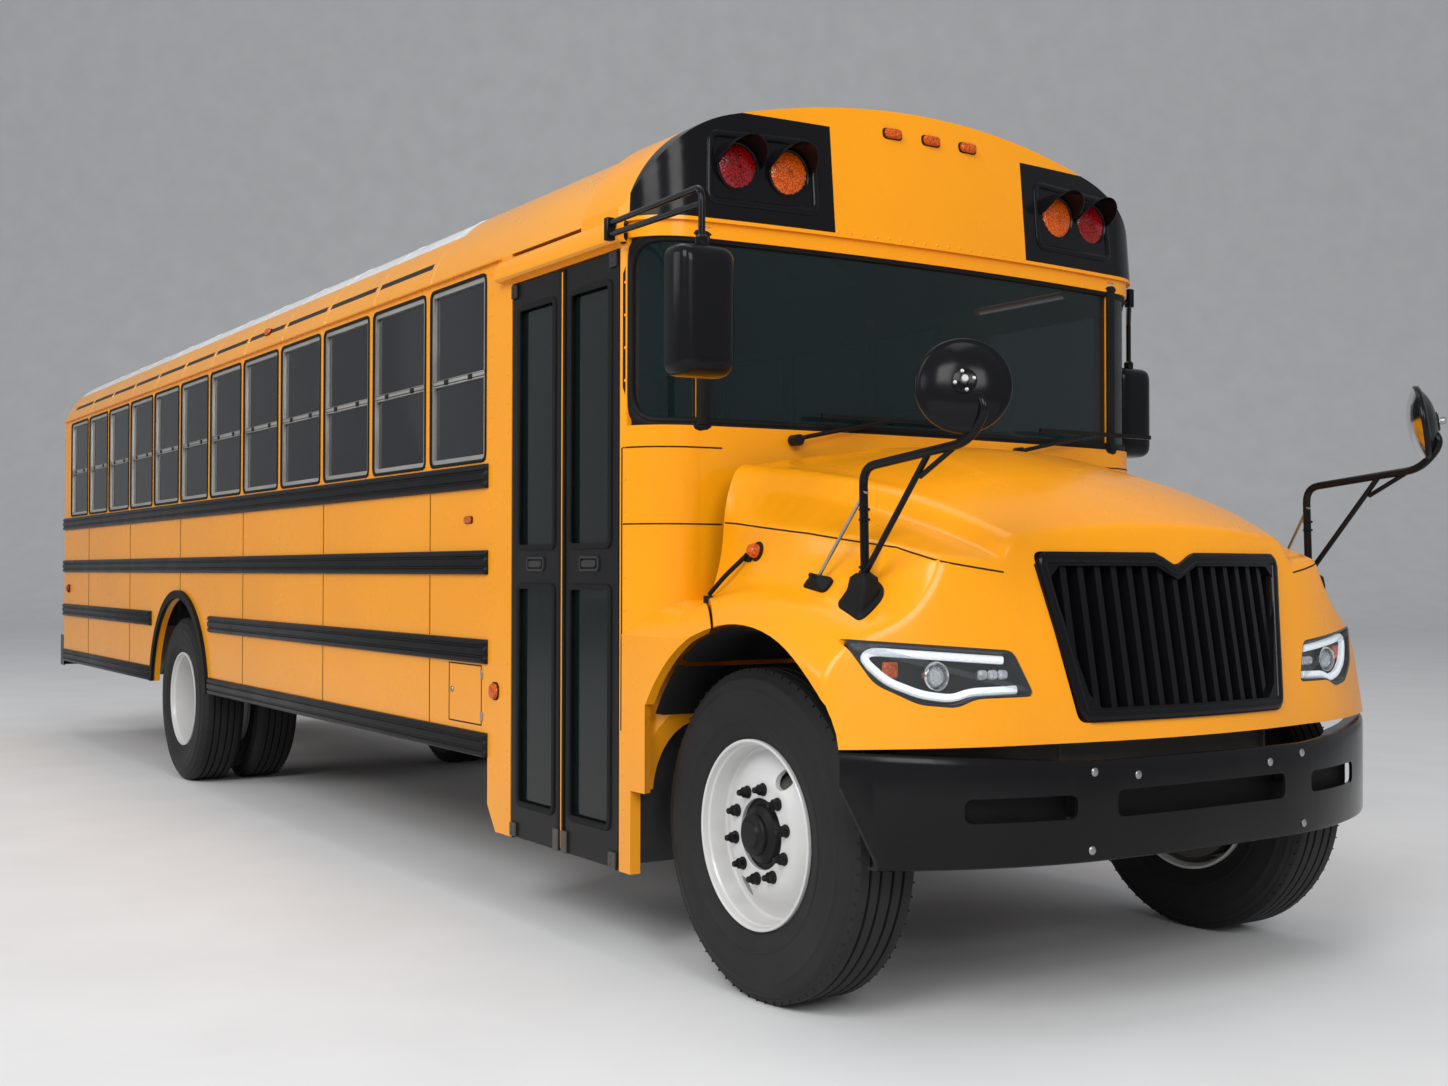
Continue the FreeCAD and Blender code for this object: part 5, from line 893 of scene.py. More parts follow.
def studs_and_hub(label, x, y, side, seat, hub, drum, body):
    """Ten nuts on their studs, the capped hub and the drum behind the disc."""
    bm = bmesh.new()
    out = (0, side, 0)
    for turn in turns(STUDS, 0.2, 0.2 + math.tau):
        for steps, profile in (
                (12, ((0.021, -0.001), (0.021, 0.004), (0.017, 0.007), (0.0165, 0.0072))),
                (6, ((0.0175, 0.004), (0.0170, 0.020), (0.0145, 0.024), (0.0105, 0.0245))),
                (10, ((0.0105, 0.020), (0.0105, 0.034), (0.0080, 0.039), (0, 0.040)))):
            lathe(bm, [(r, seat + h) for r, h in profile], spoke(x, y, turn, STUD_CIRCLE), out, steps)
    lathe(bm, hub, (x, y, AXLE_Z), out, 40)
    rim_y = hub[-3][1]
    for turn in turns(8):
        hex_bolt(bm, spoke(x, y + side * (rim_y - 0.012), turn, 0.050), out, 0.007, 0.008)
    piece(f"hub_{label}", bm, SATIN, body)
    bm = bmesh.new()
    lathe(bm, drum, (x, y, AXLE_Z), out, 48, ring=True)
    piece(f"drum_{label}", bm, CAST, body)


for side_name, side in SIDES:
    for end, node, x, y, disc, hole_y, hub, seat, drum in WHEELS:
        label, body = f"{end}_{side_name}", f"wheel_{end}_{side_name}"
        wheel_disc(f"wheel_disc_{label}", disc, x, side * y, side, hole_y, body, f"{node}_{label}")
        studs_and_hub(label, x, side * y, side, seat, hub, drum, body)


# ---------------------------------------------------------------- front face: plan, gasket and cap

class FacePlan:
    """The cab's upright front in plan, from the driver's side round to the door's side."""

    def __init__(self, height, nodes, count=90):
        centre = Vector((FRONT_X - 1.25, 0, height))
        self.spots = []
        for i in range(count + 1):
            turn = math.radians(-64 + 128 * i / count)
            way = Vector((math.cos(turn), -math.sin(turn), 0))
            self.spots.append(cast(nodes, centre + way * 3, -way))
        self.reach = [0.0]
        for (a, _), (b, _) in zip(self.spots, self.spots[1:]):
            self.reach.append(self.reach[-1] + (b - a).length)
        self.middle = self.reach[count // 2]

    def at(self, along, height):
        """Point and normal at a distance along from the centre line, at a height."""
        along += self.middle
        for i, (low, high) in enumerate(zip(self.reach, self.reach[1:])):
            if along <= high or i == len(self.reach) - 2:
                share = (along - low) / (high - low)
                break
        place = self.spots[i][0].lerp(self.spots[i + 1][0], share)
        ways = [self.spots[max(0, min(len(self.spots) - 1, k))][1] for k in (i - 1, i, i + 1, i + 2)]
        normal = sum(ways, Vector()).normalized()
        return Vector((place.x, place.y, height)), normal

    def along_at(self, y):
        """How far along the plan the distance y from the centre line lies."""
        for (a, _), (b, _), reach in zip(self.spots, self.spots[1:], self.reach):
            if (a.y - y) * (b.y - y) <= 0 and a.y != b.y:
                return reach + (b - a).length * (a.y - y) / (a.y - b.y) - self.middle
        raise ValueError(f"no y {y}")


GLASS_LOW, GLASS_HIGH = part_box("windshield")
PLAN = FacePlan(2.2, "windshield cowl")
CORNER_ALONG = PLAN.along_at(-1.205)
DIVIDER_Y = 0.993
# Gasket sections: (across, out)
SEAL = ((-0.024, -0.006), (-0.024, 0.003), (-0.017, 0.009), (-0.006, 0.011), (0.004, 0.008), (0.010, 0.011),
        (0.020, 0.008), (0.024, 0.002), (0.024, -0.006))
NARROW = mirrored(((-0.012, -0.004), (-0.012, 0.002), (-0.006, 0.006)))
DIVIDER = mirrored(((-0.024, -0.004), (-0.024, 0.004), (-0.016, 0.008)))
STRIP = mirrored(((-0.006, -0.004), (-0.006, 0.002), (0, 0.006)))

bm = bmesh.new()
edge = CORNER_ALONG - 0.005
seal_low, seal_high = GLASS_LOW.z + 0.004, GLASS_HIGH.z + 0.006
corners = [(-edge, seal_low), (edge, seal_low), (edge, seal_high), (-edge, seal_high)]
lay(bm, [PLAN.at(p.x, p.y) for p in divided(rounded(corners, 0.13, 8), 0.06)], SEAL, True, 0.001)
# Upright strips between the middle of the windshield and its corner panes
for y in (DIVIDER_Y, -DIVIDER_Y):
    divider = PLAN.along_at(y)
    lay(bm, [PLAN.at(divider, seal_low + (seal_high - seal_low) * k / 8) for k in range(9)], DIVIDER, out=0.001)
piece("windshield_gasket", bm, RUBBER, "bus")

# Bright strip under the cap's lip
bm = bmesh.new()
lay(bm, [PLAN.at(-edge + 2 * edge * k / 60, seal_high + 0.030) for k in range(61)], STRIP, out=0.004)
piece("windshield_strip", bm, ALUMINIUM, "bus")


# ---------------------------------------------------------------- lamps

def facet_lens(bm, centre, axis, radius, height, steps=40):
    """Round lens with a crown broken into facets."""
    crown = [(radius * r, height * (1 - r * r) ** 0.5) for r in (0.97, 0.82, 0.64, 0.46, 0.28, 0.12)]
    lathe(bm, [(radius, 0.0), *crown, (0, height)], centre, axis, steps, wave=0.0011)


def visor(bm, centre, facing, radius, deep):
    """Half-round eyebrow over a lamp, longest at its top."""
    rows = []
    for shell in (radius, radius + 0.004):
        for end in (0, 1):
            row = []
            for k in range(25):
                turn = math.radians(-18 + 216 * k / 24)
                reach = end * (deep * (0.35 + 0.65 * max(0.0, math.sin(turn)) ** 0.6))
                row.append(bm.verts.new(Vector(centre) + Vector((
                    facing * reach, math.cos(turn) * shell, math.sin(turn) * shell))))
            rows.append(row)
    inner_back, inner_front, outer_back, outer_front = rows
    skin(bm, [inner_back, inner_front, outer_front, outer_back], across=False, along=True)
    for k in (0, -1):
        bm.faces.new([r[k] for r in (inner_back, inner_front, outer_front, outer_back)])


# Radii of a warning lamp's lens, its rim inside and outside, and its hood
LENS_R, RIM_IN, RIM_OUT, HOOD_R = 0.079, 0.078, 0.0875, 0.0895
LAMP_SPLIT_Y = 0.75
red, amber, black = (bmesh.new() for _ in range(3))
for low, high in solids("warning_lamps"):
    facing = 1 if low.x > 0 else -1
    centre = (low + high) / 2
    face_x = high.x if facing > 0 else low.x
    inner_lamp = abs(centre.y) < LAMP_SPLIT_Y
    foot, set_back, deep = (-0.060, 0.055, 0.175) if facing > 0 else (-0.012, 0.008, 0.10)
    at = Vector((face_x - facing * 0.030, centre.y, centre.z))
    facet_lens(amber if inner_lamp else red, at + Vector((facing * 0.006, 0, 0)), (facing, 0, 0), LENS_R, 0.018)
    lathe(black, [(RIM_OUT, foot), (RIM_OUT, 0.012), (0.084, 0.015), (LENS_R, 0.012), (RIM_IN, 0.002),
                  (RIM_IN, foot)], at, (facing, 0, 0), 40, ring=True)
    visor(black, at - Vector((facing * set_back, 0, 0)), facing, HOOD_R, deep)
piece("warning_lenses_red", red, RED_LENS, "bus", ["warning_lamps"], 12)
piece("warning_lenses_amber", amber, AMBER_LENS, "bus", angle=12)
for way in (-1, 1):
    corners = [(way * 0.545, 2.632), (way * 0.975, 2.632), (way * 0.960, 2.872), (way * 0.545, 2.885)]
    path = divided(rounded(corners, 0.035, 6), 0.04)
    lay(black, [ahead("lamp_panels front_cap", p.x, p.y) for p in path], NARROW, True, 0.001)
piece("warning_lamp_hoods", black, BLACK, "bus")

# Amber markers over the windshield, at the cab's corners and along the sides, red ones behind
amber, red, base = bmesh.new(), bmesh.new(), bmesh.new()


def marker(lens_bm, spot, long, tall, along=(0, 1, 0), rise=0.022):
    """An oval lamp on its foot at a (point, normal); long runs along a direction."""
    place, normal = spot[0], spot[1].normalized()
    u = (Vector(along) - normal * normal.dot(Vector(along))).normalized()
    v = normal.cross(u)
    for bm, scale, lifts in ((base, 1.15, ((1.0, -0.006), (1.0, 0.003), (0.9, 0.005))),
                             (lens_bm, 1.0, ((1.0, 0.002), (0.98, 0.010), (0.86, rise * 0.8), (0.5, rise)))):
        outline = rectangle(long * scale, tall * scale, tall * 0.49)
        loft(bm, [[place + u * a * size + v * b * size + normal * lift for a, b in outline]
                  for size, lift in lifts])


BOTH_WALLS = "side_wall_left side_wall_right"
TOP_YS = (-0.184, 0.0, 0.184)
# Lengths and heights of the markers: over the glass, at a corner, along a side, round
TOP, CORNER, LONG, DISC = (0.078, 0.036), (0.055, 0.046), (0.070, 0.036), (0.062, 0.062)
for y in TOP_YS:
    marker(amber, ahead("front_cap", y, 2.972), *TOP)
for side in (-1, 1):
    marker(amber, cast("front_cap roof cowl", (FRONT_X + 0.2, side * 1.95, 2.70), (-0.62, -side * 0.78, -0.02)),
           *CORNER, (0, 0, 1), 0.040)
    marker(amber, aside("roof " + BOTH_WALLS, FRONT_X - 4.72, 2.679, side), *LONG, (1, 0, 0))
    if side < 0:
        marker(amber, aside(BOTH_WALLS, FRONT_X - 1.67, 0.872, side), *DISC, (1, 0, 0))
        marker(amber, aside("side_wall_right", FRONT_X - 1.93, 1.558, side), 0.070, 0.026, (1, 0, 0), 0.014)
    marker(red, aside(BOTH_WALLS, WALL_X + 0.20, 1.20, side), *DISC, (1, 0, 0))
    marker(red, cast("rear_wall roof", (WALL_X - 1, side * 1.0, 2.62), (1, 0, 0)), *CORNER, rise=0.03)
for y in TOP_YS:
    marker(red, cast("rear_wall roof", (WALL_X - 1, y, 2.93), (1, 0, 0)), *TOP)
piece("markers_amber", amber, AMBER_LENS, "bus")
piece("markers_red", red, RED_LENS, "bus")
piece("marker_feet", base, RUBBER, "bus")

# Tail lamps: stop and turn above, small ones below
red, amber, clear, black = (bmesh.new() for _ in range(4))
for low, high in solids("tail_lamps"):
    centre, radius = (low + high) / 2, (high.z - low.z) / 2
    at = Vector((low.x + 0.014, centre.y, centre.z))
    outer = abs(centre.y) > 0.9
    into = clear if radius < 0.055 else (amber if outer and radius > 0.08 else red)
    facet_lens(into, at, (-1, 0, 0), radius - 0.009, 0.012)
    lathe(black, [(radius, -0.014), (radius, 0.002), (radius - 0.003, 0.006), (radius - 0.009, 0.004),
                  (radius - 0.010, -0.014)], at, (-1, 0, 0), 36, ring=True)
piece("tail_lenses_red", red, RED_LENS, "bus", ["tail_lamps"], 12)
piece("tail_lenses_amber", amber, AMBER_LENS, "bus", angle=12)
piece("tail_lenses_clear", clear, CLEAR_LENS, "bus", angle=12)
piece("tail_lamp_rims", black, RUBBER, "bus")

# ---------------------------------------------------------------- sides: rails, windows, seams and rivets

# Rub rail section, (up, out) from its middle
RAIL = mirrored(((-0.049, 0), (-0.049, 0.010), (-0.044, 0.018), (-0.036, 0.0215), (-0.027, 0.0215),
                 (-0.023, 0.015), (-0.017, 0.015), (-0.013, 0.0215)))

bm = bmesh.new()
for low, high in solids("side_trim"):
    side = side_of(low)
    foot = low.y if side > 0 else high.y
    middle = (low.z + high.z) / 2
    tall = (high.z - low.z) / 0.098
    rings = []
    for x, share in ((low.x, 0.25), (low.x + 0.006, 0.8), (low.x + 0.014, 1), (high.x - 0.014, 1),
                     (high.x - 0.006, 0.8), (high.x, 0.25)):
        rings.append([Vector((x, foot + side * out * share, middle + up * tall)) for up, out in RAIL])
    loft(bm, rings)
piece("rub_rails", bm, SATIN, "bus", ["side_trim"], 40)


def around(a_low, a_high, b_low, b_high):
    """The corners of a flat box, in order."""
    return [(a_low, b_low), (a_high, b_low), (a_high, b_high), (a_low, b_high)]


FRAMES = solids("window_frames")
bm, latch, bars = bmesh.new(), bmesh.new(), bmesh.new()
for low, high in FRAMES:
    side = side_of(low)
    y = side * (HALF + 0.0005)
    corners = [(x, y, z) for x, z in around(low.x, high.x, low.z, high.z)]
    sweep(bm, rounded(corners, 0.035), mirrored(((-0.007, -0.004), (-0.007, 0.003), (0, 0.006))),
          (0, side, 0), closed=True)
    frame_y = side * max(abs(low.y), abs(high.y))
    bar_z = low.z + (high.z - low.z) * 0.473
    for z in (bar_z - 0.009, bar_z + 0.009):
        block(bars, (low.x + 0.018, frame_y - 0.012 * (side > 0), z - 0.003),
              (high.x - 0.018, frame_y + 0.012 * (side < 0), z + 0.003), 0.001)
    for x in (low.x + 0.16, high.x - 0.16):
        block(latch, (x - 0.020, frame_y - 0.006 if side > 0 else frame_y - 0.004, bar_z - 0.014),
              (x + 0.020, frame_y + 0.004 if side > 0 else frame_y + 0.006, bar_z + 0.010), 0.003)
piece("window_rubbers", bm, RUBBER, "bus")
piece("window_latches", latch, SATIN, "bus")
piece("window_bar_ribs", bars, ALUMINIUM, "bus")

# Rivet heads and the joints between the body's panels
rivets, seams, lips = bmesh.new(), bmesh.new(), bmesh.new()


# A rivet's radius, height and number of sides; heights of the rows, the drip rail and the dark strips along the
# roof's edge
RIVET = (0.0055, 0.0028, 7)
ROW_ZS, LIP_Z, DRIP_Z, DARK_STRIP_Z = (2.571, 1.785), 2.572, 2.583, 2.680


def rivet_row(names, start, end, pitch, side):
    """Rivets along a straight run of (x, z) on one side."""
    a, b = Vector(start), Vector(end)
    count = max(1, int((b - a).length / pitch))
    for k in range(count + 1):
        p = a.lerp(b, k / count)
        spot = aside(names, p.x, p.y, side, needed=False)
        if spot and abs(spot[0].y) > HALF - 0.006:
            dome(rivets, *spot, *RIVET)


edges = {1: [], -1: []}
for low, high in FRAMES:
    edges[side_of(low)].append((low.x, high.x))
for _, side in SIDES:
    walls = "side_wall_left side_wall_right cowl roof"
    bays = sorted(edges[side])
    posts = [(a[1] + b[0]) / 2 for a, b in zip(bays, bays[1:])] + [bays[0][0] - 0.05, bays[-1][1] + 0.05]
    for x in posts:
        for off in (-0.012, 0.012):
            rivet_row(walls, (x + off, 1.80), (x + off, 2.54), 0.075, side)
        for z in (1.10, 1.46):
            rivet_row(walls, (x, z), (x, z + 0.20), 0.05, side)
    front = bays[-1][1] + (0.10 if side < 0 else 0.6)
    for z in ROW_ZS:
        rivet_row(walls, (bays[0][0] - 0.1, z), (front, z), 0.085, side)
    for x in posts[:-2][::2]:
        y = side * (HALF + 0.0008)
        for z_low, z_high in ((1.435, 1.68), (1.075, 1.33), (0.70, 0.972)):
            if z_low < 1.0 and abs(x - REAR_X) < 0.72:
                continue
            block(seams, (x + 0.028, y - 0.0012, z_low), (x + 0.031, y + 0.0012, z_high), 0)

# Door posts with their rivet columns, the yellow drip rail and the box over the entrance door
for x in (DOOR_HIGH.x + 0.035, DOOR_LOW.x - 0.040):
    rivet_row("side_wall_right cowl", (x, 0.42), (x, 2.46), 0.11, -1)
header_z = DOOR_HIGH.z + 0.016
rings = []
for x, grow in ((DOOR_LOW.x - 0.09, 0.4), (DOOR_LOW.x - 0.085, 1), (DOOR_HIGH.x + 0.045, 1),
                (DOOR_HIGH.x + 0.05, 0.4)):
    profile = ((-0.004, 0), (0.030 * grow, -0.002), (0.040 * grow, 0.006), (0.042 * grow, 0.016),
               (0.034 * grow, 0.060), (0.018 * grow, 0.082), (-0.004, 0.090))
    rings.append([Vector((x, -HALF - out, header_z + up)) for out, up in profile])
loft(lips, rings)
for _, side in SIDES:
    front = DOOR_LOW.x - 0.10 if side < 0 else DOOR_HIGH.x
    profile = ((-0.003, 0), (0.014, -0.004), (0.018, -0.001), (0.018, 0.004), (0.006, 0.008), (-0.003, 0.014))
    loft(lips, [[Vector((x, side * (HALF + out), DRIP_Z + up)) for out, up in profile]
                for x in (WALL_X + 0.02, front)])
piece("drip_rails", lips, YELLOW, "bus")

# Rivets along the cap's lip
for k in range(41):
    spot = ahead("front_cap", (-1.16 + 2.32 * k / 40) * 0.98, LIP_Z, needed=False)
    if spot:
        dome(rivets, *spot, *RIVET)
piece("rivets", rivets, YELLOW, "bus")


def band(half, low, high, inset=0.0):
    """A flat section: half its width, how deep it sits and how proud it stands."""
    return mirrored(((-half, low), (-half + inset, high)))


def seam_on(names, points, direction, proud=0.0014):
    """A dark joint line laid along points on surfaces."""
    spots = []
    for a, b in zip(points, points[1:]):
        a, b = Vector(a), Vector(b)
        parts = max(1, int((b - a).length / 0.03))
        for k in range(parts + 1):
            p = a.lerp(b, k / parts)
            way = Vector(direction(p) if callable(direction) else direction)
            spots.append(cast(names, p - way * 0.5, way, needed=False))
    spots = [s for s in spots if s]
    spots = [s for i, s in enumerate(spots) if i == 0 or (s[0] - spots[i - 1][0]).length > 0.002]
    if len(spots) > 1:
        lay(seams, spots, band(0.0025, -0.002, proud))


def inward(p):
    """From outside towards the cab's middle, level."""
    return Vector((FRONT_X - 1.25 - p.x, -p.y, 0)).normalized()


# Seams of the cowl, and the battery door with its lock
for _, side in SIDES:
    for z in (1.511, 1.775):
        line = ((-0.65, 1.215), (-0.50, 1.12), (-0.42, 0.99))
        seam_on("cowl", [(FRONT_X + x, side * y, z) for x, y in line], inward)
    seam_on("cowl " + BOTH_WALLS, [(FRONT_X - 0.655, side * 1.22, z) for z in (1.775, 0.80)], (0, -side, 0))
ring = around(FRONT_X - 2.123, FRONT_X - 1.801, 0.726, 0.965)
seam_on("side_wall_right", [(x, -HALF, z) for x, z in ring + ring[:1]], (0, 1, 0))
piece("panel_seams", seams, RUBBER, "bus")
lock = bmesh.new()
dome(lock, (FRONT_X - 2.09, -HALF, 0.855), (0, -1, 0), 0.012, 0.008, 16)
for z in (0.762, 0.930):
    block(lock, (FRONT_X - 1.801, -HALF - 0.006, z - 0.018), (FRONT_X - 1.785, -HALF + 0.002, z + 0.018), 0.002)
piece("battery_door_lock", lock, STEEL, "bus")
# Dark strips along the roof's edge, one over each window bay but the last, laid just proud of the roof
dark_strips = bmesh.new()
for _, side in SIDES:
    for x_low, x_high in sorted(edges[side])[:-1]:
        lay(dark_strips, [aside("roof", x_low + (x_high - x_low) * k / 8, DARK_STRIP_Z, side) for k in range(9)],
            band(0.014, -0.001, 0.0008))
piece("roof_tape", dark_strips, SATIN, "bus")

# Roof bows: riveted bands over the roof at each post
bows = bmesh.new()
for low_bay, high_bay in zip(sorted(edges[1]), sorted(edges[1])[1:]):
    x = (low_bay[1] + high_bay[0]) / 2
    spots = []
    for k in range(49):
        turn = math.radians(4 + 172 * k / 48)
        way = Vector((0, math.cos(turn), math.sin(turn)))
        spots.append(cast("roof", Vector((x, 0, 2.35)) + way * 2.5, -way, needed=False))
    spots = [s for s in spots if s]
    if len(spots) > 30:
        lay(bows, spots, band(0.022, -0.001, 0.0022, 0.002))
piece("roof_bows", bows, ROOF, "bus")


# ---------------------------------------------------------------- entrance door

HANDLE_Z = 1.375
for name in ("front", "rear"):
    low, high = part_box(f"door_leaf_{name}")
    out = low.y
    seal = bmesh.new()
    for pane_low, pane_high in solids(f"door_glass_{name}"):
        corners = [(x, out, z) for x, z in around(pane_low.x, pane_high.x, pane_low.z, pane_high.z)]
        sweep(seal, rounded(corners, 0.028),
              [(-0.013, -0.003), (-0.013, 0.003), (-0.006, 0.006), (0.006, 0.005), (0.010, 0.001),
               (0.010, -0.010), (0.004, -0.010)], (0, -1, 0), closed=True)
    # Raised stiles beside the glass and a soft edge where the leaves meet
    meet = low.x if name == "front" else high.x
    into = 1 if name == "front" else -1
    block(seal, (min(meet, meet + into * 0.022), out - 0.004, low.z + 0.01),
          (max(meet, meet + into * 0.022), out + 0.002, high.z - 0.01), 0.0015)
    piece(f"door_seals_{name}", seal, RUBBER, f"door_{name}")
    handle = bmesh.new()
    middle = (low.x + high.x) / 2
    ring = rectangle(0.135, 0.046, 0.012)
    sweep(handle, [Vector((middle + u, out, HANDLE_Z + v)) for u, v in ring],
          band(0.004, -0.002, 0.004), (0, -1, 0), closed=True)
    loft(handle, [[Vector((middle + u * s, out + 0.002 - d, HANDLE_Z + v * s))
                   for u, v in rectangle(0.10, 0.026, 0.010)]
                  for s, d in ((1.0, 0.0), (1.0, 0.006), (0.9, 0.010))])
    hinge_x = high.x - 0.03 if name == "front" else low.x + 0.03
    for z in (low.z + 0.035, high.z - 0.035):
        block(handle, (hinge_x - 0.022, out - 0.010, z - 0.026), (hinge_x + 0.022, out + 0.001, z + 0.026),
              0.003)
        for dz in (-0.012, 0.012):
            hex_bolt(handle, (hinge_x, out - 0.010, z + dz), (0, -1, 0), 0.005, 0.004)
    bottom = meet + into * 0.028
    block(handle, (bottom - 0.020, out - 0.009, low.z + 0.004), (bottom + 0.020, out + 0.001, low.z + 0.085),
          0.003)
    piece(f"door_hardware_{name}", handle, CHASSIS, f"door_{name}")
low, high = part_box("door_leaf_front")
bm = bmesh.new()
block(bm, (low.x + 0.001, low.y - 0.0055, low.z + 0.02), (low.x + 0.008, low.y - 0.001, high.z - 0.02), 0.001)
piece("door_edge_yellow", bm, YELLOW, "door_front")

# Rear emergency door: glass rubber, swage and handle
low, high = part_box("rear_door")
bm, metal = bmesh.new(), bmesh.new()
for pane_low, pane_high in solids("rear_door_glass"):
    corners = [(low.x, y, z) for y, z in around(pane_low.y, pane_high.y, pane_low.z, pane_high.z)]
    sweep(bm, rounded(corners, 0.05, 6), SEAL, (-1, 0, 0), closed=True)
inner = around(low.y + 0.045, high.y - 0.045, low.z + 0.06, low.z + 0.72)
piece("rear_door_rubber", bm, RUBBER, "rear_door")
bm = bmesh.new()
sweep(bm, rounded([(low.x, y, z) for y, z in inner], 0.05, 6), band(0.010, -0.002, 0.004, 0.003),
      (-1, 0, 0), closed=True)
piece("rear_door_swage", bm, YELLOW, "rear_door")
z = low.z + 0.95
block(metal, (low.x - 0.016, low.y + 0.045, z - 0.05), (low.x + 0.001, low.y + 0.085, z + 0.05), 0.004)
tube(metal, [(low.x - 0.012, low.y + 0.065, z), (low.x - 0.040, low.y + 0.065, z),
             (low.x - 0.040, low.y + 0.19, z - 0.01)], 0.009, 0.02)
piece("rear_door_handle", metal, SATIN, "rear_door")


# ---------------------------------------------------------------- nose: grille frame, lamps, seams

def on_nose(outline, corner, run=0.04):
    """A closed outline of (y, z) laid on the nose: points and normals."""
    return [nose_spot(p.x, p.y) for p in divided(rounded(outline, corner), run)]


bm = bmesh.new()
lay(bm, on_nose(grille_outline(0.018), 0.026),
    [(-0.020, -0.020), (-0.020, -0.002), (-0.016, 0.006), (-0.007, 0.010), (0.005, 0.010), (0.013, 0.005),
     (0.016, -0.004), (0.017, -0.030)], True, 0.005)
piece("grille_rim", bm, BLACK, "hood")
# Dark screen behind the bars
bm = bmesh.new()
screen = on_nose(grille_outline(0.02), 0.03, 0.08)
loft(bm, [[place + normal * out for place, normal in screen] for out in (-0.052, -0.058)])
piece("grille_screen", bm, RUBBER, "hood")


def shrunk(points, by):
    """An outline drawn in towards its middle by a distance."""
    count = len(points)
    result = []
    for i, p in enumerate(points):
        a, b = Vector(points[i - 1]), Vector(points[(i + 1) % count])
        here = Vector(p)
        e1, e2 = (here - a).normalized(), (b - here).normalized()
        n1, n2 = Vector((-e1.y, e1.x)), Vector((-e2.y, e2.x))
        way = (n1 + n2).normalized()
        result.append(here + way * by / max(0.35, way.dot(n1)))
    return result


def ring_of(outline, by, out, size=72):
    """A ring on the nose, drawn in from an outline of (y, z) and lifted by out."""
    flat = rounded(shrunk(outline, by), 0.012, 4)
    total = [0.0]
    loop = flat + flat[:1]
    for a, b in zip(loop, loop[1:]):
        total.append(total[-1] + (b - a).length)
    spots = []
    for k in range(size):
        want = total[-1] * k / size
        i = max(j for j in range(len(loop) - 1) if total[j] <= want + 1e-9)
        at = loop[i].lerp(loop[i + 1], (want - total[i]) / max(1e-9, total[i + 1] - total[i]))
        spots.append(nose_spot(at.x, at.y, out)[0])
    return spots


def verts_of(bm, rings):
    return [[bm.verts.new(p) for p in ring] for ring in rings]


def steps_of(at, outline, steps, slant=0.0):
    """Rings of an outline facing forward: for each (share of its size, distance ahead)."""
    return [[at + Vector((d - slant * u, u * s, v * s)) for u, v in outline] for s, d in steps]


# Headlamps
GUIDE_LINE = ((0.690, 1.092), (0.800, 1.100), (1.085, 1.122), (1.105, 1.098), (1.045, 1.035), (0.955, 0.997),
              (0.865, 0.984), (0.810, 1.002), (0.655, 1.006))
for side_name, side in SIDES:
    outline = [(side * y, z) for y, z in LAMP]
    if sum(a[0] * b[1] - b[0] * a[1] for a, b in zip(outline, outline[1:] + outline[:1])) < 0:
        outline = outline[::-1]
    # Dark housing: a tray behind the lens
    bm = bmesh.new()
    tray = ((0.0008, -0.002), (0.0008, -0.056), (0.022, -0.054), (0.014, -0.036), (0.008, -0.004))
    skin(bm, verts_of(bm, [ring_of(outline, *step) for step in tray]), along=True)
    floor_ring, back_ring = verts_of(bm, [ring_of(outline, 0.012, out) for out in (-0.050, -0.055)])
    skin(bm, [floor_ring, back_ring])
    bm.faces.new(floor_ring)
    bm.faces.new(back_ring[::-1])
    piece(f"headlamp_housing_{side_name}", bm, BLACK, "hood",
          ["headlamps"] if side > 0 else ())
    # Light guide: along the top edge, round the outer tip and back along the bottom
    bm = bmesh.new()
    guide = divided(rounded(GUIDE_LINE, 0.03, closed=False), 0.03, closed=False)
    lay(bm, [nose_spot(side * p.x, p.y) for p in guide],
        mirrored(((-0.0115, -0.012), (-0.0115, 0.001), (-0.006, 0.006))), out=-0.020)
    piece(f"headlamp_guide_{side_name}", bm, GUIDE, "hood")
    # Projector, three light cells and the amber reflector, all facing forward
    chrome, cells, amber = bmesh.new(), bmesh.new(), bmesh.new()
    at = nose_spot(side * 0.905, 1.052, -0.052)[0]
    lathe(chrome, [(0.044, 0.0), (0.044, 0.022), (0.0415, 0.026), (0.037, 0.024), (0.035, 0.012), (0.035, 0.0)],
          at, (1, 0, 0), 36, ring=True)
    lathe(cells, [(0.0335, 0.002), (0.032, 0.012), (0.026, 0.020), (0.014, 0.025), (0, 0.026)],
          at, (1, 0, 0), 32)
    for y in (0.685, 0.720, 0.755):
        at = nose_spot(side * y, 1.053, -0.046)[0]
        cell = rectangle(0.030, 0.026, 0.008)
        loft(cells, steps_of(at, cell, ((1.0, 0.0), (1.0, 0.012), (0.7, 0.018))))
        loft(chrome, steps_of(at, cell, ((1.12, -0.004), (1.12, 0.006))))
    at = nose_spot(side * 1.030, 1.070, -0.046)[0]
    loft(amber, steps_of(at, rectangle(0.058, 0.048, 0.006), ((1.0, -0.004), (1.0, 0.010), (0.9, 0.014)), 0.25))
    piece(f"headlamp_rings_{side_name}", chrome, CHROME, "hood")
    piece(f"headlamp_cells_{side_name}", cells, CELL, "hood", angle=30)
    piece(f"headlamp_amber_{side_name}", amber, AMBER_LENS, "hood")
    # Clear cover flush with the nose
    bm = bmesh.new()
    cover = ((0.001, -0.006), (0.001, 0.001), (0.004, 0.003), (0.03, 0.003))
    rows = verts_of(bm, [ring_of(outline, *step) for step in cover])
    skin(bm, rows)
    bm.faces.new(rows[-1])
    piece(f"headlamp_cover_{side_name}", bm, CLEAR_LENS, "hood", angle=50)

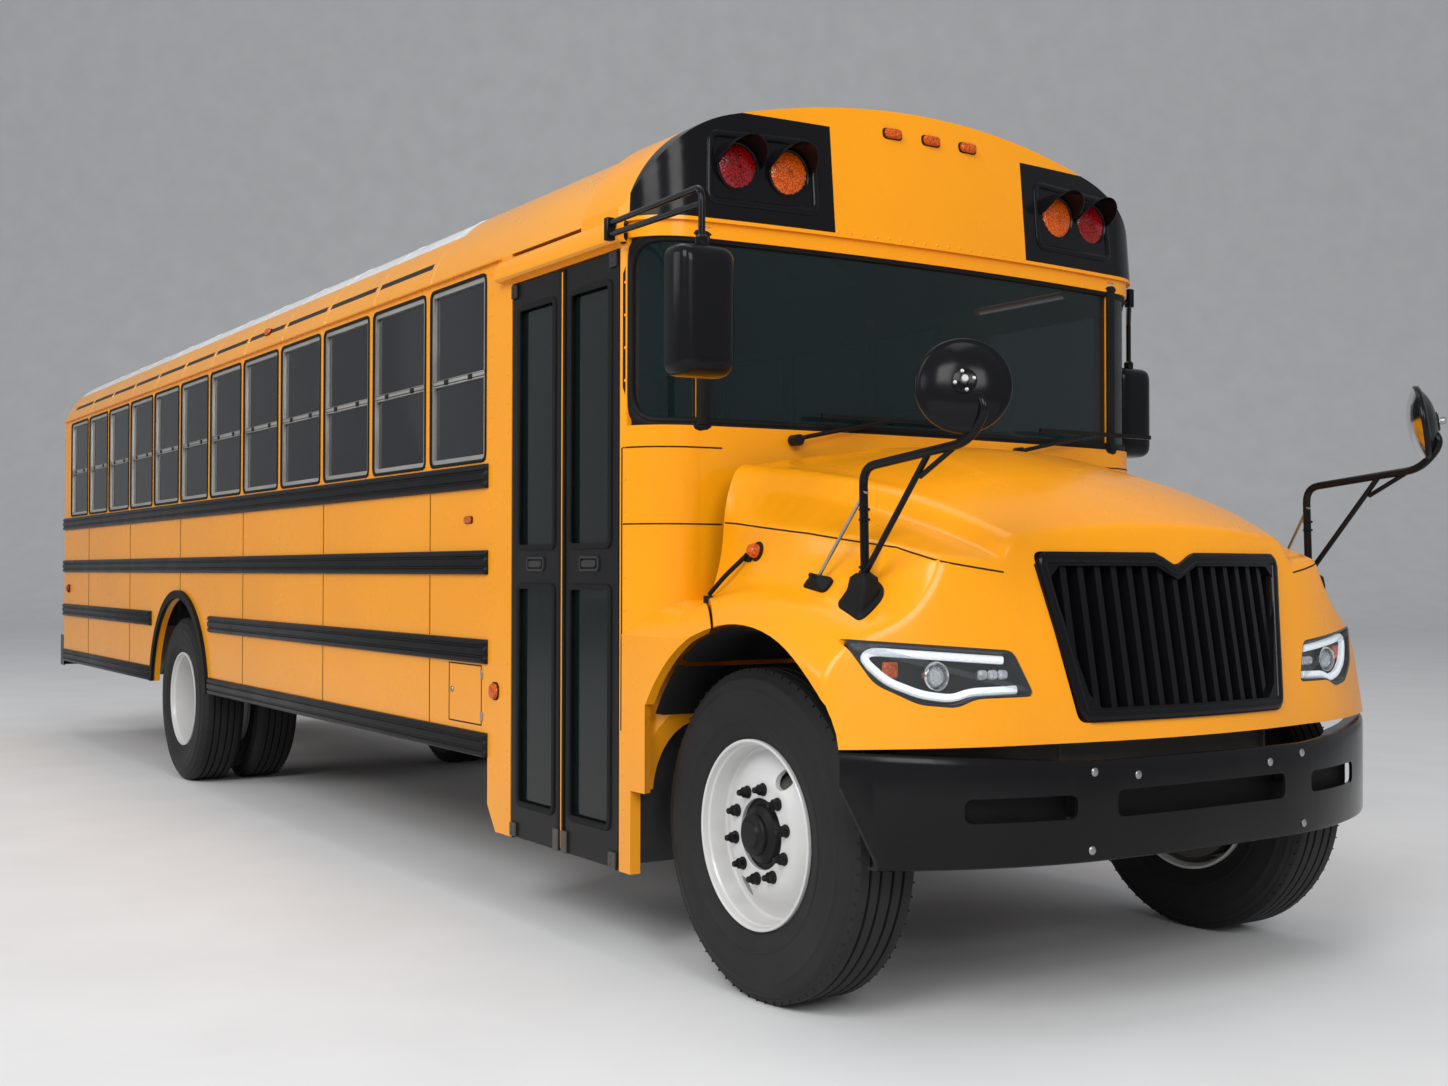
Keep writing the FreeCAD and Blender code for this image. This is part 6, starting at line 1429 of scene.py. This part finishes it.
# Hood seams, latches and side lamps
seams = bmesh.new()
for _, side in SIDES:
    line = ((-0.352, 0.986, 1.512), (-0.256, 1.06, 1.507), (0.153, 1.03, 1.466), (0.488, 0.99, 1.420),
            (0.60, 0.78, 1.372), (0.65, 0.65, 1.347))
    seam_on("hood", [(FRONT_X + x, side * y, z) for x, y, z in line],
            lambda p: Vector((-0.25, -p.y, 0)).normalized(), 0.0012)
piece("hood_seams", seams, RUBBER, "hood")

latch, lamp_body, amber = bmesh.new(), bmesh.new(), bmesh.new()
for _, side in SIDES:
    top, normal = aside("hood", FRONT_X - 0.150, 1.395, side)
    foot, foot_normal = aside("hood", FRONT_X - 0.300, 1.262, side)
    tube(latch, [top + normal * 0.014, (top + foot) / 2 + normal * 0.020, foot + foot_normal * 0.012], 0.008)
    block(latch, foot + Vector((-0.030, -0.014, -0.020)), foot + Vector((0.018, 0.014, 0.006)), 0.004)
    block(latch, top + Vector((-0.018, -0.012, -0.016)), top + Vector((0.020, 0.014, 0.014)), 0.005)
    place, normal = aside("hood", FRONT_X - 0.105, 1.412, side)
    lathe(lamp_body, [(0.034, -0.004), (0.033, 0.004), (0.026, 0.008), (0, 0.008)], place, normal, 28)
    lathe(amber, [(0.024, 0.006), (0.023, 0.022), (0.016, 0.034), (0, 0.038)], place, normal, 24)
piece("hood_latches", latch, RUBBER, "hood")
piece("hood_lamp_feet", lamp_body, RUBBER, "hood")
piece("hood_lamps", amber, AMBER_LENS, "hood")

# Black liners in the front wheel wells
LINER_R = 0.604
LINER = ((0.66, 0), (0.90, 0), (1.150, 0), (1.172, 0.010), (1.172, 0.014), (1.148, 0.004), (0.90, 0.004),
         (0.66, 0.004))
for side_name, side in SIDES:
    for label, body, first, last in (("front", "hood", 41, 126), ("rear", "bus", 129, 150)):
        bm = bmesh.new()
        rings = []
        for k in range(25):
            turn = math.radians(first + (last - first) * k / 24)
            outward = Vector((math.cos(turn), 0, math.sin(turn)))
            rings.append([Vector((ARCH_X, side * y, ARCH_Z)) + outward * (LINER_R + lift)
                          for y, lift in LINER])
        loft(bm, rings)
        piece(f"wheel_liner_{label}_{side_name}", bm, RUBBER, body)


# ---------------------------------------------------------------- bumpers

BUMP_LOW, BUMP_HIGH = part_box("front_bumper")
BUMP_TOP = 0.795


def bumper_front():
    """Deep bumper with rolled edges, bent back at its ends, with three round-cornered slots."""
    x = BUMP_HIGH.x
    line = [(x - 0.300, 1.190), (x - 0.200, 1.045), (x - 0.120, 0.880), (x - 0.052, 0.680), (x - 0.015, 0.480),
            (x - 0.0038, 0.240), (x, 0.0)]
    line += [(px, -py) for px, py in line[::-1][1:]]
    path = rounded(line, 0.10, 4, closed=False)
    low = BUMP_LOW.z
    rows = []
    for i, p in enumerate(path):
        a, b = path[max(0, i - 1)], path[min(len(path) - 1, i + 1)]
        way = (b - a).normalized()
        inward = Vector((way.y, -way.x, 0))
        if inward.x > 0:
            inward = -inward
        top = BUMP_TOP + 0.043 * max(0.0, (abs(p.y) - 0.48) / 0.71)
        lip = 0.017 + 0.043 * clamped((abs(p.y) - 0.62) / 0.15)
        profile = ((0.040, low), (0.012, low), (0.004, low + 0.004), (0.0005, low + 0.014),
                   (0.0005, top - 0.030), (0.004, top - 0.012), (0.010, top - 0.002), (lip, top),
                   (lip, top - 0.008), (0.014, top - 0.012), (0.012, top - 0.030), (0.012, low + 0.012),
                   (0.040, low + 0.008))
        rows.append([Vector((p.x, p.y, z)) + inward * deep for deep, z in profile])
    bm = bmesh.new()
    loft(bm, rows)
    made = piece("bumper_shell", bm, BLACK, "bus", ["front_bumper"], 30)
    cutter = bmesh.new()
    for y, width, z_low, z_high in ((0, 0.76, 0.625, 0.705), (-0.705, 0.35, 0.630, 0.700),
                                    (0.705, 0.35, 0.630, 0.700)):
        ring = rectangle(width, z_high - z_low, 0.026, 5)
        prism(cutter, [(x - 0.4, y + u, (z_low + z_high) / 2 + v) for u, v in ring], (0.6, 0, 0))
    for side in (-1, 1):
        corner = [(1.25, low - 0.02), (1.095, low - 0.02), (1.105, low + 0.03), (1.187, BUMP_TOP - 0.06),
                  (1.25, BUMP_TOP)]
        prism(cutter, [(x - 0.6, side * y, z) for y, z in corner], (0.6, 0, 0))
    carve(made, cutter)
    shade(made.data, 30)
    backs = bmesh.new()
    for y, width in ((0, 0.80), (-0.705, 0.38), (0.705, 0.38)):
        ring = rectangle(width, 0.11, 0.02, 3)
        deep = x - 0.080 - (0.045 if y else 0)
        tilt = 0 if not y else math.copysign(0.20, y)
        loft(backs, [[Vector((deep - out - u * tilt, y + u, 0.665 + v)) for u, v in ring]
                     for out in (0.0, 0.006)])
    for side in (-1, 1):
        y = side * 0.43
        block(backs, (FRONT_X + 0.66, y - 0.035, 0.615), (x - 0.02, y + 0.035, 0.67), 0.006)
        block(backs, (FRONT_X + 0.70, y - 0.005, 0.55), (x - 0.03, y + 0.005, 0.76), 0.002)
    piece("bumper_backing", backs, RUBBER, "bus")
    return made


SURFACES["front_bumper"] = bumper_front()
bolts = bmesh.new()
BOLT_R = 0.013
for y, z in ((0.471, 0.763), (0.481, 0.535), (0.30, 0.745)):
    for side in (1, -1):
        place, normal = ahead("front_bumper", side * y, z)
        dome(bolts, place + normal * 0.0005, normal, BOLT_R, 0.006, 16)
BUMPER_LOW, BUMPER_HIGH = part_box("rear_bumper")
for y in (-0.42, -0.14, 0.14, 0.42):
    for z in (BUMPER_LOW.z + 0.05, BUMPER_HIGH.z - 0.05):
        dome(bolts, (BUMPER_LOW.x, y, z), (-1, 0, 0), BOLT_R, 0.007, 16)
piece("bumper_bolts", bolts, STEEL, "bus")


# ---------------------------------------------------------------- mirrors

def rounded_rings(centre, steps, tall, wide, corner):
    """Rings of a rounded slab facing along x: (x offset, share of its size)."""
    rings = []
    for x, share in steps:
        outline = rectangle(wide * share, tall - wide * (1 - share), corner * share, 6)
        rings.append([Vector((centre.x + x, centre.y + u, centre.z + v)) for u, v in outline])
    return rings


ROD = 0.0105
root_x, top_z, low_z = FRONT_X - 0.645, DOOR_HIGH.z + 0.008 + 0.066, DOOR_HIGH.z + 0.008 + 0.027
arms, glasses = bmesh.new(), bmesh.new()
for low, high in solids("side_mirrors"):
    side = side_of(low)
    # The head stands at the outer end of the arms
    head_x, head_y = (low.x + 0.055, high.y - 0.100) if side > 0 else (high.x - 0.055, low.y + 0.100)
    head_z = low.z + 0.195
    centre = Vector((head_x, head_y, head_z))
    shell = ((-0.055, 0.93), (-0.052, 0.98), (-0.040, 1.0), (-0.005, 1.0), (0.018, 0.97), (0.036, 0.90),
             (0.048, 0.78), (0.054, 0.60), (0.055, 0.40))
    loft(arms, rounded_rings(centre, shell, 0.390, 0.200, 0.045))
    loft(glasses, rounded_rings(centre, ((-0.0535, 0.86), (-0.0548, 0.84)), 0.378, 0.196, 0.04))
    wall_y, elbow_y = side * (HALF - 0.004), side * (HALF + 0.055)
    tube(arms, [(root_x, wall_y, top_z), (root_x, elbow_y, top_z), (head_x, head_y, top_z - 0.060),
                (head_x, head_y, head_z + 0.185)], ROD, 0.045, 14)
    tube(arms, [(root_x, wall_y, low_z), (root_x, elbow_y, low_z), (head_x, head_y, top_z - 0.110),
                (head_x, head_y, top_z - 0.114)], ROD, 0.030, 14)
    for z in (top_z, low_z):
        lathe(arms, [(0.026, 0), (0.026, 0.006), (0.018, 0.014), (0.012, 0.016)],
              (root_x, side * (HALF - 0.002), z), (0, side, 0), 20)
    y_low, y_high = sorted((side * (HALF + 0.04), side * (HALF + 0.072)))
    block(arms, (root_x - 0.014, y_low, low_z - 0.02), (root_x + 0.014, y_high, top_z + 0.02), 0.004)
    lathe(arms, [(0.017, 0), (0.020, 0.004), (0.020, 0.030), (0.014, 0.036), (0.011, 0.036)],
          (head_x, head_y, head_z + 0.188), (0, 0, 1), 20)
piece("mirror_arms_and_heads", arms, BLACK, "bus", ["side_mirrors"], 40)
piece("mirror_glasses", glasses, CHROME, "bus")

arms, glasses, rods, feet = (bmesh.new() for _ in range(4))
for low, high in solids("crossview_mirrors"):
    side = side_of(low)
    x, y = FRONT_X, side * 1.020
    tube(arms, [(x + 0.450, y, 1.300), (x + 0.440, y, 1.655), (x + 0.900, y, 1.700), (x + 0.985, y, 1.790),
                (x + 0.915, y, 1.848)], 0.0135, 0.055, 14)
    tube(arms, [(x + 0.452, y, 1.345), (x + 0.740, y, 1.684)], 0.0095, 0.01)
    tube(arms, [(x + 0.700, y, 1.616), (x + 0.855, y, 1.694)], 0.0080, 0.01)
    for z in (1.335, 1.36, 1.50, 1.53):
        lathe(arms, [(0.0135, -0.004), (0.0175, -0.002), (0.0175, 0.004), (0.0135, 0.006)],
              (x + 0.446, y, z), (0, 0, 1), 16)
    # Foot: tapered cast block on a rubber pad, on the fender
    rings = []
    for out, scale in ((-0.008, 1.0), (0.008, 1.0), (0.012, 0.94), (0.014, 0.80)):
        ring = []
        for u, v in rectangle(0.115, 0.100, 0.022, 4):
            u, v = x + 0.4425 + u * scale, y + side * 0.010 + v * scale
            ring.append(Vector((u, v, cast("hood", (u, v, 1.9), (0, 0, -1))[0].z + out)))
        rings.append(ring)
    for z, half_x, half_y in ((1.300, 0.042, 0.034), (1.332, 0.037, 0.029), (1.344, 0.022, 0.018)):
        rings.append([Vector((x + 0.4525 + u, y + side * 0.008 + v, z))
                      for u, v in rectangle(half_x * 2, half_y * 2, 0.014, 4)])
    loft(feet, rings)
    place, normal = aside("hood", FRONT_X + 0.262, 1.312, side)
    tip = Vector((x + 0.441, y, 1.575))
    tube(rods, [place + normal * 0.012, tip], 0.0055, 0.01, 10)
    lathe(rods, [(0.0055, -0.010), (0.011, -0.010), (0.011, 0.014), (0.0055, 0.016)], tip, tip - place, 12)
    outline = rectangle(0.110, 0.056, 0.02)
    u = Vector((1, 0, -0.12)).normalized()
    v = normal.cross(u).normalized()
    loft(feet, [[place + u * a * s + v * b * s + normal * d for a, b in outline] for s, d in
                ((1.0, -0.006), (1.0, 0.006), (0.8, 0.014), (0.3, 0.030), (0.18, 0.046))])
    normal = Vector((-0.78, -side * 0.60, -0.15)).normalized()
    centre = Vector((x + 0.888, side * 1.027, 1.852))
    back = [(0.131, 0.000), (0.1328, -0.003), (0.1330, -0.010), (0.1315, -0.016), (0.1270, -0.020),
            (0.1220, -0.0205), (0.1130, -0.0270), (0.0930, -0.0400), (0.0700, -0.0500), (0.0450, -0.0560),
            (0.0200, -0.0580), (0, -0.0585)]
    lathe(arms, back, centre, normal, 56)
    plate = centre - normal * 0.0575
    lathe(arms, [(0.034, 0.002), (0.034, -0.004), (0.028, -0.007), (0, -0.007)], plate, normal, 24)
    u = normal.orthogonal().normalized()
    for turn in turns(4, 0.5, 0.5 + math.tau):
        at = plate + (u * math.cos(turn) + normal.cross(u) * math.sin(turn)) * 0.026
        dome(rods, at - normal * 0.006, -normal, 0.006, 0.004, 10)
    lathe(rods, [(0.013, 0.0), (0.013, -0.018), (0.009, -0.024), (0, -0.024)], plate - normal * 0.006,
          normal, 16)
    lathe(glasses, [(0.1295, 0.0), (0.110, 0.012), (0.080, 0.024), (0.045, 0.033), (0, 0.037)], centre, normal)
piece("crossview_arms", arms, BLACK, "hood", ["crossview_mirrors"], 40)
piece("crossview_feet", feet, RUBBER, "hood")
piece("crossview_rods", rods, STEEL, "hood")
piece("crossview_glasses", glasses, CHROME, "hood")


# ---------------------------------------------------------------- stop arm

arm_low, arm_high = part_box("stop_arm")
sign_half = (arm_high.z - arm_low.z) / 2
sign_x = arm_low.x + sign_half
sign_z = (arm_high.z + arm_low.z) / 2
border, lamps, rims = bmesh.new(), bmesh.new(), bmesh.new()
corner_r = sign_half / math.cos(math.pi / 8)
OUTER, INNER, SUNK, PROUD = 0.992, 0.93, -0.0005, 0.0009
for y, way in ((HALF + 0.0282, -1), (HALF + 0.0398, 1)):
    rings = [[(sign_x + corner_r * share * math.cos(t), y + way * lift,
               sign_z + corner_r * share * math.sin(t)) for t in turns(8, math.pi / 8, math.pi / 8 + math.tau)]
             for share, lift in ((OUTER, SUNK), (OUTER, PROUD), (INNER, PROUD), (INNER, SUNK))]
    skin(border, verts_of(border, rings), along=True)
    for dz in (-0.155, 0.155):
        lathe(rims, [(0.053, 0), (0.053, 0.008), (0.049, 0.010), (0.046, 0.007), (0.046, 0)],
              (sign_x, y, sign_z + dz), (0, way, 0), 32, ring=True)
        lathe(lamps, [(0.0465, 0.001), (0.044, 0.007), (0.030, 0.011), (0, 0.013)], (sign_x, y, sign_z + dz),
              (0, way, 0), 32)
piece("stop_sign_border", border, SIGN_WHITE, "stop_arm")
piece("stop_sign_lamps", lamps, RED_LENS, "stop_arm")
piece("stop_sign_lamp_rims", rims, SATIN, "stop_arm")

# ---------------------------------------------------------------- seats

def plump(name, bm, size, pressure, cap):
    """Cushion swelled by a cloth simulation: remeshed, blown up a little and smoothed."""
    made = new_object(name, bm)
    scene = bpy.context.scene
    modify(made, "REMESH", mode="VOXEL", voxel_size=size)
    apply(made)
    before = [v.co.copy() for v in made.data.vertices]
    cloth = modify(made, "CLOTH")
    settings = cloth.settings
    settings.use_pressure = True
    settings.uniform_pressure_force = pressure
    settings.effector_weights.gravity = 0
    settings.tension_stiffness = settings.compression_stiffness = 30
    settings.mass = 0.4
    cloth.point_cache.frame_start, cloth.point_cache.frame_end = 1, 20
    for step in range(1, 21):
        scene.frame_set(step)
    apply(made)
    scene.frame_set(1)
    for vert, old in zip(made.data.vertices, before):
        move = vert.co - old
        if move.length > cap:
            vert.co = old + move.normalized() * cap
    modify(made, "SMOOTH", factor=0.5, iterations=6)
    apply(made)
    return made


def copies(name, made, places, material):
    """One padded piece with the cushion at each place."""
    bm = bmesh.new()
    for place in places:
        mesh = made.data.copy()
        mesh.transform(Matrix.Translation(place))
        bm.from_mesh(mesh)
        bpy.data.meshes.remove(mesh)
    done = piece(name, bm, material, "bus", angle=60)
    return done


BENCHES = solids("bench_seats")
THICKEST_CUSHION = 0.2
CUSHIONS = [(low, high) for low, high in BENCHES if high.z - low.z < THICKEST_CUSHION]
BACKS = [(low, high) for low, high in BENCHES if high.z - low.z >= THICKEST_CUSHION]
first_low, first_high = CUSHIONS[0]
size = first_high - first_low
bm = bmesh.new()
block(bm, -size / 2 + Vector((0.010, 0.010, 0.004)), size / 2 - Vector((0.010, 0.010, 0.012)), 0.035,
      segments=4)
cushion = plump("cushion_form", bm, 0.020, 4.0, 0.014)
back_low, back_high = BACKS[0]
# A bench back from the side: (x from its rear edge, z), for a back 0.15 deep and 0.68 tall
lean = [(-0.012, 0.0), (-0.075, 0.0), (-0.146, 0.60), (-0.135, 0.66), (-0.110, 0.676), (-0.085, 0.66),
        (-0.068, 0.60)]
tall, deep = back_high.z - back_low.z, back_high.x - back_low.x
bm = bmesh.new()
profile = [(back_high.x + u * deep / 0.15 - back_low.x - deep / 2, v * tall / 0.68 - tall / 2 + 0.002)
           for u, v in lean]
width = back_high.y - back_low.y
prism(bm, [(x, -width / 2 + 0.012, z) for x, z in profile], (0, width - 0.024, 0), 0.016, 3)
backrest = plump("back_form", bm, 0.020, 3.0, 0.012)
for label, pairs, form, fill in (("cushions", CUSHIONS, cushion, 0.7), ("backs", BACKS, backrest, 0.6)):
    for side_name, side in SIDES:
        places = [(low + high) / 2 for low, high in pairs if (low.y + high.y) * side > 0]
        made = copies(f"bench_{label}_{side_name}", form, places, VINYL)
        if label == "cushions" and side > 0:
            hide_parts("bench_seats")
for form in (cushion, backrest):
    bpy.data.objects.remove(form)

# Driver's seat: pedestal, cushion, tall back and head pad
low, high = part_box("driver_seat")
middle_y = (low.y + high.y) / 2
bm = bmesh.new()
block(bm, (high.x - 0.37, middle_y - 0.14, low.z), (high.x - 0.11, middle_y + 0.14, low.z + 0.05), 0.008)
block(bm, (high.x - 0.31, middle_y - 0.09, low.z + 0.04), (high.x - 0.17, middle_y + 0.09, low.z + 0.24), 0.02)
block(bm, (high.x - 0.42, middle_y - 0.20, low.z + 0.225), (high.x - 0.04, middle_y + 0.20, low.z + 0.26), 0.01)
piece("driver_seat_stand", bm, SATIN, "bus", ["driver_seat"])
bm = bmesh.new()
block(bm, (high.x - 0.475, middle_y - 0.232, low.z + 0.262), (high.x - 0.006, middle_y + 0.232, low.z + 0.375),
      0.045, segments=4)
pad_seat = plump("driver_seat_cushion", bm, 0.014, 4.0, 0.010)
dress(pad_seat, CLOTH, "bus", angle=60)
bm = bmesh.new()
rings = []
for z, wide, front in ((0.37, 0.40, 0.10), (0.50, 0.45, 0.106), (0.70, 0.44, 0.104), (0.86, 0.38, 0.10),
                       (0.92, 0.27, 0.092), (1.00, 0.25, 0.092), (1.075, 0.20, 0.085)):
    outline = rectangle(front - 0.008, wide, 0.035, 5)
    rings.append([Vector((low.x + 0.057 + u, middle_y + v, low.z + z)) for u, v in outline])
loft(bm, rings)
pad_back = plump("driver_seat_back", bm, 0.013, 3.0, 0.008)
dress(pad_back, CLOTH, "bus", angle=60)


stage_floor()
light_and_camera()
